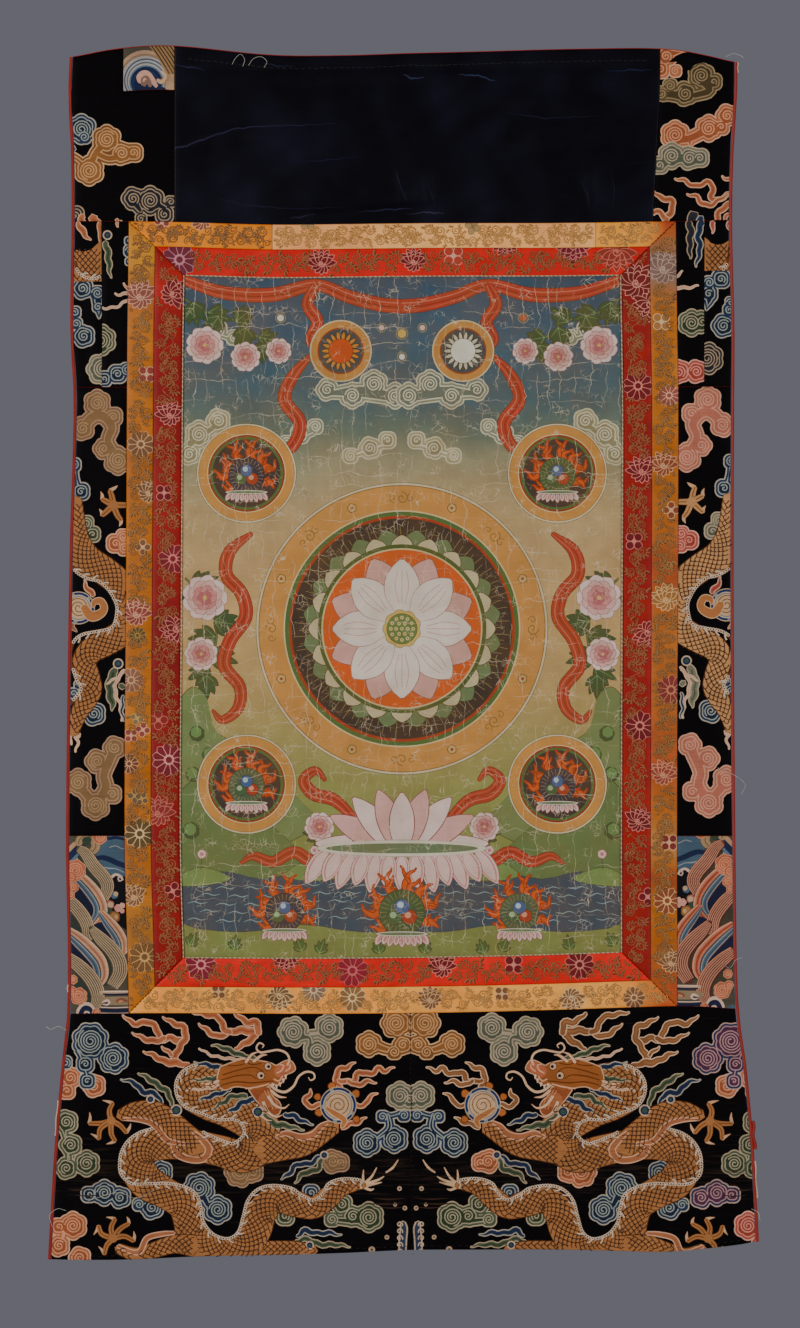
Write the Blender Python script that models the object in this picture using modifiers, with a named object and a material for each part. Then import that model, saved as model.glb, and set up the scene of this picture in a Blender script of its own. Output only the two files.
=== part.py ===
"""A scroll painting hung by its top edge: a painted cloth sewn into a mount of silk brocades.

Metres, +Z up. The front faces -Y, and the origin is the middle of the top edge, where the scroll is held.
Every piece of cloth is one thin sheet that follows the same soft swells of the hanging, and lies between
seam lines that two short tables give: one of upright lines read at several drops, one of level lines
read across the width.
"""

import math
from collections import namedtuple

import bmesh
import bpy
from mathutils import Vector

# Thicknesses and clearances.
CLOTH_THICK = 0.0012
LINING_THICK = 0.0010
SEAM_GAP = 0.0003
LINING_GAP = 0.0006
LINING_SHOWS = 0.0009  # how far the red lining stands above the heading

# Widths of the strips that frame the painting.
RED_TOP_WIDTH = 0.0290
RED_WIDTH = 0.0302
GOLD_TOP_WIDTH = 0.0257
GOLD_WIDTH = 0.0273

# Round trims.
PIPING_RADIUS = 0.0016
PICTURE_CORD_RADIUS = 0.0006

# Places of the inner seams, from the origin: x, or the drop below the top edge.
HEADING_LEFT_X = -0.2412
HEADING_RIGHT_TOP_X = 0.2590
HEADING_RIGHT_FOOT_X = 0.2503
HEADING_RIGHT_BEND_DROP = 0.110
TAN_LEFT_X = -0.1405
TAN_RIGHT_X = 0.1927
COLUMN_SPLIT_LEFT_X = -0.3160
COLUMN_SPLIT_RIGHT_X = 0.3040
CLOUD_PANEL_DROP = 0.3430
WAVE_PANEL_DROP = 0.8052
SKIRT_SEAM_TOP_X = 0.0015
SKIRT_SEAM_FOOT_X = 0.0045

# The scrap let into the heading's left block: where its left edge and its foot lie across and down the
# block, and the block's grid, whose lines run along both.
SCRAP_LEFT = 0.5
SCRAP_FOOT = 0.25
SCRAP_GRID = (4, 8)

CELL = 0.031  # the side of a cell of the grid that every other sheet is laid on

# The upright lines, read at several drops below the origin.
Drop = namedtuple("Drop", "drop left_edge picture_left picture_right right_edge")
DROPS = (
    Drop(0.000, -0.3488, -0.2303, 0.2172, 0.3384),
    Drop(0.049, -0.3502, -0.2303, 0.2172, 0.3376),
    Drop(0.096, -0.3474, -0.2303, 0.2172, 0.3342),
    Drop(0.175, -0.3470, -0.2307, 0.2174, 0.3325),
    Drop(0.286, -0.3488, -0.2325, 0.2190, 0.3352),
    Drop(0.358, -0.3454, -0.2330, 0.2200, 0.3348),
    Drop(0.523, -0.3500, -0.2340, 0.2198, 0.3343),
    Drop(0.808, -0.3530, -0.2352, 0.2188, 0.3362),
    Drop(0.932, -0.3508, -0.2320, 0.2190, 0.3376),
    Drop(0.990, -0.3516, -0.2307, 0.2190, 0.3400),
    Drop(1.038, -0.3568, -0.2307, 0.2190, 0.3468),
    Drop(1.119, -0.3638, -0.2307, 0.2190, 0.3542),
    Drop(1.240, -0.3709, -0.2307, 0.2190, 0.3610),
)

# The level lines, read across the width, as drops below the origin.
Station = namedtuple("Station", "x top_edge heading_foot picture_foot hem")
STATIONS = (
    Station(-0.371, 0.0045, 0.1728, 0.9305, 1.2402),
    Station(-0.348, 0.0042, 0.1728, 0.9305, 1.2408),
    Station(-0.307, -0.0036, 0.1728, 0.9305, 1.2413),
    Station(-0.266, -0.0080, 0.1728, 0.9305, 1.2408),
    Station(-0.231, -0.0074, 0.1734, 0.9307, 1.2396),
    Station(-0.141, 0.0012, 0.1758, 0.9312, 1.2379),
    Station(-0.067, 0.0016, 0.1752, 0.9310, 1.2348),
    Station(0.000, -0.0006, 0.1744, 0.9302, 1.2314),
    Station(0.074, -0.0024, 0.1741, 0.9292, 1.2316),
    Station(0.141, -0.0044, 0.1741, 0.9276, 1.2322),
    Station(0.218, -0.0056, 0.1733, 0.9250, 1.2334),
    Station(0.254, -0.0052, 0.1729, 0.9236, 1.2339),
    Station(0.280, -0.0030, 0.1728, 0.9230, 1.2324),
    Station(0.306, 0.0022, 0.1722, 0.9235, 1.2294),
    Station(0.338, 0.0095, 0.1718, 0.9255, 1.2254),
    Station(0.361, 0.0105, 0.1715, 0.9260, 1.2212),
)

# The soft swells of the hanging: each stands out by `rise` at its middle (towards the viewer if positive),
# and fades over `run` along its own direction and over `breadth` across it. `lean` is its turn from upright,
# in degrees.
Swell = namedtuple("Swell", "x drop run breadth lean rise")
SWELLS = (
    Swell(-0.350, 0.080, 0.15, 0.09, 0, 0.0065),
    Swell(0.340, 0.130, 0.18, 0.09, 0, 0.0075),
    Swell(-0.130, 0.100, 0.26, 0.08, 80, 0.0022),
    Swell(0.060, 0.030, 0.30, 0.07, 90, -0.0018),
    Swell(-0.345, 0.450, 0.20, 0.08, 0, -0.0045),
    Swell(0.335, 0.560, 0.26, 0.09, 0, 0.0050),
    Swell(0.000, 0.400, 0.45, 0.10, 90, 0.0020),
    Swell(0.000, 0.620, 0.45, 0.10, 88, -0.0020),
    Swell(0.000, 0.840, 0.45, 0.10, 92, 0.0022),
    Swell(-0.360, 1.180, 0.26, 0.10, -4, 0.0080),
    Swell(-0.180, 1.200, 0.24, 0.09, 0, -0.0055),
    Swell(-0.010, 1.210, 0.26, 0.09, 0, 0.0042),
    Swell(0.170, 1.200, 0.24, 0.09, 0, -0.0050),
    Swell(0.350, 1.160, 0.26, 0.10, 4, 0.0085),
)

# Sheets that lie between two upright lines and two level lines.
Panel = namedtuple("Panel", "name left right top foot finish")
PANELS = (
    Panel("heading", "heading_left", "heading_right", "heading_top", "heading_foot", "navy_satin"),
    Panel("heading_block", "heading_right", "right_side", "heading_top", "heading_foot", "black_brocade"),
    Panel("column_left_outer", "left_side", "split_left", "heading_foot", "cloud_top", "black_brocade"),
    Panel("column_left_inner", "split_left", "gold_left", "heading_foot", "cloud_top", "black_brocade"),
    Panel("column_left_cloud", "left_side", "gold_left", "cloud_top", "wave_top", "black_brocade"),
    Panel("column_left_wave", "left_side", "gold_left", "wave_top", "skirt_top", "wave_brocade"),
    Panel("column_right_inner", "gold_right", "split_right", "heading_foot", "cloud_top", "black_brocade"),
    Panel("column_right_outer", "split_right", "right_side", "heading_foot", "cloud_top", "black_brocade"),
    Panel("column_right_cloud", "gold_right", "right_side", "cloud_top", "wave_top", "black_brocade"),
    Panel("column_right_wave", "gold_right", "right_side", "wave_top", "skirt_top", "wave_brocade"),
    Panel("skirt_left", "left_side", "skirt_seam", "skirt_top", "hem", "dragon_brocade"),
    Panel("skirt_right", "skirt_seam", "right_side", "skirt_top", "hem", "dragon_brocade"),
    Panel("picture", "picture_left", "picture_right", "picture_top", "picture_foot", "painted_cloth"),
)

# Strips of the two frames. An upright strip lies between two upright lines, a level one between two level
# lines, and each end is mitred unless it names the upright seam that cuts it square.
Strip = namedtuple("Strip", "name outer inner start end finish")
STRIPS = (
    Strip("gold_left", "gold_left", "red_left", None, None, "gold_brocade"),
    Strip("gold_right", "gold_right", "red_right", None, None, "gold_brocade"),
    Strip("gold_foot", "skirt_top", "red_foot", None, None, "gold_brocade"),
    Strip("gold_top_left", "heading_foot", "red_top", None, "tan_left", "gold_brocade"),
    Strip("tan_top", "heading_foot", "red_top", "tan_left", "tan_right", "tan_brocade"),
    Strip("gold_top_right", "heading_foot", "red_top", "tan_right", None, "gold_brocade"),
    Strip("red_left", "red_left", "picture_left", None, None, "red_brocade"),
    Strip("red_right", "red_right", "picture_right", None, None, "red_brocade"),
    Strip("red_top", "red_top", "picture_top", None, None, "red_brocade"),
    Strip("red_foot", "red_foot", "picture_foot", None, None, "red_brocade"),
)

# The two lines of the other kind that each line of the frames ends on.
FRAME_CORNERS = {
    "heading_foot": ("gold_left", "gold_right"),
    "red_top": ("red_left", "red_right"),
    "picture_top": ("picture_left", "picture_right"),
    "picture_foot": ("picture_left", "picture_right"),
    "red_foot": ("red_left", "red_right"),
    "skirt_top": ("gold_left", "gold_right"),
}
FRAME_LEVELS = {
    "gold_left": ("heading_foot", "skirt_top"),
    "red_left": ("red_top", "red_foot"),
    "picture_left": ("picture_top", "picture_foot"),
    "gold_right": ("heading_foot", "skirt_top"),
    "red_right": ("red_top", "red_foot"),
    "picture_right": ("picture_top", "picture_foot"),
}

Finish = namedtuple("Finish", "color roughness metallic")
FINISHES = {
    "navy_satin": Finish((0.006, 0.008, 0.020), 0.45, 0.0),
    "black_brocade": Finish((0.012, 0.009, 0.010), 0.60, 0.0),
    "wave_brocade": Finish((0.150, 0.160, 0.140), 0.65, 0.0),
    "dragon_brocade": Finish((0.180, 0.105, 0.050), 0.62, 0.0),
    "gold_brocade": Finish((0.580, 0.260, 0.045), 0.50, 0.0),
    "tan_brocade": Finish((0.520, 0.330, 0.170), 0.55, 0.0),
    "red_brocade": Finish((0.420, 0.020, 0.012), 0.52, 0.0),
    "painted_cloth": Finish((0.300, 0.290, 0.180), 0.75, 0.0),
    "red_silk": Finish((0.300, 0.012, 0.010), 0.60, 0.0),
    "cream_cord": Finish((0.560, 0.420, 0.270), 0.70, 0.0),
}


def reading(rows, along, column, place):
    """One column of a table at any place, on a smooth curve through its rows."""
    last = len(rows) - 1
    places = [getattr(row, along) for row in rows]
    values = [getattr(row, column) for row in rows]
    place = min(max(place, places[0]), places[last])
    after = next(i for i in range(1, last + 1) if place <= places[i])
    before = after - 1

    def slope(i):
        low, high = max(i - 1, 0), min(i + 1, last)
        return (values[high] - values[low]) / (places[high] - places[low])

    span = places[after] - places[before]
    t = (place - places[before]) / span
    return (
        values[before] * (1 + 2 * t) * (1 - t) ** 2
        + slope(before) * span * t * (1 - t) ** 2
        + values[after] * t * t * (3 - 2 * t)
        + slope(after) * span * t * t * (t - 1)
    )


def heading_right(drop):
    """The heading's right seam leans in over its middle."""
    share = min(max(drop / (2 * HEADING_RIGHT_BEND_DROP), 0.0), 1.0)
    lean = HEADING_RIGHT_FOOT_X - HEADING_RIGHT_TOP_X
    return HEADING_RIGHT_TOP_X + lean * share * share * (3 - 2 * share)


def skirt_seam(drop):
    share = (drop - 0.99) / 0.25
    return SKIRT_SEAM_TOP_X + (SKIRT_SEAM_FOOT_X - SKIRT_SEAM_TOP_X) * share


def upright_lines():
    """Each upright line as x at a drop."""
    side = 2 * PIPING_RADIUS + SEAM_GAP / 2

    def read(column, offset=0.0):
        return lambda drop: reading(DROPS, "drop", column, drop) + offset

    return {
        "left_side": read("left_edge", side),
        "right_side": read("right_edge", -side),
        "picture_left": read("picture_left"),
        "picture_right": read("picture_right"),
        "red_left": read("picture_left", -RED_WIDTH),
        "red_right": read("picture_right", RED_WIDTH),
        "gold_left": read("picture_left", -RED_WIDTH - GOLD_WIDTH),
        "gold_right": read("picture_right", RED_WIDTH + GOLD_WIDTH),
        "heading_left": lambda drop: HEADING_LEFT_X,
        "heading_right": heading_right,
        "split_left": lambda drop: COLUMN_SPLIT_LEFT_X,
        "split_right": lambda drop: COLUMN_SPLIT_RIGHT_X,
        "tan_left": lambda drop: TAN_LEFT_X,
        "tan_right": lambda drop: TAN_RIGHT_X,
        "skirt_seam": skirt_seam,
    }


def level_lines():
    """Each level line as a drop at an x."""

    def read(column, offset=0.0):
        return lambda x: reading(STATIONS, "x", column, x) + offset

    return {
        "heading_top": read("top_edge"),
        "lining_top": read("top_edge", -LINING_SHOWS),
        "heading_foot": read("heading_foot"),
        "red_top": read("heading_foot", GOLD_TOP_WIDTH),
        "picture_top": read("heading_foot", GOLD_TOP_WIDTH + RED_TOP_WIDTH),
        "picture_foot": read("picture_foot"),
        "red_foot": read("picture_foot", RED_WIDTH),
        "skirt_top": read("picture_foot", RED_WIDTH + GOLD_WIDTH),
        "cloud_top": lambda x: CLOUD_PANEL_DROP,
        "wave_top": lambda x: WAVE_PANEL_DROP,
        "hem": read("hem"),
    }


UPRIGHT = upright_lines()
LEVEL = level_lines()


def standing_out(x, drop):
    """How far the middle of the cloth stands towards the viewer."""
    total = 0.0
    for swell in SWELLS:
        lean = math.radians(swell.lean)
        across = (x - swell.x) * math.cos(lean) + (drop - swell.drop) * math.sin(lean)
        along = (drop - swell.drop) * math.cos(lean) - (x - swell.x) * math.sin(lean)
        total += swell.rise * math.exp(-((across / swell.breadth) ** 2) - (along / swell.run) ** 2)
    return total


def in_space(x, drop, behind=0.0):
    """A point of the flat layout, hung in space. `behind` moves it away from the viewer."""
    return Vector((x, behind - standing_out(x, drop), -drop))


def crossing(upright, level):
    """(x, drop) where an upright and a level line meet."""
    x = UPRIGHT[upright](0.5)
    for _ in range(8):
        drop = LEVEL[level](x)
        x = UPRIGHT[upright](drop)
    return x, drop


def along_line(line, is_upright, start, end):
    """A function from 0..1 to (x, drop) on a seam line between two of its points."""

    def point(t):
        if is_upright:
            drop = start[1] + (end[1] - start[1]) * t
            return UPRIGHT[line](drop), drop
        x = start[0] + (end[0] - start[0]) * t
        return x, LEVEL[line](x)

    return point


def straight(start, end):
    return lambda t: (start[0] + (end[0] - start[0]) * t, start[1] + (end[1] - start[1]) * t)


def patch(top, foot, left, right):
    """A surface function (u, v) that fills four edges: u runs left to right, v from the top down."""

    def point(u, v):
        corners = (top(0), top(1), foot(0), foot(1))
        weights = ((1 - u) * (1 - v), u * (1 - v), (1 - u) * v, u * v)
        return tuple(
            (1 - v) * top(u)[k]
            + v * foot(u)[k]
            + (1 - u) * left(v)[k]
            + u * right(v)[k]
            - sum(w * c[k] for w, c in zip(weights, corners))
            for k in (0, 1)
        )

    return point


def drawn_in(point, gap):
    """The same surface with every edge moved in by half a seam's gap."""
    top, foot = point(0.5, 0), point(0.5, 1)
    left, right = point(0, 0.5), point(1, 0.5)
    width = math.dist(left, right)
    height = math.dist(top, foot)
    inset_u, inset_v = gap / 2 / width, gap / 2 / height

    def moved(u, v):
        return point(inset_u + u * (1 - 2 * inset_u), inset_v + v * (1 - 2 * inset_v))

    return moved


def material(name):
    finish = FINISHES[name]
    made = bpy.data.materials.get(name) or bpy.data.materials.new(name)
    made.use_nodes = True
    shader = made.node_tree.nodes["Principled BSDF"]
    shader.inputs["Base Color"].default_value = (*finish.color, 1.0)
    shader.inputs["Roughness"].default_value = finish.roughness
    shader.inputs["Metallic"].default_value = finish.metallic
    made.diffuse_color = (*finish.color, 1.0)
    return made


def sheet(name, point, thick, finish, behind=0.0, notch=False):
    """One piece of cloth: a grid laid over a patch of the layout, hung in space and given its thickness.
    A notch leaves out the cells of its top right corner, where another piece is set in."""
    columns = max(1, round(math.dist(point(0, 0.5), point(1, 0.5)) / CELL))
    rows = max(1, round(math.dist(point(0.5, 0), point(0.5, 1)) / CELL))
    if notch:
        columns, rows = SCRAP_GRID
    bm = bmesh.new()
    bmesh.ops.create_grid(bm, x_segments=columns, y_segments=rows, size=0.5)
    if notch:
        left, foot = SCRAP_LEFT - 0.5, 0.5 - SCRAP_FOOT
        cut = [f for f in bm.faces if f.calc_center_median().x > left and f.calc_center_median().y > foot]
        bmesh.ops.delete(bm, geom=cut, context="FACES")
    for vert in bm.verts:
        x, drop = point(vert.co.x + 0.5, 0.5 - vert.co.y)
        vert.co = in_space(x, drop, behind)
    mesh = bpy.data.meshes.new(name)
    bm.to_mesh(mesh)
    bm.free()
    mesh.shade_smooth()
    mesh.materials.append(material(finish))
    piece = bpy.data.objects.new(name, mesh)
    thickness = piece.modifiers.new("thickness", "SOLIDIFY")
    thickness.thickness = thick
    thickness.offset = 0.0
    return piece


def between(left, right, top, foot):
    """The patch between two upright and two level lines, drawn in for its seams."""
    top_left, top_right = (crossing(side, top) for side in (left, right))
    foot_left, foot_right = (crossing(side, foot) for side in (left, right))
    point = patch(
        along_line(top, False, top_left, top_right),
        along_line(foot, False, foot_left, foot_right),
        along_line(left, True, top_left, foot_left),
        along_line(right, True, top_right, foot_right),
    )
    return drawn_in(point, SEAM_GAP)


def panel_sheet(panel):
    point = between(panel.left, panel.right, panel.top, panel.foot)
    return sheet(panel.name, point, CLOTH_THICK, panel.finish)


def scrap_block():
    """The heading's left block, and the scrap of wave brocade that is let into its top right corner."""
    block = between("left_side", "heading_left", "heading_top", "heading_foot")

    def scrap(u, v):
        return block(SCRAP_LEFT + u * (1 - SCRAP_LEFT), v * SCRAP_FOOT)

    return [
        sheet("heading_block_notched", block, CLOTH_THICK, "black_brocade", notch=True),
        sheet("wave_scrap", drawn_in(scrap, 2 * SEAM_GAP), CLOTH_THICK, "wave_brocade"),
    ]


def upright_strip(strip):
    """A side strip, cut square to the mitres at its top and foot."""
    outer_top, outer_foot = (crossing(strip.outer, level) for level in FRAME_LEVELS[strip.outer])
    inner_top, inner_foot = (crossing(strip.inner, level) for level in FRAME_LEVELS[strip.inner])
    outer = along_line(strip.outer, True, outer_top, outer_foot)
    inner = along_line(strip.inner, True, inner_top, inner_foot)
    if outer_top[0] < inner_top[0]:
        point = patch(straight(outer_top, inner_top), straight(outer_foot, inner_foot), outer, inner)
    else:
        point = patch(straight(inner_top, outer_top), straight(inner_foot, outer_foot), inner, outer)
    return sheet(strip.name, drawn_in(point, SEAM_GAP), CLOTH_THICK, strip.finish)


def level_strip(strip):
    """A strip above or below the painting, with each end mitred or cut on an upright seam."""
    ends = []
    for side, square in enumerate((strip.start, strip.end)):
        outer_side = square or FRAME_CORNERS[strip.outer][side]
        inner_side = square or FRAME_CORNERS[strip.inner][side]
        ends.append((crossing(outer_side, strip.outer), crossing(inner_side, strip.inner)))
    (outer_left, inner_left), (outer_right, inner_right) = ends
    outer = along_line(strip.outer, False, outer_left, outer_right)
    inner = along_line(strip.inner, False, inner_left, inner_right)
    if outer_left[1] < inner_left[1]:
        point = patch(outer, inner, straight(outer_left, inner_left), straight(outer_right, inner_right))
    else:
        point = patch(inner, outer, straight(inner_left, outer_left), straight(inner_right, outer_right))
    return sheet(strip.name, drawn_in(point, SEAM_GAP), CLOTH_THICK, strip.finish)


def lining():
    """The red cloth behind everything, held between the two side pipings."""
    point = between("left_side", "right_side", "lining_top", "hem")
    behind = CLOTH_THICK / 2 + LINING_GAP + LINING_THICK / 2
    return sheet("lining", point, LINING_THICK, "red_silk", behind)


def round_trim(name, points, radius, resolution, finish):
    """A round trim that follows a line of points."""
    curve = bpy.data.curves.new(name, "CURVE")
    curve.dimensions = "3D"
    curve.bevel_depth = radius
    curve.bevel_resolution = resolution
    curve.use_fill_caps = True
    spline = curve.splines.new("POLY")
    spline.points.add(len(points) - 1)
    for spot, point in zip(spline.points, points):
        spot.co = (*point, 1.0)
    curve.materials.append(material(finish))
    return bpy.data.objects.new(name, curve)


def side_piping(name, side, outward):
    """The red piping down one side, from the top edge to the hem."""
    reach = PIPING_RADIUS + SEAM_GAP / 2
    behind = (LINING_GAP + LINING_THICK) / 2
    top, foot = crossing(side, "heading_top"), crossing(side, "hem")
    count = round((foot[1] - top[1]) / CELL)
    points = []
    for i in range(count + 1):
        drop = top[1] + (foot[1] - top[1]) * i / count
        points.append(in_space(UPRIGHT[side](drop) + outward * reach, drop, behind))
    return round_trim(name, points, PIPING_RADIUS, 1, "red_silk")


def picture_cord(name, line, is_upright, start, end):
    """A fine cord laid over the seam between the painting and the red frame. The level ones end short of
    the upright ones, which run from corner to corner."""
    point = along_line(line, is_upright, start, end)
    in_front = CLOTH_THICK / 2 + SEAM_GAP + PICTURE_CORD_RADIUS
    length = math.dist(start, end)
    short = 0 if is_upright else 2 * (PICTURE_CORD_RADIUS + SEAM_GAP) / length
    count = round(length / CELL)
    points = []
    for i in range(count + 1):
        x, drop = point(short + i / count * (1 - 2 * short))
        points.append(in_space(x, drop, -in_front))
    return round_trim(name, points, PICTURE_CORD_RADIUS, 0, "cream_cord")


def picture_cords():
    top_left, top_right = (crossing(side, "picture_top") for side in ("picture_left", "picture_right"))
    foot_left, foot_right = (crossing(side, "picture_foot") for side in ("picture_left", "picture_right"))
    return [
        picture_cord("picture_cord_left", "picture_left", True, top_left, foot_left),
        picture_cord("picture_cord_right", "picture_right", True, top_right, foot_right),
        picture_cord("picture_cord_top", "picture_top", False, top_left, top_right),
        picture_cord("picture_cord_foot", "picture_foot", False, foot_left, foot_right),
    ]


def main():
    for old in list(bpy.data.objects):
        bpy.data.objects.remove(old, do_unlink=True)
    scroll = bpy.data.collections.new("scroll_painting")
    bpy.context.scene.collection.children.link(scroll)
    pieces = [lining()]
    pieces += scrap_block()
    pieces += [panel_sheet(panel) for panel in PANELS]
    for strip in STRIPS:
        pieces.append(upright_strip(strip) if strip.outer in FRAME_LEVELS else level_strip(strip))
    pieces.append(side_piping("piping_left", "left_side", -1))
    pieces.append(side_piping("piping_right", "right_side", 1))
    pieces += picture_cords()
    for piece in pieces:
        scroll.objects.link(piece)


main()
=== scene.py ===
"""A hanging scroll: a painted cloth sewn into a mount of silk brocades, lined with red silk.

Metres. The cloth is drawn flat, at (x, drop) with the drop measured down from the top edge, and then hung:
the front faces -Y and +Z is up. Tables of motifs are in millimetres of the flat cloth.
"""
import math
import bpy
import numpy as np
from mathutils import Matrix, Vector
from mathutils.geometry import delaunay_2d_cdt


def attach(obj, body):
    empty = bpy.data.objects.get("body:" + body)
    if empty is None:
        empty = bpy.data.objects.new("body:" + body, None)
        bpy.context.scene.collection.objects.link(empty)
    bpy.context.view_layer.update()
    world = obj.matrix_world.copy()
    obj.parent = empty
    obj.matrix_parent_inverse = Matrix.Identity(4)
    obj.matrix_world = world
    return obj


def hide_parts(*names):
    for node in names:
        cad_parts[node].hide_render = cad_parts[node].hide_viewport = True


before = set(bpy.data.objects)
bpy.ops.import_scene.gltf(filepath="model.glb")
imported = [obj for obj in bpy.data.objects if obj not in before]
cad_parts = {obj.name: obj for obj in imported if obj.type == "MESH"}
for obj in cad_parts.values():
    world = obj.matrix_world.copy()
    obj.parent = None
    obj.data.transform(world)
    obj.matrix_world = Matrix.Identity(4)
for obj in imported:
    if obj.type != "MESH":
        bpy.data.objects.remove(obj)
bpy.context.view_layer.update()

# ---- The lining ----------------------------------------------------------------------------------------
# Plain red silk over the whole back, whipped to the pipings; it stands a hair above the top edge. It is laid
# first, so the hanging surface and the uneven seam lines that every cloth shares are set out with it.

MM = 0.001
SEAM_GAP = 0.0003
PIPING_RADIUS = 0.0016

# The upright lines by drop: left edge, painting's left and right edges, right edge.
DROPS = np.array((
    (0.000, -0.3488, -0.2303, 0.2172, 0.3384),
    (0.049, -0.3502, -0.2303, 0.2172, 0.3376),
    (0.096, -0.3474, -0.2303, 0.2172, 0.3342),
    (0.175, -0.3470, -0.2307, 0.2174, 0.3325),
    (0.286, -0.3488, -0.2325, 0.2190, 0.3352),
    (0.358, -0.3454, -0.2330, 0.2200, 0.3348),
    (0.523, -0.3500, -0.2340, 0.2198, 0.3343),
    (0.808, -0.3530, -0.2352, 0.2188, 0.3362),
    (0.932, -0.3508, -0.2320, 0.2190, 0.3376),
    (0.990, -0.3516, -0.2307, 0.2190, 0.3400),
    (1.038, -0.3568, -0.2307, 0.2190, 0.3468),
    (1.119, -0.3638, -0.2307, 0.2190, 0.3542),
    (1.240, -0.3709, -0.2307, 0.2190, 0.3610),
))

# The level lines by x: drops of the top edge, heading's foot, painting's foot, hem.
STATIONS = np.array((
    (-0.371, 0.0045, 0.1728, 0.9305, 1.2402),
    (-0.348, 0.0042, 0.1728, 0.9305, 1.2408),
    (-0.307, -0.0036, 0.1728, 0.9305, 1.2413),
    (-0.266, -0.0080, 0.1728, 0.9305, 1.2408),
    (-0.231, -0.0074, 0.1734, 0.9307, 1.2396),
    (-0.141, 0.0012, 0.1758, 0.9312, 1.2379),
    (-0.067, 0.0016, 0.1752, 0.9310, 1.2348),
    (0.000, -0.0006, 0.1744, 0.9302, 1.2314),
    (0.074, -0.0024, 0.1741, 0.9292, 1.2316),
    (0.141, -0.0044, 0.1741, 0.9276, 1.2322),
    (0.218, -0.0056, 0.1733, 0.9250, 1.2334),
    (0.254, -0.0052, 0.1729, 0.9236, 1.2339),
    (0.280, -0.0030, 0.1728, 0.9230, 1.2324),
    (0.306, 0.0022, 0.1722, 0.9235, 1.2294),
    (0.338, 0.0095, 0.1718, 0.9255, 1.2254),
    (0.361, 0.0105, 0.1715, 0.9260, 1.2212),
))

# Swells: x, drop, run along, breadth across, lean in degrees, rise towards the viewer.
SWELLS = (
    (-0.350, 0.080, 0.15, 0.09, 0, 0.0065),
    (0.340, 0.130, 0.18, 0.09, 0, 0.0075),
    (-0.130, 0.100, 0.26, 0.08, 80, 0.0022),
    (0.060, 0.030, 0.30, 0.07, 90, -0.0018),
    (-0.345, 0.450, 0.20, 0.08, 0, -0.0045),
    (0.335, 0.560, 0.26, 0.09, 0, 0.0050),
    (0.000, 0.400, 0.45, 0.10, 90, 0.0020),
    (0.000, 0.620, 0.45, 0.10, 88, -0.0020),
    (0.000, 0.840, 0.45, 0.10, 92, 0.0022),
    (-0.360, 1.180, 0.26, 0.10, -4, 0.0080),
    (-0.180, 1.200, 0.24, 0.09, 0, -0.0055),
    (-0.010, 1.210, 0.26, 0.09, 0, 0.0042),
    (0.170, 1.200, 0.24, 0.09, 0, -0.0050),
    (0.350, 1.160, 0.26, 0.10, 4, 0.0085),
)

# Creases, in mm: from x, drop to x, drop, breadth, rise (a trough where negative).
CREASES = (
    (-238, 16, 252, 13, 3.0, -1.0),
    (-216, 89, -163, 75, 4.0, 1.2),
    (-214, 96, -160, 83, 5.0, -0.8),
    (-114, 168, 36, 157, 5.0, 1.1),
    (-112, 160, 30, 149, 5.0, -0.7),
    (-10, 118, -6, 155, 4.0, 0.7),
    (8, 124, 14, 158, 4.5, -0.7),
    (28, 116, 31, 152, 4.0, 0.6),
    (186, 118, 190, 160, 5.0, 0.8),
    (60, 40, 214, 58, 9.0, 0.9),
    (-150, 36, 20, 30, 8.0, -0.8),
    (90, 104, 236, 92, 8.0, -0.8),
    (-226, 262, 90, 258, 2.4, 0.45),
    (-60, 300, 214, 303, 2.2, -0.4),
    (-230, 341, 214, 338, 2.6, 0.45),
    (-228, 402, 40, 405, 2.2, -0.4),
    (-120, 447, 214, 444, 2.4, 0.4),
    (-230, 508, 210, 512, 2.6, -0.45),
    (-230, 571, 60, 568, 2.2, 0.4),
    (-30, 618, 214, 621, 2.4, -0.4),
    (-230, 668, 214, 664, 2.6, 0.45),
    (-230, 733, 20, 737, 2.2, -0.4),
    (-100, 788, 212, 784, 2.4, 0.4),
    (-228, 846, 212, 849, 2.6, -0.45),
    (-226, 902, 90, 899, 2.2, 0.4),
    (-364, 1166, -322, 1170, 4.0, -0.9),
    (-330, 1004, -338, 1230, 10.0, 1.2),
    (-262, 1010, -256, 1236, 12.0, -1.2),
    (-96, 1016, -90, 1234, 12.0, 1.0),
    (92, 1010, 98, 1230, 12.0, 1.0),
    (262, 1010, 258, 1230, 12.0, -1.2),
    (330, 1060, 338, 1222, 9.0, 1.3),
    (-60, 1166, 0, 1172, 5.0, -0.8),
    (-344, 210, -330, 330, 6.0, -0.8),
    (322, 230, 316, 400, 6.0, 0.9),
    (-340, 700, -330, 800, 6.0, 0.8),
    (325, 640, 332, 790, 6.0, -0.9),
    (286, 20, 330, 26, 5.0, 1.0),
)


def reading(rows, column, place):
    """One column of a table at any place, on a smooth curve through its rows."""
    places, values = rows[:, 0], rows[:, column]
    rises = np.empty_like(values)
    rises[1:-1] = (values[2:] - values[:-2]) / (places[2:] - places[:-2])
    rises[0] = (values[1] - values[0]) / (places[1] - places[0])
    rises[-1] = (values[-1] - values[-2]) / (places[-1] - places[-2])
    place = np.clip(place, places[0], places[-1])
    after = np.clip(np.searchsorted(places, place), 1, len(places) - 1)
    before = after - 1
    span = places[after] - places[before]
    t = (place - places[before]) / span
    ends = values[before] * (1 + 2 * t) * (1 - t) ** 2 + values[after] * t * t * (3 - 2 * t)
    return ends + span * t * (1 - t) * (rises[before] * (1 - t) - rises[after] * t)


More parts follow.
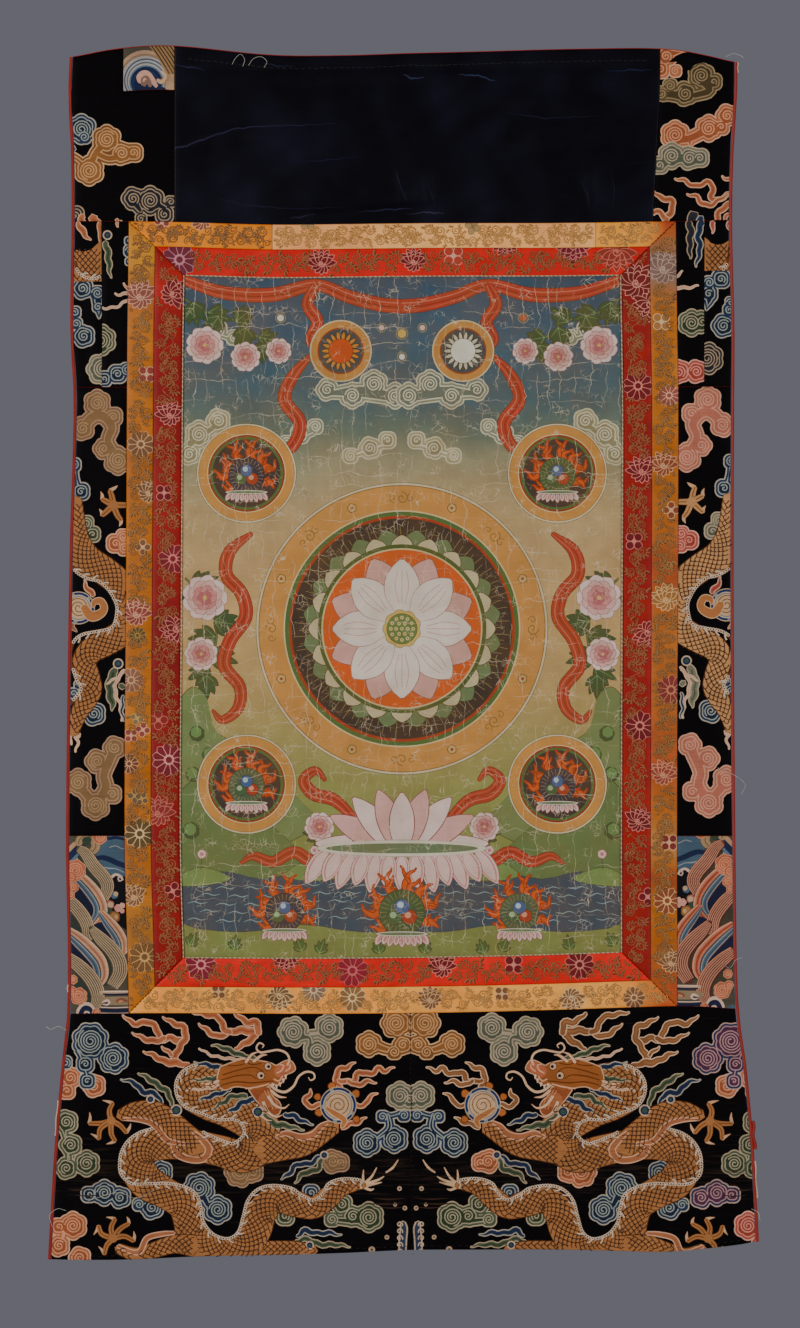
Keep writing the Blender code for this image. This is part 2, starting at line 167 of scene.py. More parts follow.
def heading_right(drop):
    """The heading's right seam leans in towards its foot."""
    top, lean, height = 0.2590, 0.0087, 0.22
    share = np.clip(drop / height, 0.0, 1.0)
    return top - lean * share * share * (3 - 2 * share)


def straight(value):
    """A seam line that runs dead straight."""
    return lambda along: value + 0 * along


RED_WIDTH, GOLD_WIDTH = 0.0302, 0.0273
RED_TOP_WIDTH, GOLD_TOP_WIDTH = 0.0290, 0.0257
UPRIGHT = {  # the x of each upright seam line, by drop
    "left_side": lambda drop: reading(DROPS, 1, drop) + 2 * PIPING_RADIUS + SEAM_GAP / 2,
    "right_side": lambda drop: reading(DROPS, 4, drop) - 2 * PIPING_RADIUS - SEAM_GAP / 2,
    "picture_left": lambda drop: reading(DROPS, 2, drop),
    "picture_right": lambda drop: reading(DROPS, 3, drop),
    "red_left": lambda drop: reading(DROPS, 2, drop) - RED_WIDTH,
    "red_right": lambda drop: reading(DROPS, 3, drop) + RED_WIDTH,
    "gold_left": lambda drop: reading(DROPS, 2, drop) - RED_WIDTH - GOLD_WIDTH,
    "gold_right": lambda drop: reading(DROPS, 3, drop) + RED_WIDTH + GOLD_WIDTH,
    "heading_left": straight(-0.2412),
    "heading_right": heading_right,
    "split_left": straight(-0.3160),
    "split_right": straight(0.3040),
    "tan_left": straight(-0.1405),
    "tan_right": straight(0.1927),
    "skirt_seam": lambda drop: 0.0015 + 0.012 * (drop - 0.99),
    "scrap_left": straight(-0.2938),
}
LEVEL = {  # the drop of each level seam line, by x
    "heading_top": lambda x: reading(STATIONS, 1, x),
    "lining_top": lambda x: reading(STATIONS, 1, x) - 0.0009,
    "heading_foot": lambda x: reading(STATIONS, 2, x),
    "red_top": lambda x: reading(STATIONS, 2, x) + GOLD_TOP_WIDTH,
    "picture_top": lambda x: reading(STATIONS, 2, x) + GOLD_TOP_WIDTH + RED_TOP_WIDTH,
    "picture_foot": lambda x: reading(STATIONS, 3, x),
    "red_foot": lambda x: reading(STATIONS, 3, x) + RED_WIDTH,
    "skirt_top": lambda x: reading(STATIONS, 3, x) + RED_WIDTH + GOLD_WIDTH,
    "cloud_top": straight(0.3430),
    "wave_top": straight(0.8052),
    "scrap_foot": lambda x: 0.75 * reading(STATIONS, 1, x) + 0.25 * reading(STATIONS, 2, x),
    "hem": lambda x: reading(STATIONS, 4, x),
}


def standing_out(x, drop):
    """How far the middle of the cloth stands towards the viewer: the swells, then the creases."""
    total = np.zeros_like(x)
    for at_x, at_drop, run, breadth, lean, rise in SWELLS:
        c, s = math.cos(math.radians(lean)), math.sin(math.radians(lean))
        across = (x - at_x) * c + (drop - at_drop) * s
        along = (drop - at_drop) * c - (x - at_x) * s
        total += rise * np.exp(-((across / breadth) ** 2) - (along / run) ** 2)
    for row in CREASES:
        x0, drop0, x1, drop1, breadth, rise = (MM * value for value in row)
        dx, dd = x1 - x0, drop1 - drop0
        t = np.clip(((x - x0) * dx + (drop - drop0) * dd) / (dx * dx + dd * dd), 0, 1)
        away = np.hypot(x - x0 - t * dx, drop - drop0 - t * dd)
        fade = np.minimum(1.0, 4 * np.minimum(t, 1 - t) + 0.25)
        total += rise * fade * np.exp(-((away / breadth) ** 2))
    return total


def hung(flat, behind):
    """Points of the flat layout, hung in space. `behind` moves them away from the viewer."""
    x, drop = flat[:, 0], flat[:, 1]
    return np.column_stack([x, behind - standing_out(x, drop), -drop])


def crossing(upright, level):
    """(x, drop) where an upright and a level line meet."""
    x = UPRIGHT[upright](0.5)
    for _ in range(8):
        drop = LEVEL[level](x)
        x = UPRIGHT[upright](drop)
    return np.array([float(x), float(drop)])


def outline(*corners):
    """A closed outline through corners (upright, level, way): `way` names the seam line followed to the next
    corner, or is None where that edge is cut straight. Each edge is drawn in by half a seam's gap."""
    spots = [crossing(upright, level) for upright, level, _ in corners]
    points = []
    for i, (_, _, way) in enumerate(corners):
        start, end = spots[i], spots[(i + 1) % len(spots)]
        t = np.linspace(0, 1, max(2, round(math.dist(start, end) / 0.005)), endpoint=False)
        edge = start + np.outer(t, end - start)
        if way in UPRIGHT:
            edge[:, 0] = UPRIGHT[way](edge[:, 1])
        elif way in LEVEL:
            edge[:, 1] = LEVEL[way](edge[:, 0])
        points.append(edge)
    return drawn_in(np.concatenate(points), SEAM_GAP / 2)


def drawn_in(loop, distance):
    """A clockwise loop moved inward; at a sharp corner it moves no more than the limits below let it."""
    least_turn, least_bend = 0.2, 0.6
    ahead, behind = np.roll(loop, -1, axis=0) - loop, loop - np.roll(loop, 1, axis=0)
    ahead /= np.linalg.norm(ahead, axis=1)[:, None]
    behind /= np.linalg.norm(behind, axis=1)[:, None]
    middle = (ahead + behind) / np.maximum(least_turn, np.linalg.norm(ahead + behind, axis=1))[:, None]
    reach = distance / np.maximum(least_bend, (middle * ahead).sum(1))
    return loop + np.column_stack([-middle[:, 1], middle[:, 0]]) * reach[:, None]


def panel(left, right, top, foot, foot_ends=None):
    """A four-sided outline between seam lines. `foot_ends` are the uprights that its foot ends on, where they
    aren't those of its top: such a side is a straight mitre."""
    foot_left, foot_right = foot_ends or (left, right)
    return outline((left, top, top), (right, top, right if foot_right == right else None),
                   (foot_right, foot, foot), (foot_left, foot, left if foot_left == left else None))


def inside(points, loop):
    """Which points lie in a loop, by winding, so that a ribbon may cross itself. They are taken some
    thousands at a time, which spares memory."""
    (x0, y0), (x1, y1) = loop.T, np.roll(loop, -1, axis=0).T
    found = []
    for part in np.array_split(points, len(points) // 4000 + 1):
        x, y = part[:, :1], part[:, 1:]
        side = (x1 - x0) * (y - y0) - (x - x0) * (y1 - y0)
        rising = (y0 <= y) & (y1 > y) & (side > 0)
        falling = (y0 > y) & (y1 <= y) & (side < 0)
        found.append(rising.sum(1) != falling.sum(1))
    return np.concatenate(found)


def triangles(points, edges, bound, merge, hand):
    """Points in mm joined into triangles that keep the edges and stay inside `bound`. Points nearer than
    `merge` become one; `hand` is 1 for triangles that face the viewer once hung, and -1 for the back's."""
    made = delaunay_2d_cdt([Vector(p) for p in points], edges, [], 0, merge, False)
    flat, faces = np.array([p[:] for p in made[0]]), np.array(made[2])
    faces = faces[inside(flat[faces].mean(axis=1), bound)]
    a, b, c = (flat[faces[:, k]] for k in range(3))
    turn = (b[:, 0] - a[:, 0]) * (c[:, 1] - a[:, 1]) - (b[:, 1] - a[:, 1]) * (c[:, 0] - a[:, 0])
    turned = hand * turn > 0
    faces[turned] = faces[turned][:, ::-1]
    return flat, faces


def sides_of(faces):
    """The sides of triangles, each with its lower end first."""
    return np.sort(np.concatenate([faces[:, [0, 1]], faces[:, [1, 2]], faces[:, [2, 0]]]), axis=1)


def laid(loops, spots, bound, kept=()):
    """Triangles that keep every loop's edge as an edge, and the `kept` pairs of spots."""
    merge = 0.004
    edges, first = [], 0
    for loop in loops:
        numbers = np.arange(first, first + len(loop))
        edges.append(np.column_stack([numbers, np.roll(numbers, -1)]))
        first += len(loop)
    if len(kept):
        edges.append(np.array(kept) + first)
    return triangles(np.concatenate([*loops, spots]), np.concatenate(edges).tolist(), bound, merge, 1)


def topmost(middles, drawn):
    """The number of the last drawn loop over each point, from 1, or 0 where the ground shows."""
    top = np.zeros(len(middles), int)
    order = np.argsort(middles[:, 0])
    sorted_x = middles[order, 0]
    for number, shape in enumerate(drawn, 1):
        first, last = np.searchsorted(sorted_x, (shape[:, 0].min(), shape[:, 0].max()))
        near = order[first:last]
        near = near[(middles[near, 1] > shape[:, 1].min()) & (middles[near, 1] < shape[:, 1].max())]
        if len(near):
            top[near[inside(middles[near], shape)]] = number
    return top


def colour(text, strength=1.0):
    """A linear colour from an sRGB hex value."""
    values = [int(text[i:i + 2], 16) / 255 for i in (1, 3, 5)]
    linear = (v / 12.92 if v <= 0.04045 else ((v + 0.055) / 1.055) ** 2.4 for v in values)
    return (*linear, strength)


def front_of(bound, rims, spots, art, ground):
    """A cloth's front: its points in mm, its triangles, and the colour of each of their corners. A first
    laying finds which edges of the art show, and the second keeps only those."""
    low, high = bound.min(0), bound.max(0)
    near = [(p / MM, paint) for p, paint in art
            if (p.max(0) / MM > low).all() and (p.min(0) / MM < high).all()]
    drawn = [loop for loop, _ in near]
    flat, faces = laid([bound, *rims, *drawn], spots, bound)
    top = topmost(flat[faces].mean(axis=1), drawn)
    if drawn:
        ends, which, count = np.unique(sides_of(faces), axis=0, return_inverse=True, return_counts=True)
        highest, lowest = np.zeros(len(ends), int), np.full(len(ends), len(drawn) + 1)
        np.maximum.at(highest, which.reshape(-1), np.tile(top, 3))
        np.minimum.at(lowest, which.reshape(-1), np.tile(top, 3))
        used, seen = np.unique(ends[(count == 1) | (highest != lowest)], return_inverse=True)
        flat, faces = laid(rims, np.concatenate([flat[used], spots]), bound, seen.reshape(-1, 2))
        top = topmost(flat[faces].mean(axis=1), drawn)
    tints = np.zeros((len(faces), 3, 4))
    for number, paint in enumerate([ground, *(paint for _, paint in near)]):
        mine = top == number
        if callable(paint) and mine.any():
            tints[mine] = paint(MM * flat[faces[mine]].reshape(-1, 2)).reshape(-1, 3, 4)
        elif mine.any():
            tints[mine] = colour(paint, float(number > 0))
    used, faces = np.unique(faces, return_inverse=True)
    return flat[used], faces.reshape(-1, 3), tints


def sheet(name, loop, finish, ground, art=(), step=5.0, behind=0.0, dip=0.0007):
    """A piece of cloth cut to `loop`, with points each `step` mm where it is bare. `art` is (loop in metres,
    paint) in painting order; a paint is a hex colour, or a function from places to colours. `ground` is the
    paint of the bare weave. The front's edges dip into the seams, and the back is laid coarser."""
    thick, bare_margin, dip_reach, back_tint = 0.0010, 0.0042, 1.6, "#8a7a5c"
    bound = loop / MM
    low, high = bound.min(0), bound.max(0)
    columns, rows = np.ceil((high - low) / step).astype(int)
    across = low[0] + step * (np.arange(columns) + 0.5)
    down = low[1] + step * (np.arange(rows) + 0.5)
    spots = np.stack(np.meshgrid(across, down), axis=-1)
    spots[1::2, :, 0] += step / 2
    core = drawn_in(loop, bare_margin) / MM
    sparse, spots = spots[::2, ::2].reshape(-1, 2), spots.reshape(-1, 2)
    sparse, spots = sparse[inside(sparse, core)], spots[inside(spots, core)]
    rims = [drawn_in(loop, inset) / MM for inset in (0.0009, 0.0026)]  # where the dip begins and deepens
    flat, faces, tints = front_of(bound, rims, spots, art, ground)
    edge, count = np.unique(sides_of(faces), axis=0, return_counts=True)
    edge = edge[count == 1]
    rim = np.unique(edge)
    place = {old: new for new, old in enumerate(rim)}
    back_flat, back = triangles(np.concatenate([flat[rim], sparse]), [(place[a], place[b]) for a, b in edge],
                                bound, 1e-7, -1)
    nearest = np.full(len(flat), np.inf)
    for p, q in zip(bound, np.roll(bound, -1, axis=0)):
        t = np.clip(((flat - p) @ (q - p)) / ((q - p) @ (q - p)), 0, 1)
        nearest = np.minimum(nearest, np.linalg.norm(flat - p - t[:, None] * (q - p), axis=1))
    fronts = hung(MM * flat, behind - thick / 2)
    fronts[:, 1] += dip * np.exp(-((nearest / dip_reach) ** 2))
    backs = hung(MM * back_flat, behind + thick / 2)
    count = len(flat)
    ways = {(a, b) for face in faces for a, b in zip(face, face[[1, 2, 0]])}
    sides = []
    for a, b in edge:
        a, b = (a, b) if (a, b) in ways else (b, a)
        sides.append((b, a, count + place[a], count + place[b]))
    mesh = bpy.data.meshes.new(name)
    mesh.from_pydata(np.concatenate([fronts, backs]).tolist(), [],
                     [*faces.tolist(), *(back + count).tolist(), *sides])
    corners = np.concatenate([faces.reshape(-1), back.reshape(-1) + count, np.array(sides).reshape(-1)])
    places = MM * np.concatenate([flat, back_flat])[corners]
    layer = mesh.uv_layers.new(name="Cloth")
    layer.data.foreach_set("uv", (places * (1, -1)).astype(np.float32).reshape(-1))
    rest = np.tile(colour(back_tint if callable(ground) else ground, 0.0), (len(corners) - 3 * len(faces), 1))
    tints = np.concatenate([tints.reshape(-1, 4), rest]).astype(np.float32)
    tint = mesh.color_attributes.new("Tint", "FLOAT_COLOR", "CORNER")
    tint.data.foreach_set("color", tints.reshape(-1))
    mesh.shade_smooth()
    mesh.materials.append(finish)
    piece = bpy.data.objects.new(f"{name}_cloth", mesh)
    bpy.context.scene.collection.objects.link(piece)
    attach(piece, "root")
    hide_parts(name)
    return piece


def add(tree, kind, settings=None, inputs=None):
    """Adds a node with its settings, its values and its links."""
    node = tree.nodes.new(kind)
    for key, value in (settings or {}).items():
        setattr(node, key, value)
    for key, value in (inputs or {}).items():
        if isinstance(value, bpy.types.NodeSocket):
            tree.links.new(value, node.inputs[key])
        else:
            node.inputs[key].default_value = value
    return node


WAVE_BAND = 0.31416  # a Wave texture's scale for one band each mm


def silk(name, rib, relief, rough, mottle, streak, sheen=0.0, wear=None, gloss=0.12, worn=None):
    """A woven silk that takes its colour from the cloth's Tint, whose alpha is 1 on worked thread. `rib` is
    the weave's pitch and `relief` its height in mm; `rough` is (bare, worked); mottle and streak are how far
    dye and abrasion move the colour; wear is the colour of the rubbed warp, where there is any, and `worn`
    the drop and spread in mm where it is rubbed most."""
    made = bpy.data.materials.new(name)
    made.use_nodes = True
    tree = made.node_tree
    shader = tree.nodes["Principled BSDF"]
    tint = add(tree, "ShaderNodeAttribute", {"attribute_name": "Tint"})
    place = add(tree, "ShaderNodeUVMap", {"uv_map": "Cloth"})
    mm = add(tree, "ShaderNodeVectorMath", {"operation": "SCALE"},
             {0: place.outputs[0], "Scale": 1 / MM}).outputs[0]
    along = add(tree, "ShaderNodeMapping", None, {0: mm, "Scale": (0.035, 1.1, 1.0)})
    blotch = add(tree, "ShaderNodeTexNoise", None, {0: mm, "Scale": 0.045, "Detail": 5.0})
    line = add(tree, "ShaderNodeTexNoise", None, {0: along.outputs[0], "Scale": 1.0, "Detail": 3.0})
    weft = add(tree, "ShaderNodeTexWave", {"bands_direction": "Y"},
               {0: mm, "Scale": WAVE_BAND / rib, "Distortion": 0.6, "Detail": 1.0})
    warp = add(tree, "ShaderNodeTexWave", {"bands_direction": "X"},
               {0: mm, "Scale": WAVE_BAND / (rib * 0.8), "Distortion": 0.4, "Detail": 1.0})
    ribs = add(tree, "ShaderNodeMath", {"operation": "MULTIPLY_ADD"},
               {0: warp.outputs["Fac"], 1: 0.45, 2: weft.outputs["Fac"]})
    shade = add(tree, "ShaderNodeMapRange", None, {0: ribs.outputs[0], 1: 0.0, 2: 1.45, 3: 0.84, 4: 1.1})
    for noise, reach in ((blotch, mottle), (line, streak)):
        spread = add(tree, "ShaderNodeMapRange", None,
                     {0: noise.outputs[0], 1: 0.3, 2: 0.7, 3: 1 - reach, 4: 1 + reach})
        shade = add(tree, "ShaderNodeMath", {"operation": "MULTIPLY"},
                    {0: spread.outputs[0], 1: shade.outputs[0]})
    dyed = add(tree, "ShaderNodeVectorMath", {"operation": "SCALE"},
               {0: tint.outputs["Color"], "Scale": shade.outputs[0]}).outputs[0]
    if wear:
        rub = add(tree, "ShaderNodeMapping", None, {0: mm, "Scale": (0.02, 0.35, 1.0)})
        wear_and_highlight = add(tree, "ShaderNodeTexNoise", None,
                     {0: rub.outputs[0], "Scale": 1.0, "Detail": 8.0, "Roughness": 0.65})
        if worn:
            part = add(tree, "ShaderNodeSeparateXYZ", None, {0: mm})
            away = add(tree, "ShaderNodeMath", {"operation": "ADD"}, {0: part.outputs[1], 1: worn[0]})
            away = add(tree, "ShaderNodeMath", {"operation": "ABSOLUTE"}, {0: away.outputs[0]})
            near = add(tree, "ShaderNodeMapRange", None,
                       {0: away.outputs[0], 1: 0.0, 2: worn[1], 3: 0.14, 4: 0.0})
            wear_and_highlight = add(tree, "ShaderNodeMath", {"operation": "ADD"},
                         {0: wear_and_highlight.outputs[0], 1: near.outputs[0]})
        where = add(tree, "ShaderNodeMapRange", None,
                    {0: wear_and_highlight.outputs[0], 1: 0.60, 2: 0.80, 3: 0.0, 4: 0.55})
        dyed = add(tree, "ShaderNodeMix", {"data_type": "RGBA"},
                   {0: where.outputs[0], 6: dyed, 7: colour(wear)}).outputs[2]
    roughness = add(tree, "ShaderNodeMapRange", None,
                    {0: tint.outputs["Alpha"], 1: 0.0, 2: 1.0, 3: rough[0], 4: rough[1]})
    bump = add(tree, "ShaderNodeBump", None,
               {"Height": ribs.outputs[0], "Distance": relief * MM, "Strength": 0.6})
    for socket, value in (("Base Color", dyed), ("Roughness", roughness.outputs[0]),
                          ("Normal", bump.outputs[0])):
        tree.links.new(value, shader.inputs[socket])
    shader.inputs["Sheen Weight"].default_value = sheen
    shader.inputs["Sheen Roughness"].default_value = 0.45
    shader.inputs["Specular IOR Level"].default_value = gloss
    return made


# Plain weave: dull, even and finely ribbed.
red_lining = silk("Plain weave red silk", rib=0.9, relief=0.06, rough=(0.62, 0.62), mottle=0.10, streak=0.06,
                  sheen=0.04)
lining = sheet("lining", panel("left_side", "right_side", "lining_top", "hem"), red_lining, "#a02a1e",
               step=8.0, behind=0.0017, dip=0.0)

# ---- The heading ---------------------------------------------------------------------------------------
# One width of navy satin across the top, its upper edge turned over and stitched down as the rod's casing.
# Paler clouds on it are painted sheen, and the crests of its creases carry painted highlights.


def uneven(places, seed):
    """A slow wandering value from 0 to 1 over the cloth, for dye that has faded unevenly."""
    x, y = 1000 * places[:, 0], 1000 * places[:, 1]
    value = np.zeros(len(places))
    for number in range(5):
        turn = 2.399 * (number + seed)
        run = (x * math.cos(turn) + y * math.sin(turn)) / (9.0 + 6.5 * number)
        value += np.sin(run + 1.7 * seed + number)
    return 0.5 + value / 10


def satin(places):
    """Navy, with paler clouds of painted sheen on the satin."""
    painted_sheen = np.clip(1.8 * uneven(places, 9) - 0.6, 0, 1)
    painted_sheen *= np.clip(2.0 * uneven(1.7 * places, 3) - 0.4, 0, 1)
    fresh, pale = np.array(colour("#05040b", 0.0)), np.array(colour("#12101f", 0.0))
    return fresh + painted_sheen[:, None] * (pale - fresh)


CREASE_HIGHLIGHTS = (  # rows of x, drop and width in mm, and the shade: painted highlights along the creases' crests
    (((-251, 100, 1.6), (-230, 95.3, 1.8), (-205, 86, 1.6), (-179, 77.3, 1.5), (-153, 74.7, 1.1),
      (-117, 73.6, 0.8), (-76, 72.1, 0.3)), "#221e34"),
    (((-240, 12, 0.4), (-225, 13.6, 1.5), (-210, 16.5, 0.4)), "#222238"),
    (((-150, 9, 0.3), (-138, 12, 1.2), (-118, 12.6, 0.3)), "#1e1e3a"),
    (((-6, 21, 0.4), (2, 24.6, 1.6), (16, 24.8, 0.4)), "#2a2f4b"),
    (((52, 21.6, 0.4), (66, 21.4, 1.4), (78, 24, 1.6), (89, 27.8, 0.4)), "#292f4c"),
    (((204, 18, 0.3), (230, 16.4, 1.4), (250, 16.8, 0.3)), "#1c213b"),
    (((-122, 169.4, 0.3), (-112, 168, 1.5), (-96, 165.4, 0.3)), "#221e34"),
    (((-52, 163, 0.3), (-20, 160.4, 1.5), (4, 159.4, 0.4)), "#222138"),
    (((-2, 165, 0.3), (22, 163, 1.6), (36, 164.6, 0.4)), "#2d293e"),
    (((-198, 148, 0.3), (-170, 156, 1.4), (-120, 160, 1.0), (-64, 158, 0.3)), "#171429"),
    (((-116, 112, 0.3), (-88, 110, 1.3), (-52, 106, 0.3)), "#17152c"),
    (((-14, 118, 0.3), (-8, 138, 1.3), (-2, 154, 0.3)), "#161429"),
    (((18, 130, 0.3), (24, 146, 1.2), (28, 156, 0.3)), "#161429"),
    (((96, 60, 0.3), (140, 66, 1.4), (196, 64, 0.3)), "#141327"),
    (((176, 128, 0.3), (184, 144, 1.4), (186, 160, 0.3)), "#141225"),
    (((208, 122, 0.3), (212, 140, 1.1), (210, 158, 0.3)), "#151427"),
)


def wear_and_highlight(rows, shade):
    """A tapered streak of painted highlight along a crease, as a loop in metres with its paint."""
    line = np.array(rows, float)
    fine = np.linspace(0, len(line) - 1, 5 * len(line))
    line = np.column_stack([np.interp(fine, np.arange(len(line)), line[:, k]) for k in range(3)])
    line[:, 1] += 0.5 * np.sin(line[:, 0] / 3.1) + 0.3 * np.sin(line[:, 0] / 1.3)
    ahead = np.gradient(line[:, :2], axis=0)
    ahead /= np.linalg.norm(ahead, axis=1)[:, None]
    left = np.column_stack([-ahead[:, 1], ahead[:, 0]]) * line[:, 2:] / 2
    return MM * np.concatenate([line[:, :2] + left, (line[:, :2] - left)[::-1]]), shade


# Satin: long smooth floats, deep in colour with a low sheen.
navy_satin = silk("Navy silk satin", rib=1.0, relief=0.04, rough=(0.36, 0.36), mottle=0.22, streak=0.12,
                  wear="#151224", gloss=0.14)
# The heading's art is its painted highlights along the creases' crests.
heading = sheet("heading", panel("heading_left", "heading_right", "heading_top", "heading_foot"),
                navy_satin, satin, [wear_and_highlight(*row) for row in CREASE_HIGHLIGHTS], step=4.0, dip=0.0003)

# ---- The black brocade ---------------------------------------------------------------------------------
# A twill of black silk with clouds, flames and dragons worked in coloured and gilt wefts: the ends of the
# heading and the side columns, pieced from a robe, so that the clouds stop short at the joins.

BLACK = "#070406"
DYES = {  # outline, outer band, curled line, inner band
    "coral": ("#d3a07e", "#ab6340", "#d08e6a", "#97502f"),
    "rose": ("#d59e88", "#ab4d3e", "#d28774", "#973b2f"),
    "blue": ("#a89c88", "#24314a", "#8f9488", "#1c2436"),
    "green": ("#ab9676", "#4a533e", "#9e9174", "#313c27"),
    "sage": ("#b39c7d", "#737059", "#ab967b", "#535746"),
    "gold": ("#ca9e71", "#794c28", "#c39162", "#8b592e"),
    "tan": ("#a88466", "#7d5a40", "#a2805c", "#80603f"),
    "olive": ("#9e8561", "#5b4b2f", "#917956", "#483c26"),
    "dusk": ("#a48b6c", "#2b2a31", "#9c8466", "#23232b"),
    "blush": ("#d0977b", "#ab6b52", "#cd9076", "#af6651"),
    "tawny": ("#d2aa88", "#835432", "#c39162", "#96643c"),
    "plum": ("#b19080", "#2b304a", "#a97f7c", "#4c2a40"),
    "cream": ("#d2aa8a", "#c39474", "#d5b194", "#c39474"),
}
GILT, GILT_EDGE, PALE = "#a66c3e", "#572e12", "#c99e7a"
# The right column's brocade mirrors the left's about this x, this much higher, in pinker dyes.
COLUMN_MIRROR = (-6.8, -3.0)
MIRRORED_DYES = {"tan": "blush", "coral": "rose", "green": "sage", GILT: "#be8857"}


def smooth(rows, per=5):
    """A smooth line through rows of x, drop and, where given, width; all in mm."""
    rows = np.array(rows, float)
    padded = np.concatenate([[2 * rows[0] - rows[1]], rows, [2 * rows[-1] - rows[-2]]])
    parts = []
    for a, b, c, d in zip(padded, padded[1:], padded[2:], padded[3:]):
        t = np.linspace(0, 1, per, endpoint=False)[:, None]
        parts.append(b + 0.5 * t * (c - a + t * (2 * a - 5 * b + 4 * c - d + t * (3 * (b - c) + d - a))))
    return np.concatenate([*parts, rows[-1:]])


def closed(rows, per=3):
    """A smooth loop through rows."""
    return smooth([*rows, rows[0]], per)


def along(line):
    """Unit tangents and left-hand normals of a line."""
    ahead = np.gradient(line[:, :2], axis=0)
    ahead /= np.maximum(np.linalg.norm(ahead, axis=1), 1e-9)[:, None]
    return ahead, np.column_stack([-ahead[:, 1], ahead[:, 0]])


def length_along(line):
    """How far each point of a line lies from its start."""
    return np.concatenate([[0.0], np.cumsum(np.linalg.norm(np.diff(line[:, :2], axis=0), axis=1))])


def way_to(degrees):
    """One step in a direction, as x and drop."""
    return math.cos(math.radians(degrees)), math.sin(math.radians(degrees))


def ribbon(rows, grow=0.0, per=5, rounded=True):
    """The outline of a band of changing width. `grow` widens it all round."""
    least_half, cap = 0.05, 0.7
    line = smooth(rows, per)
    ahead, left = along(line)
    half = np.maximum(line[:, 2:3] / 2 + grow, least_half)
    start = line[:1, :2] - ahead[:1] * half[0] * cap
    end = line[-1:, :2] + ahead[-1:] * half[-1] * cap
    sides = line[:, :2] + left * half, line[:, :2] - left * half
    if not rounded:
        return np.concatenate([sides[0], sides[1][::-1]])
    return np.concatenate([start, sides[0], end, sides[1][::-1]])


def disc(x, drop, radius, scallops=0, turn=0.0, per=32):
    """A round shape in mm; scallops give it the bumped edge of a cloud's lobe."""
    angle = np.linspace(0, 2 * math.pi, per, endpoint=False)
    reach = radius * (0.92 + 0.12 * np.abs(np.sin(scallops * angle / 2 + turn))) if scallops else radius
    return np.column_stack([x + reach * np.cos(angle), drop + reach * np.sin(angle)])


def curl(x, drop, radius, turns, start, hand, width):
    """A thread that winds in to the middle of a lobe."""
    angle = np.linspace(0, 2 * math.pi * turns, max(8, round(14 * turns)))
    reach = radius * (1 - 0.86 * angle / angle[-1])
    where = math.radians(start) + hand * angle
    rows = np.column_stack([x + reach * np.cos(where), drop + reach * np.sin(where),
                            np.full(len(angle), width)])
    return ribbon(rows, per=1)


def lobe(x, drop, radius, inset):
    """A cloud's scalloped lobe, drawn in by `inset`."""
    return disc(x, drop, radius - inset, max(4, round(0.4 * radius)), per=42)


def cloud(lobes, necks, dye):
    """A cloud of curled lobes (x, drop, radius) in mm, joined by necks, which are rows (x, drop, width)."""
    edge, band, line, inner = DYES[dye]
    art = []
    for inset, paint in ((0.0, edge), (1.4, band), (3.4, line), (4.7, inner)):
        art += [(ribbon(neck, -inset), paint) for neck in necks
                if max(row[2] for row in neck) > 2 * inset + 1]
        art += [(lobe(x, drop, r, inset), paint) for x, drop, r in lobes if r > inset + 1.5]
    for number, (x, drop, r) in enumerate(lobes):
        start, hand = 50 + 137 * number, 1 if number % 2 else -1
        if r > 9:
            art.append((curl(x, drop, r - 6.4, (r - 6.4) / 3.3, start, hand, 1.35), line))
        else:
            art.append((lobe(x, drop, r, 2.4), band))
            art.append((curl(x, drop, r - 2.8, max(0.9, (r - 2.6) / 3.2), start, hand, 1.3), line))
    return art


def streak(rows, dye):
    """A flame, a lock of mane or a streamer: a tapered wavy band with a pale edge and a darker vein. The band
    is `share` of the widths in `rows`, and sways by `sway` mm."""
    share, sway, wavelength = 0.72, 0.9, 2.1
    edge, band, _, inner = DYES[dye]
    path = smooth(rows)
    path[:, :2] += along(path)[1] * (sway * np.sin(length_along(path) / wavelength))[:, None]
    path[:, 2] = np.maximum(path[:, 2] * share, 0.5)
    art = [(ribbon(path, 0.9, per=1), edge), (ribbon(path, -0.25, per=1), band)]
    if len(rows) > 3 and rows[1][2] * share > 3.0:
        art.append((ribbon(path[2:-4] * (1.0, 1.0, 0.28), per=1), inner))
    return art


def moved(loop, mirror=None):
    """A loop from mm to metres; `mirror` is the x that it is mirrored about and how far it drops."""
    loop = np.array(loop, float)
    if mirror is not None:
        loop = np.column_stack([2 * mirror[0] - loop[:, 0], loop[:, 1] + mirror[1]])
    return MM * loop


def placed(art, mirror=None):
    """Shapes and their paints, from mm to metres."""
    return [(moved(loop, mirror), paint) for loop, paint in art]


OUTER_LEFT = {
    "clouds": (
        ("blue", ((-336, 241.5, 12), (-320.5, 246.5, 9), (-320, 260.5, 7)), (((-320, 246.5, 16),
         (-319.5, 258.5, 14), (-319, 272.5, 3)),)),
        ("blue", ((-342.5, 277.5, 7.5), (-344, 266, 7.5), (-335, 290.5, 12.5)), ()),
        ("sage", ((-315.5, 324.5, 17),), ()),
    ),
    "streaks": (
        ("coral", ((-340, 174, 4), (-337, 181, 8), (-333, 186.5, 6), (-327.5, 192.5, 0.5))),
        ("coral", ((-314, 174, 13), (-316.5, 183, 10), (-315.5, 190, 7), (-318, 196, 2))),
    ),
    "patch": ((-346, 206), (-342, 202), (-335, 204), (-327, 202), (-321, 196.5), (-316, 192),
     (-313.5, 192), (-313.5, 234.5), (-346, 234.5)),
    "spine": ((-343, 214), (-342, 220), (-340, 225), (-336, 228.5), (-330, 231), (-323, 231.5),
     (-316, 228.5)),
}
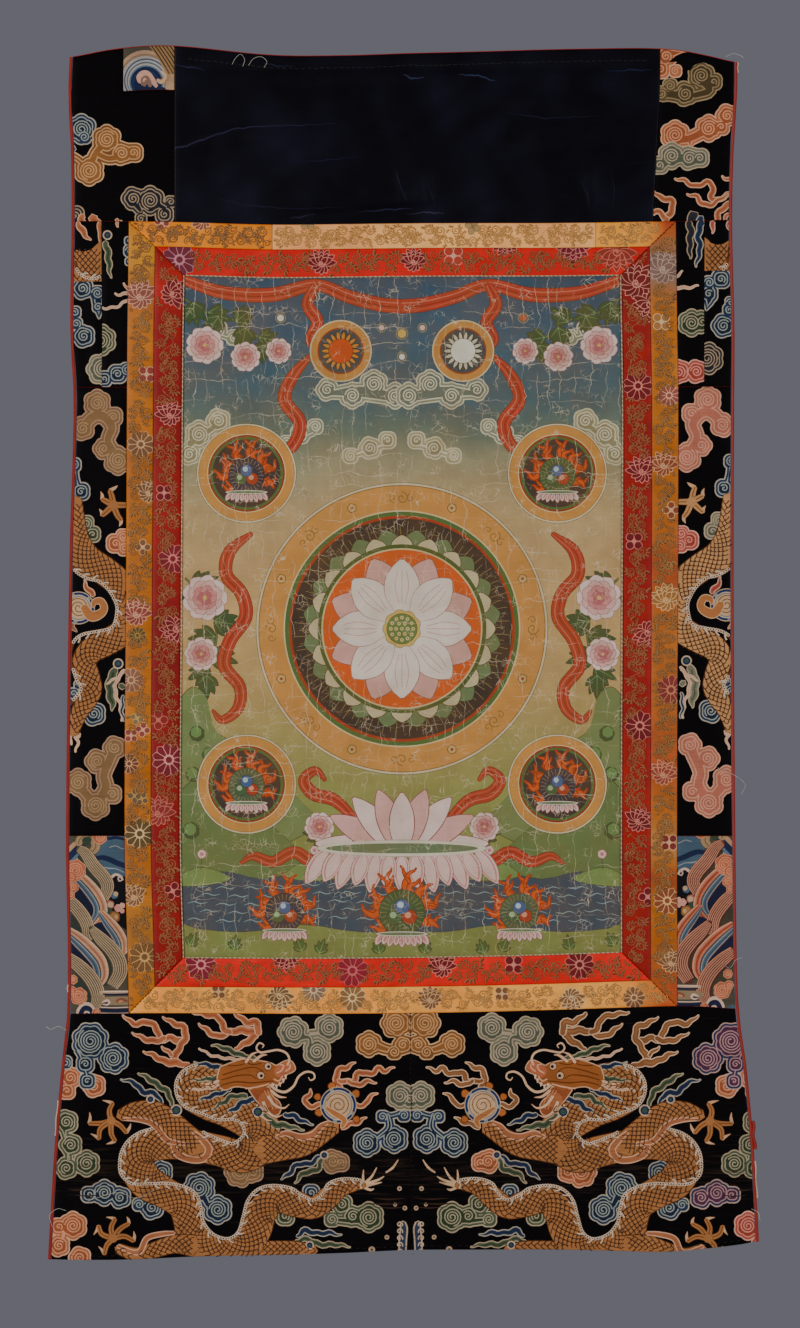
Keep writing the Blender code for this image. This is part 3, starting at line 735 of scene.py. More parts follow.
INNER_LEFT = {
    "clouds": (
        ("blue", ((-288, 193, 5.5), (-287, 203, 7.5), (-288, 214, 5)), ()),
        ("green", ((-317.5, 294.5, 16.5),), ()),
        ("blue", ((-314, 334.5, 9.5), (-300, 329.5, 11), (-290, 325.5, 9)), ()),
    ),
    "streaks": (
        ("green", ((-312, 194.5, 7), (-309.5, 206, 8), (-308.5, 218, 6.5), (-307, 231, 0.5))),
        ("cream", ((-316, 261, 1), (-309, 262, 2), (-299, 259.5, 2), (-289, 253, 2.5))),
        ("cream", ((-302.5, 246.5, 0.5), (-297, 248, 2), (-289, 246.5, 3))),
        ("coral", ((-293.5, 236, 0.5), (-290, 240.5, 2), (-288.5, 246.5, 3.5))),
        ("coral", ((-300, 174, 3), (-299, 177, 1.5), (-298.5, 178.5, 0.5))),
    ),
    "rings": ((-310, 187, 5),),
}
CLOUD_LEFT = {
    "clouds": (
        ("tan", ((-321, 359.5, 14.5), (-304.5, 373.5, 11), (-336, 385.5, 13), (-314.5, 406.5, 11.5),
         (-299.5, 418.5, 15.5)), (((-336, 384.5, 18), (-325, 373.5, 18), (-314, 373.5, 18),
         (-306, 384.5, 17), (-310, 398.5, 16), (-302, 414.5, 18)),)),
        ("blue", ((-345, 462.5, 8), (-345, 423, 8.5), (-338, 450.5, 10.5)), (((-344.5, 423, 9),
         (-342.5, 436.5, 7), (-340, 448.5, 10)),)),
        ("green", ((-332.5, 483, 9), (-326, 494.5, 9.5)), ()),
        ("coral", ((-302, 504, 11), (-294, 497, 9), (-293, 509.5, 8.5)), ()),
        ("blue", ((-324.5, 679.5, 13),), ()),
        ("blue", ((-345.5, 658.5, 6.5), (-340.5, 650, 5.5)), ()),
        ("tan", ((-322.5, 774, 15.5), (-305.5, 762.5, 11), (-340.5, 750, 14.5), (-321, 728.5, 13),
         (-303, 714.5, 12.5)), (((-303, 714.5, 19), (-307.5, 726, 17.5), (-314, 742.5, 17),
         (-312, 755.5, 17.5), (-320.5, 772, 19)), ((-340.5, 751, 19), (-332, 762.5, 17),
         (-322.5, 772, 17)))),
    ),
    "streaks": (
        ("green", ((-302, 634.5, 8.5), (-306.5, 643, 11.5), (-308.5, 654.5, 9.5), (-306, 667, 9),
         (-305, 676.5, 0.5))),
        ("cream", ((-294, 636.5, 2.5), (-301, 646, 2.5), (-302, 658.5, 2.5), (-298, 669, 2),
         (-295.5, 687, 0.5))),
        ("cream", ((-293, 634.5, 2), (-297, 639.5, 2.5), (-306.5, 646, 1.5), (-311.5, 648, 0.5))),
        ("green", ((-297, 650, 7), (-293.5, 651.5, 6.5))),
        ("blue", ((-294, 661, 2.5), (-295.5, 675.5, 3.5), (-293.5, 687, 1.5))),
        ("cream", ((-346.5, 699.5, 2), (-348.5, 706.5, 1.5), (-348, 711.5, 0.5))),
        ("cream", ((-343, 698.5, 2.5), (-340.5, 703, 2), (-338, 700.5, 0.5))),
        ("cream", ((-344, 700.5, 2.5), (-341, 708.5, 2), (-343, 719, 0.5))),
        ("cream", ((-347.5, 700.5, 2), (-349.5, 703, 1.5), (-351, 711, 0.5))),
        ("coral", ((-325.5, 558, 5), (-328.5, 553.5, 6.5), (-333.5, 547, 4), (-334.5, 541.5, 0.5))),
        ("tan", ((-347, 586, 6.5), (-345.5, 591.5, 4.5), (-343, 595.5, 0.5))),
    ),
    "body": ((-355, 461, 35.5), (-349, 492.5, 33.5), (-342.5, 507.5, 31.5), (-331, 521, 29.5),
     (-314, 532, 28.5), (-299.5, 544, 27.5), (-288, 561, 25), (-285.5, 576.5, 25), (-294, 594.5, 26),
     (-310.5, 605.5, 26), (-327.5, 614.5, 25), (-334.5, 627, 23.5), (-330.5, 642, 23.5),
     (-327.5, 654.5, 21.5), (-332, 666, 19.5), (-338.5, 676.5, 17), (-343, 688, 14), (-345.5, 699.5, 10.5)),
    "spine": ((-347.5, 527.5), (-340.5, 535), (-330, 540.5), (-319.5, 543), (-310, 551), (-304, 560.5),
     (-300.5, 570.5), (-302.5, 584.5), (-307, 591.5), (-319.5, 594.5), (-335, 597.5), (-344, 603.5),
     (-348.5, 614.5), (-347.5, 627), (-342.5, 643.5), (-337.5, 654), (-344.5, 664), (-349, 670)),
    "rings": ((-299.5, 628, 5.5),),
    "pearl": (-340.5, 570.5, 17),
    "hook": ((-335, 569.5, 7), (-327.5, 579, 9), (-318, 576.5, 8), (-314, 570.5, 6.5), (-317.5, 563.5, 6),
     (-324, 564.5, 5), (-325.5, 569.5, 1.5)),
    "claw": ((-304.5, 464.5, 9), ((-306, 455.5), (-308, 449.5), (-300, 444.5)), ((-312, 460.5),
     (-316, 458.5), (-317.5, 450.5)), ((-312, 471.5), (-316, 475), (-319, 468.5)), ((-300.5, 474.5),
     (-296.5, 480), (-298.5, 486.5)), ((-293.5, 464.5), (-289, 464.5), (-284.5, 462.5))),
}
OUTER_RIGHT = {
    "clouds": (
        ("blue", ((321, 232.5, 11), (309, 236, 8), (308.5, 247.5, 10.5)), (((309.5, 236, 14),
         (309, 252.5, 14.5), (306, 264.5, 3)),)),
        ("blue", ((329.5, 264.5, 8), (331, 256.5, 7), (323.5, 280.5, 13)), ()),
        ("dusk", ((307, 314, 17),), ()),
    ),
    "streaks": (
        ("rose", ((312.5, 174, 5.5), (313, 179, 5), (311.5, 185.5, 0.5))),
        ("rose", ((329.5, 174, 4), (328.5, 179, 2.5), (329.5, 183, 0.5))),
    ),
    "patch": ((302, 188), (307, 191.5), (310.5, 195.5), (317, 197.5), (323.5, 196.5), (328, 193.5),
     (334, 192), (334, 224), (302, 224)),
    "spine": ((330.5, 194), (329.5, 206), (328, 214), (326, 219), (322.5, 223.5)),
}
INNER_RIGHT = {
    "clouds": (
        ("green", ((302, 276.5, 12.5), (291, 277.5, 14.5)), ()),
        ("rose", ((278, 327.5, 13), (296, 327.5, 12.5)), ()),
    ),
    "streaks": (
        ("dusk", ((288.5, 174, 8), (290, 184, 9), (289, 195, 7.5), (289.5, 206, 4.5), (289, 211.5, 0.5))),
        ("blue", ((301.5, 174, 9), (297.5, 187, 7.5), (299.5, 200, 7), (297, 213, 4.5), (295, 220, 0.5))),
        ("cream", ((273, 230, 3), (278, 227.5, 2), (282, 224.5, 0.5))),
        ("cream", ((273, 240.5, 3.5), (283, 241.5, 3), (291, 240.5, 2), (298, 239.5, 0.5))),
    ),
}
NOTCHED = {
    "clouds": (
        ("blue", ((-336.5, 78.5, 16), (-333.5, 86.5, 8.5)), (((-344, 99, 7.5), (-349, 98, 7.5)),)),
        ("gold", ((-283, 102.5, 11), (-295, 103, 13), (-310.5, 89, 15.5), (-328.5, 121, 16)),
         (((-310.5, 90.5, 16.5), (-321.5, 103, 15), (-328.5, 119.5, 16.5)), ((-321.5, 103, 14),
         (-308.5, 108.5, 14), (-295, 105.5, 15)), ((-346.5, 106.5, 11.5), (-340, 110.5, 11.5),
         (-331.5, 118, 11.5)))),
        ("dusk", ((-283.5, 149.5, 12.5), (-245, 152.5, 7), (-275.5, 170, 7), (-266, 151.5, 15.5),
         (-251.5, 165.5, 10.5)), (((-283.5, 151, 16.5), (-276, 162, 12.5)), ((-266, 152, 15),
         (-250.5, 159.5, 12.5)))),
        ("dusk", ((-343.5, 167, 11),), ()),
    ),
    "streaks": (
        ("coral", ((-335, 167, 6.5), (-336.5, 173.5, 9), (-334, 180, 10), (-330, 186, 7.5))),
        ("coral", ((-325, 168.5, 11.5), (-321.5, 173.5, 10), (-317.5, 180, 9), (-315, 186, 7.5))),
        ("coral", ((-300, 171, 4), (-298.5, 175, 3), (-296, 173.5, 2), (-295, 172.5, 0.5))),
    ),
}
HEADING_BLOCK = {
    "clouds": (
        ("coral", ((265, 2.5, 12), (259, 16, 11), (274.5, 18, 7.5)), (((268.5, 0, 16), (283, -1.5, 8),
         (290.5, 0, 4)),)),
        ("olive", ((313.5, 29.5, 10), (269, 33, 8.5), (260, 41, 9), (301, 23, 14.5), (284.5, 41.5, 13.5)),
         (((301, 25, 19.5), (309, 38, 16), (293.5, 43.5, 14.5)), ((259, 44.5, 12), (269.5, 42, 16),
         (283, 44.5, 17)))),
        ("coral", ((327.5, 64.5, 12.5), (321, 76, 10), (308.5, 77.5, 14.5), (274, 84, 15.5)),
         (((274, 86.5, 19.5), (288, 88, 16), (309, 77.5, 17)), ((288, 86.5, 13), (289.5, 94.5, 10.5)))),
        ("sage", ((258, 115, 10.5), (299, 108, 11), (288.5, 108, 13), (270.5, 105.5, 14.5)),
         (((258, 117, 16), (270.5, 108, 18.5), (288.5, 109, 16)),)),
    ),
    "streaks": (
        ("coral", ((273.5, 129, 1), (283, 131, 4.5), (294.5, 137, 5.5), (306.5, 133, 6), (313, 138, 6.5),
         (310.5, 147, 7), (317, 152, 6), (327.5, 146, 5.5), (332.5, 148.5, 4))),
        ("coral", ((286, 145, 1), (296, 148, 5), (302.5, 155.5, 6), (311.5, 156, 5.5), (322, 149, 3.5),
         (329, 146, 1))),
        ("coral", ((251.5, 140.5, 1), (259, 148.5, 6.5), (269.5, 151, 7), (271.5, 159, 7.5),
         (265.5, 169.5, 8.5), (263, 175, 6.5))),
        ("coral", ((248.5, 164.5, 5.5), (255, 162.5, 6), (262, 167, 6.5), (265.5, 172, 7.5))),
        ("coral", ((331, 155, 7.5), (319.5, 163, 7), (316, 175, 6), (311.5, 186.5, 0.5))),
        ("coral", ((322, 126.5, 0.5), (326, 129.5, 3.5), (331, 131, 4))),
        ("coral", ((329, 166, 3), (326, 169.5, 4), (324, 176.5, 0.5))),
        ("dusk", ((294, 167, 16), (290.5, 175, 10.5), (294.5, 182.5, 12), (291.5, 193, 10.5))),
        ("blue", ((301, 169.5, 8), (298.5, 177.5, 8.5), (301, 185.5, 8), (300, 194.5, 8))),
    ),
    "tear": ((267.5, 9.5), (275, 2.5), (286.5, -1.5), (302.5, 1), (325, 5.5), (335.5, 10.5),
     (327.5, 11.5), (311.5, 12), (302.5, 9.5), (293.5, 12.5), (289.5, 17.5), (283, 16), (281, 11.5),
     (275, 8.5)),
}


def scaled(rows):
    """A length of a dragon's body, leg or tail, edged in brown."""
    return [(ribbon(rows, 0.9, 6), GILT_EDGE), (ribbon(rows, 0.0, 6), GILT)]


def claw(pad, *toes):
    """A five-toed foot: tapering toes with pale hooked nails."""
    edge, crease = "#502a0d", "#6b3c18"
    x, drop, size = pad
    art = []
    for knuckle, ball, tip in toes:
        toe = ((x, drop, size * 0.7), (*knuckle, size * 0.62), (*ball, size * 0.5))
        hook = ((ball[0] + tip[0]) / 2 + 0.8, (ball[1] + tip[1]) / 2, size * 0.34)
        nail = ((*ball, size * 0.42), hook, (*tip, 0.4))
        art += [(ribbon(toe, 0.5), edge), (ribbon(nail, 0.5), edge), (ribbon(nail), PALE),
                (ribbon(toe), GILT), (ribbon([(a, b, 0.9) for a, b, _ in toe]), crease)]
    return art + [(disc(x, drop, size * 0.55), GILT)]


def pearl(x, drop, r, tail):
    """A cream pearl in a blue ring, with a curl wound into it and a comma's tail that comes out of it."""
    art = [(disc(x, drop, r, per=48), "#ba9a79"), (disc(x, drop, r - 1.0, per=48), "#1f3159")]
    for angle in range(30, 390, 72):
        a, b = way_to(angle)
        spoke = ((x + (r - 5) * a, drop + (r - 5) * b, 4), (x + (r - 0.6) * a, drop + (r - 0.6) * b, 4))
        art.append((ribbon(spoke, rounded=False), "#89877b"))
    art += [(disc(x, drop, r - inset, per=40), paint)
            for inset, paint in ((3.4, "#c3a586"), (4.6, "#6a7579"), (5.6, "#c59f78"))]
    return art + [(curl(x, drop, r - 6.4, 2.4, 200, 1, 1.0), "#794f2c"),
                  (ribbon(tail, 0.9), "#cda47b"), (ribbon(tail), "#ab6b3c")]


def groove(row):
    """The dark groove that the knotted cord along a dragon's back lies in."""
    line = smooth(row, 8)
    return ribbon(np.column_stack([line, np.full(len(line), 3.4)]), per=1)


def ring(x, drop, r):
    """A small eye of pale, blue and green rings."""
    bands = ((0, "#bea180"), (1.5, "#1f2a4c"), (3.2, "#3a4f3e"))
    return [(disc(x, drop, r - inset), paint) for inset, paint in bands]


def brocade(motifs, mirror=None):
    """All that is woven on one length of the brocade, in painting order."""
    dyes = {} if mirror is None else MIRRORED_DYES
    art = [shape for dye, *rows in motifs["clouds"] for shape in cloud(*rows, dyes.get(dye, dye))]
    art += [shape for dye, rows in motifs["streaks"] for shape in streak(rows, dyes.get(dye, dye))]
    if "patch" in motifs:
        art.append((motifs["patch"], GILT))
    if "body" in motifs:
        art += scaled(motifs["body"])
    if "spine" in motifs:
        art.append((groove(motifs["spine"]), "#6a3a18"))
    if "pearl" in motifs:
        art += pearl(*motifs["pearl"], motifs["hook"])
    for spot in motifs.get("rings", ()):
        art += ring(*spot)
    if "claw" in motifs:
        art += claw(*motifs["claw"])
    if "tear" in motifs:
        art.append((closed(motifs["tear"]), "#070508"))
    return placed([(loop, dyes.get(paint, paint)) for loop, paint in art], mirror)


# A worn twill: matt black, with the brown of its rubbed warp in streaks, and the worked thread duller still.
black_brocade = silk("Black silk brocade", rib=1.0, relief=0.10, rough=(0.55, 0.62), mottle=0.12, streak=0.12,
                     wear="#171110", gloss=0.05)
BLOCKS = {  # seams: left, right, top, foot; the flat size; and what is woven
    "heading_block": (("heading_right", "right_side", "heading_top", "heading_foot"), (0.083, 0.176),
                      HEADING_BLOCK),
    "column_left_outer": (("left_side", "split_left", "heading_foot", "cloud_top"), (0.030, 0.170),
                          OUTER_LEFT),
    "column_left_inner": (("split_left", "gold_left", "heading_foot", "cloud_top"), (0.028, 0.170),
                          INNER_LEFT),
    "column_left_cloud": (("left_side", "gold_left", "cloud_top", "wave_top"), (0.057, 0.462), CLOUD_LEFT),
    "column_right_inner": (("gold_right", "split_right", "heading_foot", "cloud_top"), (0.029, 0.170),
                           INNER_RIGHT),
    "column_right_outer": (("split_right", "right_side", "heading_foot", "cloud_top"), (0.028, 0.170),
                           OUTER_RIGHT),
    "column_right_cloud": (("gold_right", "right_side", "cloud_top", "wave_top"), (0.056, 0.462), CLOUD_LEFT),
}
bounds = {name: panel(*seams) for name, (seams, _, _) in BLOCKS.items()}
for name, (_, _, motifs) in BLOCKS.items():
    woven = brocade(motifs, COLUMN_MIRROR if name == "column_right_cloud" else None)
    sheet(name, bounds[name], black_brocade, BLACK, woven)
notched = outline(("left_side", "heading_top", "heading_top"), ("scrap_left", "heading_top", "scrap_left"),
                  ("scrap_left", "scrap_foot", "scrap_foot"), ("heading_left", "scrap_foot", "heading_left"),
                  ("heading_left", "heading_foot", "heading_foot"),
                  ("left_side", "heading_foot", "left_side"))
sheet("heading_block_notched", notched, black_brocade, BLACK,
                                        brocade(NOTCHED))


def new_tree(title, *numbers):
    """A node tree that takes flat points or lines, some numbers and a finish, and gives threads."""
    tree = bpy.data.node_groups.new(title, "GeometryNodeTree")
    sockets = [("Flat", "Geometry"), *((number, "Float") for number in numbers), ("Finish", "Material")]
    for label, kind in sockets:
        tree.interface.new_socket(label, in_out="INPUT", socket_type=f"NodeSocket{kind}")
    tree.interface.new_socket("Threads", in_out="OUTPUT", socket_type="NodeSocketGeometry")
    return tree, add(tree, "NodeGroupInput")


def end_tree(tree, given, made):
    """Ends a node tree: real threads with their finish on."""
    real = add(tree, "GeometryNodeRealizeInstances", None, {0: made.outputs[0]})
    dressed = add(tree, "GeometryNodeSetMaterial", None,
                  {"Geometry": real.outputs[0], "Material": given.outputs["Finish"]})
    add(tree, "NodeGroupOutput", None, {0: dressed.outputs[0]})
    return tree


def points_tree(title, kind, sockets):
    """Node tree: a thread of the given curve at each point, turned and sized by the point's own values."""
    tree, given = new_tree(title, "Thread", "Tip")
    curve = add(tree, kind, None, sockets)
    along = add(tree, "GeometryNodeSplineParameter")
    taper = add(tree, "ShaderNodeMapRange", None,
                {0: along.outputs["Factor"], 3: 1.0, 4: given.outputs["Tip"]})
    tapered = add(tree, "GeometryNodeSetCurveRadius", None,
                  {"Curve": curve.outputs[0], "Radius": taper.outputs[0]})
    profile = add(tree, "GeometryNodeCurvePrimitiveCircle", None,
                  {"Resolution": 3, "Radius": given.outputs["Thread"]})
    unit = add(tree, "GeometryNodeCurveToMesh", None,
               {"Curve": tapered.outputs[0], "Profile Curve": profile.outputs[0], "Fill Caps": True})
    aim = add(tree, "GeometryNodeInputNamedAttribute", {"data_type": "FLOAT_VECTOR"}, {"Name": "aim"})
    span = add(tree, "GeometryNodeInputNamedAttribute", {"data_type": "FLOAT_VECTOR"}, {"Name": "span"})
    return end_tree(tree, given, add(tree, "GeometryNodeInstanceOnPoints", None, {
        "Points": given.outputs["Flat"], "Instance": unit.outputs[0],
        "Rotation": aim.outputs[0], "Scale": span.outputs[0]}))


def grown(name, tree, flat, edges, values, attributes, behind):
    """Runs a node tree on flat points or lines, x and drop in metres; hangs what it makes on the cloth."""
    mesh = bpy.data.meshes.new(name)
    mesh.from_pydata([(x, -drop, 0.0) for x, drop in flat], edges, [])
    for key, rows in attributes.items():
        layer = mesh.attributes.new(key, "FLOAT_VECTOR", "POINT")
        layer.data.foreach_set("vector", np.array(rows, np.float32).reshape(-1))
    piece = bpy.data.objects.new(name, mesh)
    bpy.context.scene.collection.objects.link(piece)
    modifier = piece.modifiers.new("Grown", "NODES")
    modifier.node_group = tree
    for item in tree.interface.items_tree:
        if item.in_out == "INPUT" and item.name in values:
            modifier[item.identifier] = values[item.name]
    graph = bpy.context.evaluated_depsgraph_get()
    made = bpy.data.meshes.new_from_object(piece.evaluated_get(graph), depsgraph=graph)
    piece.modifiers.clear()
    piece.data = made
    spots = np.empty(3 * len(made.vertices))
    made.vertices.foreach_get("co", spots)
    spots = spots.reshape(-1, 3)
    fronts = hung(spots[:, :2] * (1, -1), behind)
    fronts[:, 1] -= spots[:, 2]
    made.vertices.foreach_set("co", fronts.reshape(-1))
    made.update()
    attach(piece, "root")
    return piece


def sown(name, tree, spots, spans, finish, thick, tip=1.0, behind=-0.0006):
    """Threads at spots: rows of x, drop and the way they point, in mm, and 1 if turned over; spans in mm."""
    turn = np.arctan2(-spots[:, 3], spots[:, 2])
    aim = np.column_stack([math.pi * spots[:, 4], 0 * turn, turn])
    return grown(name, tree, spots[:, :2] * MM, [], {"Thread": thick, "Tip": tip, "Finish": finish},
                 {"aim": aim, "span": spans * MM}, behind)


def thread(name, shades, rough, pitch, twist=0.6):
    """A spun thread: fine bands of shade, from a slow noise and a wave of the twist's pitch in mm."""
    made = bpy.data.materials.new(name)
    made.use_nodes = True
    tree = made.node_tree
    shader = tree.nodes["Principled BSDF"]
    place = add(tree, "ShaderNodeTexCoord")
    mm = add(tree, "ShaderNodeVectorMath", {"operation": "SCALE"},
             {0: place.outputs["Object"], "Scale": 1 / MM})
    ply = add(tree, "ShaderNodeTexWave", {"bands_direction": "DIAGONAL"},
              {0: mm.outputs[0], "Scale": WAVE_BAND / pitch, "Distortion": 2.0, "Detail": 1.0})
    blotch = add(tree, "ShaderNodeTexNoise", None, {0: mm.outputs[0], "Scale": 0.06, "Detail": 4.0})
    share = add(tree, "ShaderNodeMath", {"operation": "MULTIPLY_ADD"},
                {0: ply.outputs["Fac"], 1: twist, 2: blotch.outputs[0]})
    share = add(tree, "ShaderNodeMapRange", None,
                {0: share.outputs[0], 1: 0.35, 2: 0.65 + twist, 3: 0.0, 4: 1.0})
    dyed = add(tree, "ShaderNodeMix", {"data_type": "RGBA"},
               {0: share.outputs[0], 6: colour(shades[0]), 7: colour(shades[1])})
    tree.links.new(dyed.outputs[2], shader.inputs["Base Color"])
    shader.inputs["Roughness"].default_value = rough
    shader.inputs["Specular IOR Level"].default_value = 0.3
    return made


def evened(values, window):
    """A running mean over `window` values."""
    return np.convolve(np.pad(values, window // 2, "edge"), np.ones(window) / window, "valid")


def stations(rows, gap, first=0.0):
    """Places each `gap` mm along a line: x, drop, the way along, the way left, any width, and the bend."""
    line = smooth(rows, 14)
    ahead, left = along(line)
    run = length_along(line)
    bend = evened(np.gradient(np.unwrap(np.arctan2(ahead[:, 1], ahead[:, 0])), run), 25)
    width = line[:, 2] if line.shape[1] > 2 else np.zeros(len(line))
    at = np.arange(first, run[-1], gap)
    return [np.interp(at, run, v) for v in (line[:, 0], line[:, 1], *ahead.T, *left.T, width, bend)]


def showing(spots, mirror, bound, covers):
    """The spots moved to their own side of the scroll, and which of them lie on this cloth and uncovered."""
    if mirror is not None:
        spots = spots * (-1, 1, -1, 1, 1) + (2 * mirror[0], mirror[1], 0, 0, 0)
        spots[:, 4] = 1 - spots[:, 4]
    shown = inside(spots[:, :2] * MM, drawn_in(bound, 0.0022))
    for cover in covers:
        shown &= ~inside(spots[:, :2] * MM, cover)
    return spots, shown


def scales(name, lengths, mirror, bound, covers):
    """The couched outlines of the scales on lengths of body, in staggered ranks; later lengths lie on top."""
    pitch = 5.9
    found, spans = [], []
    for number, rows in enumerate(lengths):
        over = [moved(ribbon(other, 0.6), mirror) for other in lengths[number + 1:]]
        spots, sizes = [], []
        for count, station in enumerate(zip(*stations(rows, 0.56 * pitch, 0.5 * pitch))):
            x, drop, dx, dd, nx, nd, width, bend = station
            most = int(width / pitch) + 1
            for rank in range(-most, most + 1):
                out = (rank + 0.5 * (count % 2)) * pitch
                if abs(out) < width / 2 - 0.9:
                    spots.append((x + nx * out, drop + nd * out, dx, dd, 0))
                    sizes.append((pitch * min(1.5, max(0.5, 1 - out * bend)), pitch, 5.0))
        spots, shown = showing(np.array(spots), mirror, bound, [*covers, *over])
        found.append(spots[shown])
        spans.append(np.array(sizes)[shown])
    return sown(f"{name}_scales", SCALES, np.concatenate(found), np.concatenate(spans), couching, 0.088)


def cords(name, lines, body, mirror, bound, covers):
    """The knotted cream cord along a dragon's back, with small flames that lean out from the body."""
    knot_pitch = 2.7
    knots, flames = [], []
    centre = smooth(body, 14)
    for rows in lines:
        x, drop, dx, dd, nx, nd, _, _ = stations(rows, knot_pitch)
        nearest = np.argmin(np.hypot(x[:, None] - centre[:, 0], drop[:, None] - centre[:, 1]), axis=1)
        outward = (x - centre[nearest, 0]) * nx + (drop - centre[nearest, 1]) * nd
        knots.append(np.column_stack([x, drop, dx, dd, (evened(outward, 7) > 0).astype(float)]))
        flames.append(knots[-1][2::4])
    made = []
    for label, tree, spots, size, thick, tip in (("knots", KNOTS, knots, (3.4, 3.2, 2.6), 0.23, 1.0),
                                                 ("flames", FLAMES, flames, (6.0, 6.0, 3.0), 0.22, 0.15)):
        spots, shown = showing(np.concatenate(spots), mirror, bound, covers)
        spots = spots[shown]
        made.append(sown(f"{name}_{label}", tree, spots, np.tile(size, (len(spots), 1)), cream_cord, thick,
                         tip))
    return made


BEZIER = "GeometryNodeCurveQuadraticBezier"
SCALES = points_tree("Scales", BEZIER, {
    "Resolution": 6, "Start": (-0.35, -0.52, 0.0), "Middle": (1.05, 0.0, 0.0), "End": (-0.35, 0.52, 0.0)})
KNOTS = points_tree("Knots", "GeometryNodeCurvePrimitiveCircle", {"Resolution": 7, "Radius": 0.42})
FLAMES = points_tree("Small flames", BEZIER, {
    "Resolution": 5, "Start": (0.0, 0.0, 0.0), "Middle": (0.1, -0.6, 0.0), "End": (0.75, -0.85, 0.0)})
couching = thread("Brown couching thread", ("#2a1206", "#4c2910"), 0.6, 1.4)  # dark, to part the gilt scales
cream_cord = thread("Cream silk cord", ("#b79b7c", "#ead0b4"), 0.6, 1.4)  # the palest line on the cloth

for side, mirror in (("left", None), ("right", COLUMN_MIRROR)):
    name, body, spine = f"column_{side}", CLOUD_LEFT["body"], CLOUD_LEFT["spine"]
    bound = bounds[f"{name}_cloud"]
    covers = [moved(shape, mirror) for shape in (groove(spine), disc(*CLOUD_LEFT["pearl"]))]
    scales(name, [body], mirror, bound, covers)
    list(cords(name, [spine], body, mirror, bound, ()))
for side, motifs in (("left", OUTER_LEFT), ("right", OUTER_RIGHT)):
    name, bound = f"patch_{side}", bounds[f"column_{side}_outer"]
    patch = np.array(motifs["patch"], float)
    middle, wide = (patch[:, 0].min() + patch[:, 0].max()) / 2, np.ptp(patch[:, 0])
    high, low = patch[:, 1].min() + 8, patch[:, 1].max()
    run = [(middle, drop, wide) for drop in (high, (high + low) / 2, low)]
    covers = [moved(groove(motifs["spine"]))]
    scales(name, [run], None, bound, covers)
    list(cords(name, [motifs["spine"]], run, None, bound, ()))

# ---- The wave brocade ----------------------------------------------------------------------------------
# The foot of another robe: standing waves in banded silks, foam, spray and the sea, as blocks at the foot of
# each column, and a scrap of it let into the left end of the heading.

WAVES = (  # band; its course and breadth; the hollow under it
    ("khaki", ((-340, 818.5, 7.5), (-333, 823.5, 12), (-324.5, 836.5, 14), (-314.5, 848, 14.5),
     (-310.5, 858, 14), (-315, 869.5, 11.5)), ((-341, 826), (-333.5, 825), (-328.5, 836.5), (-320.5, 848),
     (-317, 858), (-322, 866), (-331, 855.5), (-338.5, 843))),
    ("cream", ((-344, 844.5, 11.5), (-335, 852, 14), (-324.5, 864, 15.5), (-318, 876, 14.5),
     (-318, 886.5, 14), (-325, 896.5, 10)), ((-345.5, 853), (-336, 855.5), (-327, 868.5), (-323.5, 882.5),
     (-328.5, 894), (-340, 884), (-349, 872.5))),
    ("cream", ((-317, 884, 7.5), (-309, 894, 12), (-301, 904.5, 13.5), (-296, 914.5, 13),
     (-295, 926, 10)), ((-324.5, 896.5), (-314.5, 894), (-304, 904.5), (-297.5, 914.5), (-297.5, 927.5),
     (-310.5, 919.5), (-322, 908))),
    ("khaki", ((-351.5, 871, 13), (-342.5, 879.5, 14.5), (-334, 891, 14.5), (-330.5, 901.5, 13.5),
     (-331.5, 914.5, 10)), ((-351.5, 884), (-341, 891.5), (-335, 903), (-337.5, 912), (-350, 904.5))),
    ("khaki", ((-326.5, 900.5, 7.5), (-318, 910.5, 13.5), (-306.5, 922, 15.5), (-299, 934, 16),
     (-298, 946.5, 15.5), (-305.5, 959.5, 13)), ((-329.5, 913.5), (-320.5, 912), (-309, 926), (-304, 939),
     (-305.5, 954.5), (-314.5, 959.5), (-317, 941.5), (-324.5, 928.5))),
    ("cream", ((-351.5, 903, 10), (-340, 912, 14.5), (-328.5, 923, 16), (-319, 935, 16), (-316, 948, 14),
     (-319.5, 958, 9)), ((-351.5, 913.5), (-338.5, 919.5), (-326, 932.5), (-320.5, 944), (-322, 951.5),
     (-336, 941.5), (-351.5, 931))),
    ("khaki", ((-351.5, 930, 11.5), (-340, 939, 14.5), (-329, 950, 15.5), (-322, 962, 15.5),
     (-320.5, 972, 14), (-324.5, 983.5, 9)), ((-346.5, 946.5), (-336, 950.5), (-327, 960.5),
     (-324.5, 969.5), (-329.5, 978.5), (-338.5, 967), (-346.5, 960.5))),
)
SEA = ((-327, 804.5), (-287.5, 804.5), (-287.5, 848), (-305.5, 845.5), (-315.5, 840), (-320.5, 827.5))
SEA_BANDS = (
    ((-317, 806.5, 2), (-308, 808, 3), (-301.5, 807, 3), (-290, 809.5, 2.5)),
    ((-323.5, 828.5, 4), (-315.5, 827.5, 5), (-308, 829.5, 5.5), (-301.5, 832.5, 5.5), (-290, 837, 5)),
    ((-308, 817, 1), (-301.5, 815.5, 1), (-295, 818.5, 1), (-290, 817, 1)),
    ((-317, 836.5, 1), (-309, 838.5, 1.5), (-301.5, 839, 1), (-292.5, 843, 1)),
)
NIGHT = ((-313, 871), (-308, 852), (-304, 845.5), (-287.5, 848), (-287.5, 904.5), (-299, 896.5),
 (-310.5, 884))
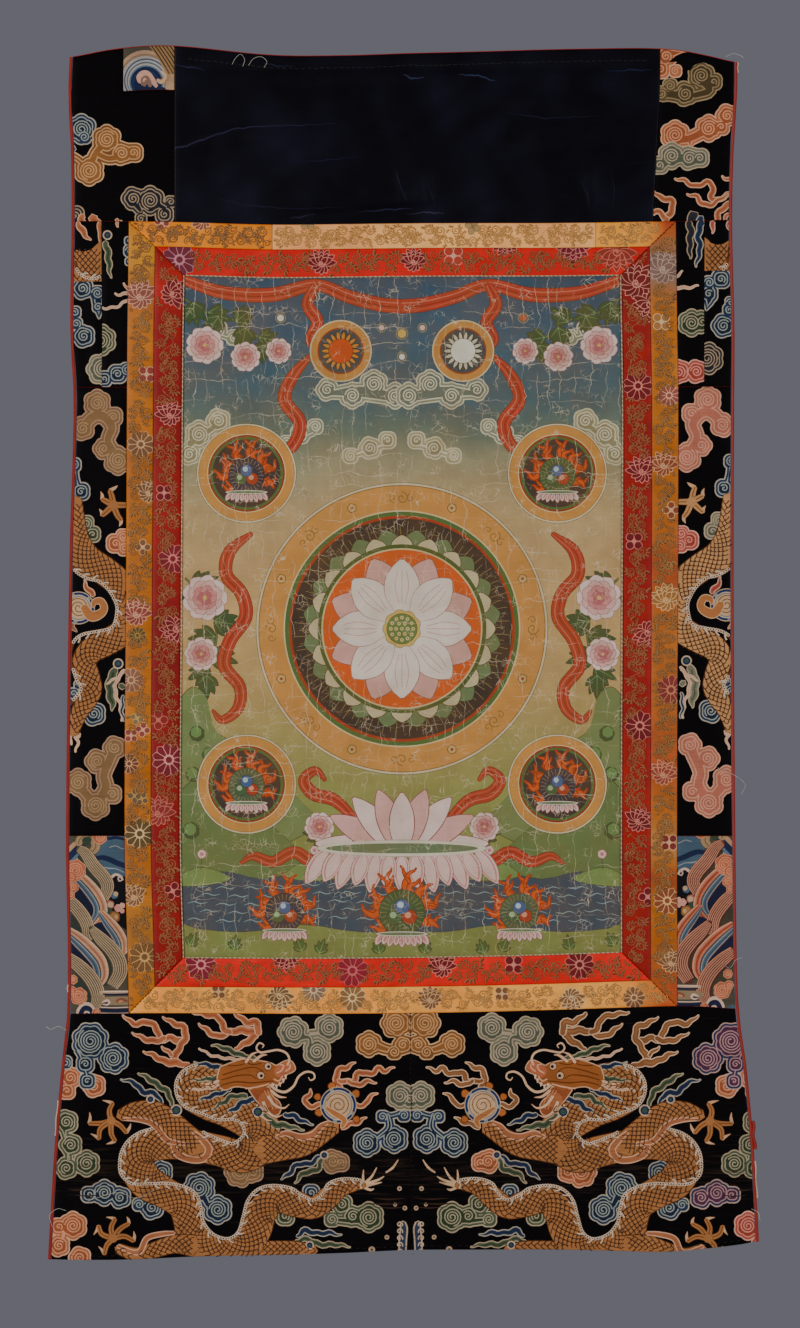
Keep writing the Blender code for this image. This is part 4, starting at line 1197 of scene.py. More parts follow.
FOAM = ((-308, 852, 2), (-306, 848, 3), (-301.5, 845, 2.5), (-296.5, 847, 2.5), (-294.5, 850.5, 2))
FOAM_CURL = ((-296.5, 847, 2), (-299, 848.5, 1.5), (-298, 851.5, 1.5), (-295.5, 851, 1))
SPRAY = (  # x, drop, radius, dye
    (-303, 866, 4, "#495b6a"),
    (-301.5, 865, 2.5, "#b99976"),
    (-307.5, 876, 4.5, "#a05f4a"),
    (-307, 876, 3, "#c19675"),
    (-309, 882.5, 4, "#364332"),
    (-299, 879.5, 4, "#c88a79"),
    (-295, 877, 3, "#d19685"),
    (-295, 882.5, 2.5, "#c88a79"),
    (-303, 888.5, 6, "#754a28"),
    (-303, 888.5, 4.5, "#9d6c3f"),
    (-301, 888.5, 2, "#bf8f5f"),
    (-308, 858, 3.5, "#394e5c"),
)
TOP_CURL = ((-340, 813.5, 7.5), (-338, 808, 7.5), (-331.5, 805, 7.5), (-324.5, 808, 9), (-322, 816, 9),
 (-325.5, 821.5, 7.5))
TOP_CURL_HEART = ((-331.5, 813.5, 6.5), (-333.5, 809.5, 5.5), (-329, 808.5, 4.5), (-328.5, 812, 2.5))
CORAL_SPIRALS = ((-343, 840.5, 11), (-347.5, 848, 6.5), (-345.5, 858, 6), (-348, 866, 4.5), (-339.5, 970, 9),
                 (-346.5, 964.5, 5), (-345.5, 953, 5), (-318, 806.5, 7.5), (-321.5, 987, 4.5))
SIDE_BANDS = (
    ("#1b2341", ((-351.5, 832.5, 7.5), (-345, 822.5, 9), (-338.5, 817, 6.5), (-333.5, 815.5, 2.5))),
    ("#586974", ((-351.5, 836.5, 3.5), (-344, 828.5, 3.5), (-337.5, 821.5, 3), (-332.5, 819, 1.5))),
    ("#cdaa91", ((-351.5, 839, 1.5), (-343, 831.5, 1.5), (-336, 823.5, 1.5), (-331.5, 820.5, 0.5))),
    ("#b08562", ((-351.5, 821.5, 4), (-345, 814.5, 4.5), (-340, 811, 3.5))),
)
FOOT_BANDS = (
    ("#ac8b6d", ((-317, 966.5, 4), (-303, 966.5, 4.5), (-287.5, 966.5, 4.5))),
    ("#1c1e37", ((-314.5, 968, 1.5), (-303, 968.5, 2), (-287.5, 968, 2))),
    ("#d8b5a3", ((-314.5, 965.5, 1), (-303, 965.5, 1), (-287.5, 965.5, 1))),
    ("#887255", ((-318, 975, 7.5), (-303, 975, 9), (-287.5, 975, 9))),
    ("#d5ad99", ((-315, 976.5, 2), (-310.5, 974.5, 2.5), (-308, 976.5, 2), (-310.5, 979, 1.5),
     (-314.5, 978.5, 1))),
    ("#1a1b33", ((-314.5, 977, 1), (-310.5, 977, 1.5), (-309, 977, 0.5))),
    ("#834b37", ((-300, 975.5, 4), (-295, 973.5, 3.5), (-290, 975.5, 2))),
    ("#c87e58", ((-298.5, 976, 2), (-295, 975, 2))),
    ("#d8b5a3", ((-317, 981.5, 1), (-303, 982, 1), (-287.5, 981.5, 1))),
    ("#1c1e37", ((-317, 984.5, 3), (-303, 985, 3.5), (-287.5, 985, 3.5))),
    ("#d8b5a3", ((-317, 987.5, 1), (-303, 988, 1), (-287.5, 987.5, 1))),
    ("#475862", ((-351.5, 986.5, 5), (-345, 989, 5), (-317, 990, 4), (-287.5, 990.5, 3))),
    ("#ceaa92", ((-340, 991.5, 3), (-340, 985, 3.5), (-335, 978.5, 3.5), (-328.5, 978.5, 3.5),
     (-324, 983.5, 3))),
    ("#1a1e39", ((-337.5, 991.5, 4.5), (-337, 986.5, 4.5), (-333.5, 982, 4.5), (-328.5, 983, 4.5),
     (-325.5, 987.5, 3.5))),
    ("#d5b19c", ((-328.5, 989, 1.5), (-329.5, 986.5, 1.5), (-333, 986.5, 1.5), (-333, 989.5, 1),
     (-330.5, 990, 1))),
)
SCRAP_DISCS = (
    (-271, 26, 29.5, "#ab8669"),
    (-271, 26.5, 26.5, "#886c51"),
    (-271, 27, 24.5, "#a1978e"),
    (-270, 28, 23, "#3b4f60"),
    (-270, 28, 21.5, "#a1978e"),
    (-270, 28.5, 20, "#475b69"),
    (-270, 29, 19, "#a1978e"),
    (-270, 29.5, 17.5, "#566873"),
    (-270, 29.5, 16, "#182241"),
    (-270.5, 31, 14, "#203051"),
    (-270.5, 31.5, 12.5, "#182241"),
)
SCRAP_STROKES = (
    ("#ce9a83", ((-276, 29.5, 5), (-277, 24.5, 6.5), (-273.5, 20.5, 6), (-268.5, 21.5, 6.5),
     (-263.5, 28, 6), (-259.5, 34, 3.5))),
    ("#836454", ((-272, 32, 6.5), (-273, 27, 5.5), (-270, 24.5, 4), (-267.5, 28.5, 4.5), (-266, 33.5, 4))),
    ("#ce9a83", ((-273, 29, 2), (-272, 26, 2), (-270.5, 27, 1.5))),
    ("#b08c68", ((-242, -10.5, 10), (-242, 0.5, 15), (-242, 23.5, 14), (-245.5, 38.5, 11.5))),
    ("#a1805f", ((-255.5, -3, 6.5), (-252, 8.5, 7.5), (-248, 18.5, 7.5), (-250.5, 27, 6.5),
     (-255.5, 29, 5))),
    ("#cea580", ((-258.5, 27, 3.5), (-255.5, 29.5, 3.5), (-252, 27, 3), (-250.5, 22, 2.5),
     (-254.5, 18.5, 2))),
    ("#563d24", ((-253.5, 25, 1), (-254.5, 25.5, 1), (-255, 24.5, 1))),
    ("#bb9670", ((-245.5, 33.5, 7.5), (-242, 35, 9))),
    ("#1e273e", ((-258.5, 35.5, 4), (-253, 36, 3), (-250.5, 36.5, 1.5))),
)
SCRAP_STRIPES = (
    ((-266.5, -10.5, 1.5), (-259.5, -0.5, 1.5), (-252, 11, 1.5), (-246.5, 20.5, 1)),
    ((-262.5, -10.5, 1.5), (-255.5, -0.5, 1.5), (-248, 11, 1.5), (-242.5, 20.5, 1)),
    ((-259, -10.5, 1.5), (-252, -0.5, 1.5), (-244.5, 11, 1.5), (-238.5, 20.5, 1)),
    ((-255, -10.5, 1.5), (-248, -0.5, 1.5), (-240.5, 11, 1.5), (-235, 20.5, 1)),
    ((-251.5, -10.5, 1.5), (-244.5, -0.5, 1.5), (-237, 11, 1.5), (-231, 20.5, 1)),
    ((-247.5, -10.5, 1.5), (-240.5, -0.5, 1.5), (-233, 11, 1.5), (-227.5, 20.5, 1)),
    ((-243.5, -10.5, 1.5), (-237, -0.5, 1.5), (-229, 11, 1.5), (-223.5, 20.5, 1)),
)
WAVE_DYES = {  # edge, ground, lines, lip, hollow of each band
    "khaki": ("#292219", "#4f4535", "#ab8f6e", "#b8946f", "#30382e"),
    "cream": ("#372720", "#ba8e6b", "#a16449", "#cea483", "#14192f"),
}
ROSY_WAVE_DYES = {
    "khaki": ("#301b15", "#5f2f26", "#bb8064", "#c5805f", "#42392b"),
    "cream": ("#3c1e17", "#b67052", "#983d29", "#d19070", "#191b33"),
}


def beside(rows, share, width):
    """A line beside a band's middle: `share` of the band's breadth away from it, and `width` of it wide."""
    line = smooth(rows)
    _, left = along(line)
    return np.column_stack([line[:, :2] + left * line[:, 2:3] * share, line[:, 2] * width])


def wave(kind, rows, hollow, dyes):
    """One standing wave: a hollow, and over it a banded crest with woven lines along it."""
    edge, ground, lines, lip, under = dyes[kind]
    if kind == "khaki":
        strokes = [*((share, 0.075, lines) for share in (-0.33, -0.19, -0.05, 0.09, 0.23, 0.37)),
                   (-0.46, 0.09, lip)]
    else:
        strokes = [(0.27, 0.42, "#4b5d6a"), (-0.20, 0.15, lines), (-0.44, 0.10, lip), (0.05, 0.05, "#372726"),
                   (0.16, 0.05, "#9d9388"), (0.34, 0.05, "#28394c"), (0.44, 0.05, "#838382")]
    return [(closed(hollow), under), (ribbon(rows, 0.45), edge), (ribbon(rows), ground),
            *((ribbon(beside(rows, share, width), per=1), paint) for share, width, paint in strokes)]


def wave_block(dyes, mirror=None):
    """Sea and spray at the top, standing waves through the middle, and level water at the foot."""
    art = [(SEA, "#425664"), (NIGHT, "#0c090d")]
    art += [(ribbon(rows), "#1a223f" if rows[1][2] > 2 else "#888887") for rows in SEA_BANDS]
    art += [(ribbon(FOAM), "#ceac95"), (ribbon(FOAM_CURL), "#bda089")]
    art += [(disc(x, drop, r, 5), paint) for x, drop, r, paint in SPRAY]
    art += [(ribbon(rows), paint) for paint, rows in SIDE_BANDS]
    art += [(ribbon(TOP_CURL, 0.4), "#463422"), (ribbon(TOP_CURL), "#9d7d5a"),
            (ribbon(beside(TOP_CURL, 0, 0.12), per=1), "#654f36"), (ribbon(TOP_CURL_HEART), "#304230")]
    for row in WAVES:
        art += wave(*row, dyes)
    art += [(ribbon(rows), paint) for paint, rows in FOOT_BANDS]
    for number, (x, drop, r) in enumerate(CORAL_SPIRALS):
        art += [(disc(x, drop, r, 7), "#c08362"), (disc(x, drop, r - 0.9, 7), "#b05d3e"),
                (curl(x, drop, r - 1.8, max(1.0, r / 3.4), 80 * number, 1, 1.1), "#ce8a67")]
    return placed(art, mirror)


def wave_scrap():
    """Bands of a breaking wave about a curl, with the slanting stripes of deep water over its corner."""
    art = [(disc(x, drop, r, per=48), paint) for x, drop, r, paint in SCRAP_DISCS]
    art += [(ribbon(rows), paint) for paint, rows in SCRAP_STROKES]
    for rows in SCRAP_STRIPES:
        art += [(ribbon(rows, 1.2), "#946f46"), (ribbon(rows, -0.1), "#3c3021")]
    return placed(art)


# Banded weave: matt, and ribbed across the bands.
wave_brocade = silk("Wave brocade", rib=0.9, relief=0.12, rough=(0.62, 0.62), mottle=0.12, streak=0.14)
WAVE_MIRROR = (-8.6, -6.0)
for name, seams, flat, art in (
        ("column_left_wave", ("left_side", "gold_left", "wave_top", "skirt_top"), (0.060, 0.184),
         wave_block(WAVE_DYES)),
        ("column_right_wave", ("gold_right", "right_side", "wave_top", "skirt_top"), (0.060, 0.180),
         wave_block(ROSY_WAVE_DYES, WAVE_MIRROR)),
        ("wave_scrap", ("scrap_left", "heading_left", "heading_top", "scrap_foot"), (0.052, 0.045),
         wave_scrap())):
    block = sheet(name, panel(*seams), wave_brocade, "#4b4437", art, step=4.0)

# ---- The skirt -----------------------------------------------------------------------------------------
# Two lengths of a dragon robe's brocade, one the mirror of the other, seamed down the middle: a scaled
# dragon after a flaming pearl, among clouds. Its gilt wefts are couched, and a knotted cream cord runs down
# its back.

SKIRT_CLOUDS = (
    ("coral", ((-348, 1053.5, 12), (-351.5, 1067, 10), (-323.5, 1062, 12.5)), ()),
    ("blue", ((-353, 1038, 8), (-332.5, 1039.5, 10.5), (-330.5, 1057, 9.5), (-304, 1034, 16.5),
              (-327.5, 1016, 19.5)), (((-340, 1025.5, 10), (-336.5, 1034, 8), (-330, 1053.5, 8)),)),
    ("green", ((-352, 1099, 13), (-347.5, 1122.5, 12.5), (-331, 1141.5, 14), (-352, 1146.5, 12)),
     (((-354.5, 1106, 11.5), (-351.5, 1121, 8), (-349.5, 1137.5, 10)),)),
    ("blue", ((-328.5, 1173.5, 9.5), (-313, 1172, 14), (-297, 1177, 12)), ()),
    ("blue", ((-264.5, 1188, 13), (-277.5, 1184.5, 8)), ()),
    ("coral", ((-359.5, 1206.5, 10), (-345, 1205.5, 15), (-359.5, 1226, 12), (-338, 1238.5, 12)),
     (((-354.5, 1213, 10), (-356.5, 1223, 10)),)),
    ("blue", ((-254.5, 1151.5, 12),), ()),
    ("blue", ((-216, 1168.5, 17), (-197, 1191, 15.5)), (((-215, 1170.5, 15), (-207, 1186.5, 13)),)),
    ("tan", ((-174, 1152, 16.5), (-161, 1152, 12)), ()),
    ("sage", ((-94.5, 1027.5, 15), (-119, 1007.5, 16.5), (-82, 1003, 15.5)),
     (((-112, 1012.5, 15), (-102, 1014, 11.5), (-102, 1027.5, 13)),
      ((-102, 1009.5, 10), (-85.5, 1007.5, 10)))),
    ("gold", ((-41, 1019.5, 14), (-15, 1027.5, 9), (-6, 1020, 11.5), (-13, 998, 16.5), (11.5, 999.5, 15)),
     (((-36, 1020, 15), (-20, 1025.5, 13), (-5, 1022.5, 13)),)),
    ("blue", ((-27, 1094, 7.5), (-5, 1092.5, 8), (-43, 1121, 15), (-15, 1117, 15)),
     (((1, 1083, 10), (-11.5, 1091.5, 8), (-26.5, 1094.5, 8)),
      ((-21.5, 1091.5, 10), (-20, 1106, 11.5), (-31.5, 1116, 10)))),
    ("sage", ((-9, 1072.5, 15), (1, 1076.5, 11.5)), ()),
    ("tan", ((-70.5, 1141.5, 10.5), (-78, 1140.5, 13)), ()),
    ("green", ((-79, 1200, 9), (-69, 1184.5, 12), (-57.5, 1196.5, 12), (-41, 1197.5, 16)),
     (((-79, 1200, 11.5), (-59, 1201.5, 13), (-43, 1201.5, 13)),)),
    ("green", ((-127.5, 1197.5, 11),), ()),
    ("blue", ((-100.5, 1173, 10),), ()),
)
SKIRT_STREAKS = (
    ("coral", ((-294.5, 989.5, 1), (-282.5, 998.5, 7), (-267.5, 997, 7.5), (-258.5, 1006, 8), (-256, 1015, 7),
               (-244.5, 1013.5, 8), (-235, 1017.5, 10))),
    ("coral", ((-285, 1007.5, 0.5), (-272.5, 1014, 6.5), (-262.5, 1016.5, 7.5), (-251, 1014, 6.5))),
    ("coral", ((-253.5, 991.5, 0.5), (-243, 998, 7), (-231.5, 1003, 8), (-230.5, 1014, 8.5),
               (-236.5, 1024, 8), (-241.5, 1034, 9.5), (-244.5, 1039.5, 8))),
    ("coral", ((-273.5, 1027, 0.5), (-262.5, 1031.5, 6.5), (-253, 1037, 8), (-241.5, 1039, 10),
               (-226.5, 1041.5, 3.5))),
    ("coral", ((-254.5, 1022, 0.5), (-250.5, 1025.5, 4), (-244, 1031.5, 4.5))),
    ("coral", ((-216.5, 998.5, 0.5), (-207.5, 1006, 6.5), (-197, 1012, 7.5), (-184, 1007.5, 8),
               (-169, 1006, 10), (-157.5, 1009.5, 9), (-166, 1017.5, 9), (-179, 1025.5, 3.5))),
    ("coral", ((-223.5, 987, 1.5), (-208.5, 989.5, 7), (-195.5, 993, 7.5), (-191, 1003, 8),
               (-184, 1008.5, 7))),
    ("coral", ((-179, 988, 3.5), (-167.5, 997, 8), (-156, 998.5, 9), (-156, 1009.5, 8))),
    ("coral", ((-70.5, 1067, 6.5), (-75, 1053.5, 7.5), (-70.5, 1045.5, 6.5), (-62.5, 1043, 5.5),
               (-55, 1038, 0.5))),
    ("coral", ((-72.5, 1057, 5), (-57.5, 1058, 7), (-51, 1048.5, 7), (-39.5, 1050.5, 6.5), (-31.5, 1044.5, 6),
               (-24, 1047, 5), (-14.5, 1043, 0.5))),
    ("coral", ((-62.5, 1057, 5), (-52.5, 1062, 6), (-44.5, 1058, 5.5), (-33, 1059, 0.5))),
    ("coral", ((-89.5, 1081.5, 5), (-102, 1084, 6), (-107, 1078.5, 6), (-102.5, 1071.5, 5),
               (-100.5, 1066, 0.5))),
    ("coral", ((-54.5, 1081.5, 5), (-46, 1083, 5.5), (-41, 1075, 5.5), (-32, 1069.5, 0.5))),
    ("coral", ((-69, 1105.5, 5), (-59, 1101.5, 5.5), (-51, 1099.5, 5), (-43.5, 1094.5, 0.5))),
    ("green", ((-244, 1083, 4), (-248, 1070, 7.5), (-258, 1062.5, 7.5), (-267.5, 1055.5, 7),
               (-278.5, 1049, 0.5))),
    ("blue", ((-254.5, 1081, 3.5), (-261, 1071, 7), (-274, 1068.5, 7.5), (-282.5, 1059.5, 6.5),
              (-296.5, 1055.5, 0.5))),
    ("blue", ((-92, 1135, 4), (-102, 1143, 7), (-115, 1144, 6.5), (-123.5, 1154, 6), (-132, 1159, 0.5))),
    ("green", ((-89.5, 1138.5, 5), (-94.5, 1149, 7), (-108.5, 1153, 7), (-117.5, 1163.5, 1))),
    ("blue", ((-115, 1218, 3.5), (-107, 1212, 7.5), (-95.5, 1214.5, 6.5), (-82, 1214, 6),
              (-69, 1216.5, 0.5))),
    ("green", ((-116.5, 1223, 3.5), (-105, 1221, 7), (-92, 1226, 7), (-75.5, 1226, 6), (-60, 1228, 0.5))),
)
SKIRT_BODY = (
    (-184, 1055.5, 24.5), (-203.5, 1053.5, 28), (-221.5, 1055.5, 29.5), (-225, 1070, 30.5),
    (-208.5, 1083, 28), (-185.5, 1091.5, 29.5), (-157.5, 1103, 41), (-152, 1121, 39.5), (-170.5, 1136, 33),
    (-195.5, 1130, 31), (-221.5, 1124.5, 31), (-248, 1122.5, 31), (-271, 1126, 33), (-281, 1140.5, 33.5),
    (-271, 1160.5, 34.5), (-253, 1172, 31), (-233, 1185, 31), (-226.5, 1203, 30.5), (-223.5, 1218, 31),
    (-210, 1231, 29.5), (-190.5, 1237, 29.5), (-169, 1229.5, 30.5), (-157.5, 1211.5, 31), (-152.5, 1195, 31),
    (-138, 1180, 26.5), (-118, 1184, 26.5), (-98.5, 1188.5, 21.5), (-82, 1177, 21.5), (-69, 1167.5, 16.5),
    (-53, 1164.5, 10.5), (-46, 1165.5, 6),
)
SKIRT_LIMBS = (
    ((-216.5, 1126, 24.5), (-230, 1114.5, 24.5), (-246.5, 1099.5, 23), (-262.5, 1090, 22),
     (-281, 1087.5, 16.5), (-297, 1093, 11.5)),
    ((-151, 1129, 29.5), (-131.5, 1127.5, 24.5), (-110, 1124.5, 21.5), (-92, 1114.5, 18), (-76.5, 1104, 15)),
    ((-221.5, 1228, 21.5), (-241.5, 1226, 18), (-264.5, 1232.5, 15), (-281, 1236, 13), (-299, 1229.5, 10)),
    ((-174, 1232.5, 18), (-151, 1232, 16.5), (-118.5, 1231, 15), (-97, 1232.5, 10)),
)
SKIRT_SPINES = (
    ((-192, 1042), (-205, 1041), (-221.5, 1042), (-233, 1048.5), (-239.5, 1059.5), (-238.5, 1073.5),
     (-230, 1085), (-213.5, 1091.5), (-197, 1098), (-180.5, 1098), (-171, 1104.5), (-170.5, 1114.5),
     (-180.5, 1122.5), (-190.5, 1120.5), (-207, 1113.5), (-212.5, 1110.5)),
    ((-264.5, 1107), (-277.5, 1111), (-289, 1119.5), (-296, 1132.5), (-297, 1149), (-292.5, 1157.5),
     (-284, 1163), (-267.5, 1163.5), (-248, 1163.5), (-230, 1167.5), (-218.5, 1176), (-214.5, 1188.5),
     (-212, 1203), (-202, 1216), (-187, 1221), (-176, 1214.5), (-170.5, 1198), (-166, 1182), (-156, 1170.5),
     (-141, 1166), (-121.5, 1168.5), (-111.5, 1175), (-98.5, 1180.5), (-88.5, 1173.5), (-82.5, 1163.5),
     (-69, 1158.5), (-52.5, 1159), (-47.5, 1162)),
)
SKIRT_FRINGES = (
    ((-293, 1096.5, 1.5), (-277.5, 1097.5, 3.5), (-264.5, 1101.5, 4.5), (-256, 1110.5, 5),
     (-248, 1119.5, 4.5), (-230, 1123, 1.5)),
    ((-243, 1124.5, 4), (-238, 1133.5, 5.5), (-225, 1139, 5.5), (-212, 1138.5, 5.5), (-206, 1129, 6),
     (-212, 1119.5, 5), (-221.5, 1111, 2.5)),
    ((-136.5, 1116, 1.5), (-126.5, 1112, 4.5), (-112, 1115.5, 5.5), (-98.5, 1113, 5.5), (-90.5, 1104.5, 4.5),
     (-82, 1099.5, 1.5)),
    ((-299, 1227, 2.5), (-284, 1233.5, 3.5), (-276, 1232, 4.5), (-269.5, 1219.5, 4.5), (-254.5, 1215.5, 4),
     (-242, 1214.5, 2.5)),
)
CLAWS = (  # each toe from the pad: a knuckle, the ball of the toe, and the tip of its nail
    ((-306, 1098, 8), ((-315.5, 1100.5), (-328.5, 1100.5), (-328, 1089)),
     ((-308, 1088), (-304.5, 1080), (-315, 1077)), ((-317, 1106), (-318.5, 1116.5), (-327, 1111)),
     ((-306, 1111), (-302, 1119), (-311, 1122)), ((-297, 1103), (-290.5, 1110.5), (-286, 1101))),
    ((-304, 1219, 8), ((-315.5, 1214.5), (-319, 1206), (-324, 1215)),
     ((-306, 1208), (-302, 1199), (-311, 1197)), ((-297, 1209.5), (-288, 1204), (-290, 1197)),
     ((-292.5, 1217), (-283, 1222), (-283, 1212)), ((-310.5, 1226), (-313, 1235), (-319, 1227))),
)
SKULL = ((-194, 1044), (-181, 1039), (-169.5, 1036), (-158, 1037), (-148.5, 1038.5), (-141, 1040.5),
         (-136.5, 1042.5), (-129, 1038.5), (-122.5, 1037), (-118.5, 1041.5), (-117.5, 1046), (-121.5, 1049),
         (-126, 1051), (-129, 1057), (-135, 1062), (-141, 1060.5), (-145.5, 1063.5), (-154.5, 1067.5),
         (-166, 1065), (-179, 1063.5), (-190.5, 1067), (-197, 1057))
JAW = ((-164.5, 1067), (-153, 1065.5), (-144, 1065), (-141, 1073.5), (-135, 1078.5), (-132, 1085),
       (-135, 1092.5), (-143, 1091.5), (-150.5, 1085), (-158, 1076.5))
SNOUT = ((-136, 1043), (-129, 1039.5), (-122.5, 1038), (-119, 1042), (-118.5, 1045.5), (-123, 1048.5),
         (-127.5, 1050.5), (-132, 1054.5), (-137.5, 1052), (-138.5, 1047))
WHISKERS = (
    ((-125, 1041.5, 2), (-123, 1035.5, 2), (-126.5, 1029, 2), (-135, 1026, 2), (-144.5, 1027.5, 2),
     (-153, 1028.5, 2), (-157, 1024, 1.6), (-154, 1019, 1.6), (-149.5, 1021, 1.2), (-151, 1024, 0.6)),
    ((-142, 1063, 2.5), (-135, 1068, 2.5), (-126.5, 1069, 2.5), (-118.5, 1063, 2.2), (-113.5, 1053.5, 2),
     (-106, 1048.5, 2), (-98.5, 1049.5, 1.7), (-97, 1054.5, 1.6), (-101, 1057, 1.2), (-103.5, 1054, 0.6)),
)
MANE = (
    ("blue", ((-180.5, 1048, 6.5), (-195.5, 1044.5, 6.5), (-207, 1041.5, 6), (-221.5, 1039, 0.5))),
    ("green", ((-179, 1055.5, 6.5), (-192, 1053.5, 6.5), (-205, 1056, 6), (-225, 1057.5, 0.5))),
    ("cream", ((-180.5, 1060, 5.5), (-195.5, 1062, 3), (-208.5, 1066, 2.5), (-230, 1067, 0.5))),
    ("blue", ((-184, 1067, 5), (-195.5, 1071, 6), (-205, 1074, 6), (-217.5, 1078.5, 0.5))),
    ("green", ((-167.5, 1074, 6), (-182, 1074, 6.5), (-190.5, 1080, 6), (-203.5, 1088, 0.5))),
    ("blue", ((-157.5, 1076.5, 6.5), (-170.5, 1080, 7), (-179, 1086.5, 6.5), (-188, 1091, 0.5))),
    ("green", ((-157.5, 1035.5, 5), (-175.5, 1030.5, 6.5), (-190.5, 1024, 6), (-203.5, 1021, 0.5))),
    ("cream", ((-167.5, 1037, 4.5), (-185.5, 1035, 2.5), (-203.5, 1031.5, 2), (-216, 1024, 0.5))),
    ("green", ((-148.5, 1093, 6.5), (-139.5, 1102, 9), (-125, 1104.5, 7.5), (-107.5, 1108.5, 0.5))),
    ("blue", ((-128, 1092.5, 5.5), (-118.5, 1094, 7), (-110, 1099, 6), (-98, 1102.5, 0.5))),
)
RINGS = ((-239.5, 1088, 6), (-155.5, 1090, 6), (-87, 1134, 4.5), (-266, 1076.5, 4.5), (-102, 1227, 4.5))
PEARL = (-72.5, 1082.5, 19)
PEARL_TAIL = ((-84.5, 1085.5, 2.5), (-75.5, 1091.5, 5), (-66.5, 1097.5, 5), (-68.5, 1104.5, 3))
PEARL_KNOBS = ((-79, 1063, 4.5), (-54.5, 1070.5, 4.5), (-94, 1074, 4), (-92.5, 1090, 4.5), (-54, 1097, 4))
FOAM_DOTS = ((-9.5, 1168, 2.5), (-4, 1188, 2.5), (-14, 1184.5, 2), (-22.5, 1218, 2.5), (-38, 1231, 3.5))
TAIL_HAIRS = (
    ((-47, 1162, 2.5), (-47, 1155.5, 1.6), (-46.5, 1149, 0.5)),
    ((-44.5, 1162, 2.5), (-38, 1155.5, 1.8), (-33, 1146.5, 0.5)),
    ((-43, 1163, 2.5), (-31.5, 1159, 1.8), (-25.5, 1155.5, 0.5)),
    ((-23.5, 1151.5, 1), (-16.5, 1146.5, 1.8), (-11, 1138.5, 0.5)),
    ((-44.5, 1165.5, 2.5), (-36, 1163.5, 1.8), (-28, 1161.5, 0.5)),
    ((-46, 1167, 2.5), (-39.5, 1169.5, 1.8), (-36, 1168.5, 0.5)),
)


FACE_LINES = (  # brown creases, then pale lines on the snout and cheek: paint, and rows of x, drop, width
    ("#683514", (
        ((-192, 1052, 1.2), (-176, 1047, 1.4), (-160, 1044, 1.2), (-150, 1048, 1)),
        ((-193, 1057, 1.2), (-178, 1053, 1.4), (-164, 1052, 1.2), (-157, 1056, 1)),
        ((-192, 1062, 1.2), (-178, 1059, 1.6), (-162, 1060, 1.4), (-150, 1059, 1.2), (-140, 1058, 1)),
        ((-172, 1037, 1.2), (-162, 1041, 1.4), (-152, 1040, 1.2)),
        ((-186, 1042, 1.0), (-176, 1042, 1.2), (-168, 1040, 1.0)))),
    ("#d9a07d", (
        ((-136, 1050, 1.4), (-131, 1047, 1.6), (-129, 1042, 1.4), (-133, 1041, 1)),
        ((-127, 1048, 1.4), (-123, 1045, 1.4), (-122, 1041, 1.2)),
        ((-139, 1056, 1.4), (-134, 1058, 1.6), (-130, 1053, 1.2)),
        ((-168, 1066, 1.4), (-155, 1064, 1.6), (-144, 1061, 1.4)))),
)
TUFTS = (  # of beard, brow and ear
    ((-156, 1083, 3.4), (-153, 1092, 2.6), (-147, 1098, 1.8), (-141, 1099, 0.5)),
    ((-150, 1080, 3.6), (-145, 1090, 2.8), (-137, 1095, 1.8), (-130, 1093, 0.5)),
    ((-145, 1074, 3.4), (-138, 1083, 2.8), (-129, 1086, 1.8), (-123, 1082, 0.5)),
    ((-142, 1068, 3.0), (-134, 1074, 2.4), (-126, 1075, 0.5)),
    ((-160, 1038, 3.0), (-152, 1032, 2.4), (-146, 1031, 0.5)),
    ((-168, 1039, 3.0), (-162, 1031, 2.4), (-155, 1028, 0.5)),
    ((-196, 1058, 3.0), (-206, 1061, 2.4), (-216, 1060, 0.5)),
)
CHIN, EYES = ((-143, 1067), (-138, 1076), (-134, 1086)), ((-145, 1043, 3.5), (-152.5, 1052.5, 3.7))
TEETH = ((-140, 1061), (-136.5, 1062.5), (-133, 1060), (-129.5, 1056), (-127, 1052))


def dragon_head():
    """The head, drawn over its mane: jaw, skull, snout, creases, eyes, tufts, teeth and whiskers."""
    art = [(ribbon([(x, drop, 2.4) for x, drop in (*rows, rows[0])], per=3), PALE) for rows in (SKULL, JAW)]
    art += [(closed(JAW), "#8f4a2a"), (disc(-147, 1078, 8), "#a5603a")]
    for shift in (0, 3.2, 6.4):
        art.append((ribbon([(x - shift * 0.9, drop + shift * 0.2, 1.0) for x, drop in CHIN]), "#c18257"))
    art += [(closed(SKULL), "#975629"), (closed(SNOUT), "#b26342")]
    art += [(ribbon(rows), paint) for paint, lines in FACE_LINES for rows in lines]
    for x, drop, r in EYES:
        art += [(disc(x, drop, r + 0.8, 7), GILT_EDGE), (disc(x, drop, r), "#c99f7c"),
                (disc(x + 0.6, drop + 0.2, 1.6), "#1f120a")]
    for rows in TUFTS:
        art += [(ribbon(rows, 0.5), "#6a3115"), (ribbon(rows), "#d5ab86")]
    art += [(ribbon(((x, drop, 2.6), (x + 0.7, drop + 4, 0.4))), "#dfbb9f") for x, drop in TEETH]
    return art + [(ribbon(rows, 0.1, 8), "#d5ab86") for rows in WHISKERS]


CREST = ((-6.5, 1234, 6.5), (-6, 1219.5, 7), (-5, 1209.5, 6.5), (-6, 1203, 4.5))
WORN_LINES = ((-20, 1178, 34), (-26, 1183, 40), (-18, 1187, 28), (-330, 1174, 26), (-340, 1168, 20))


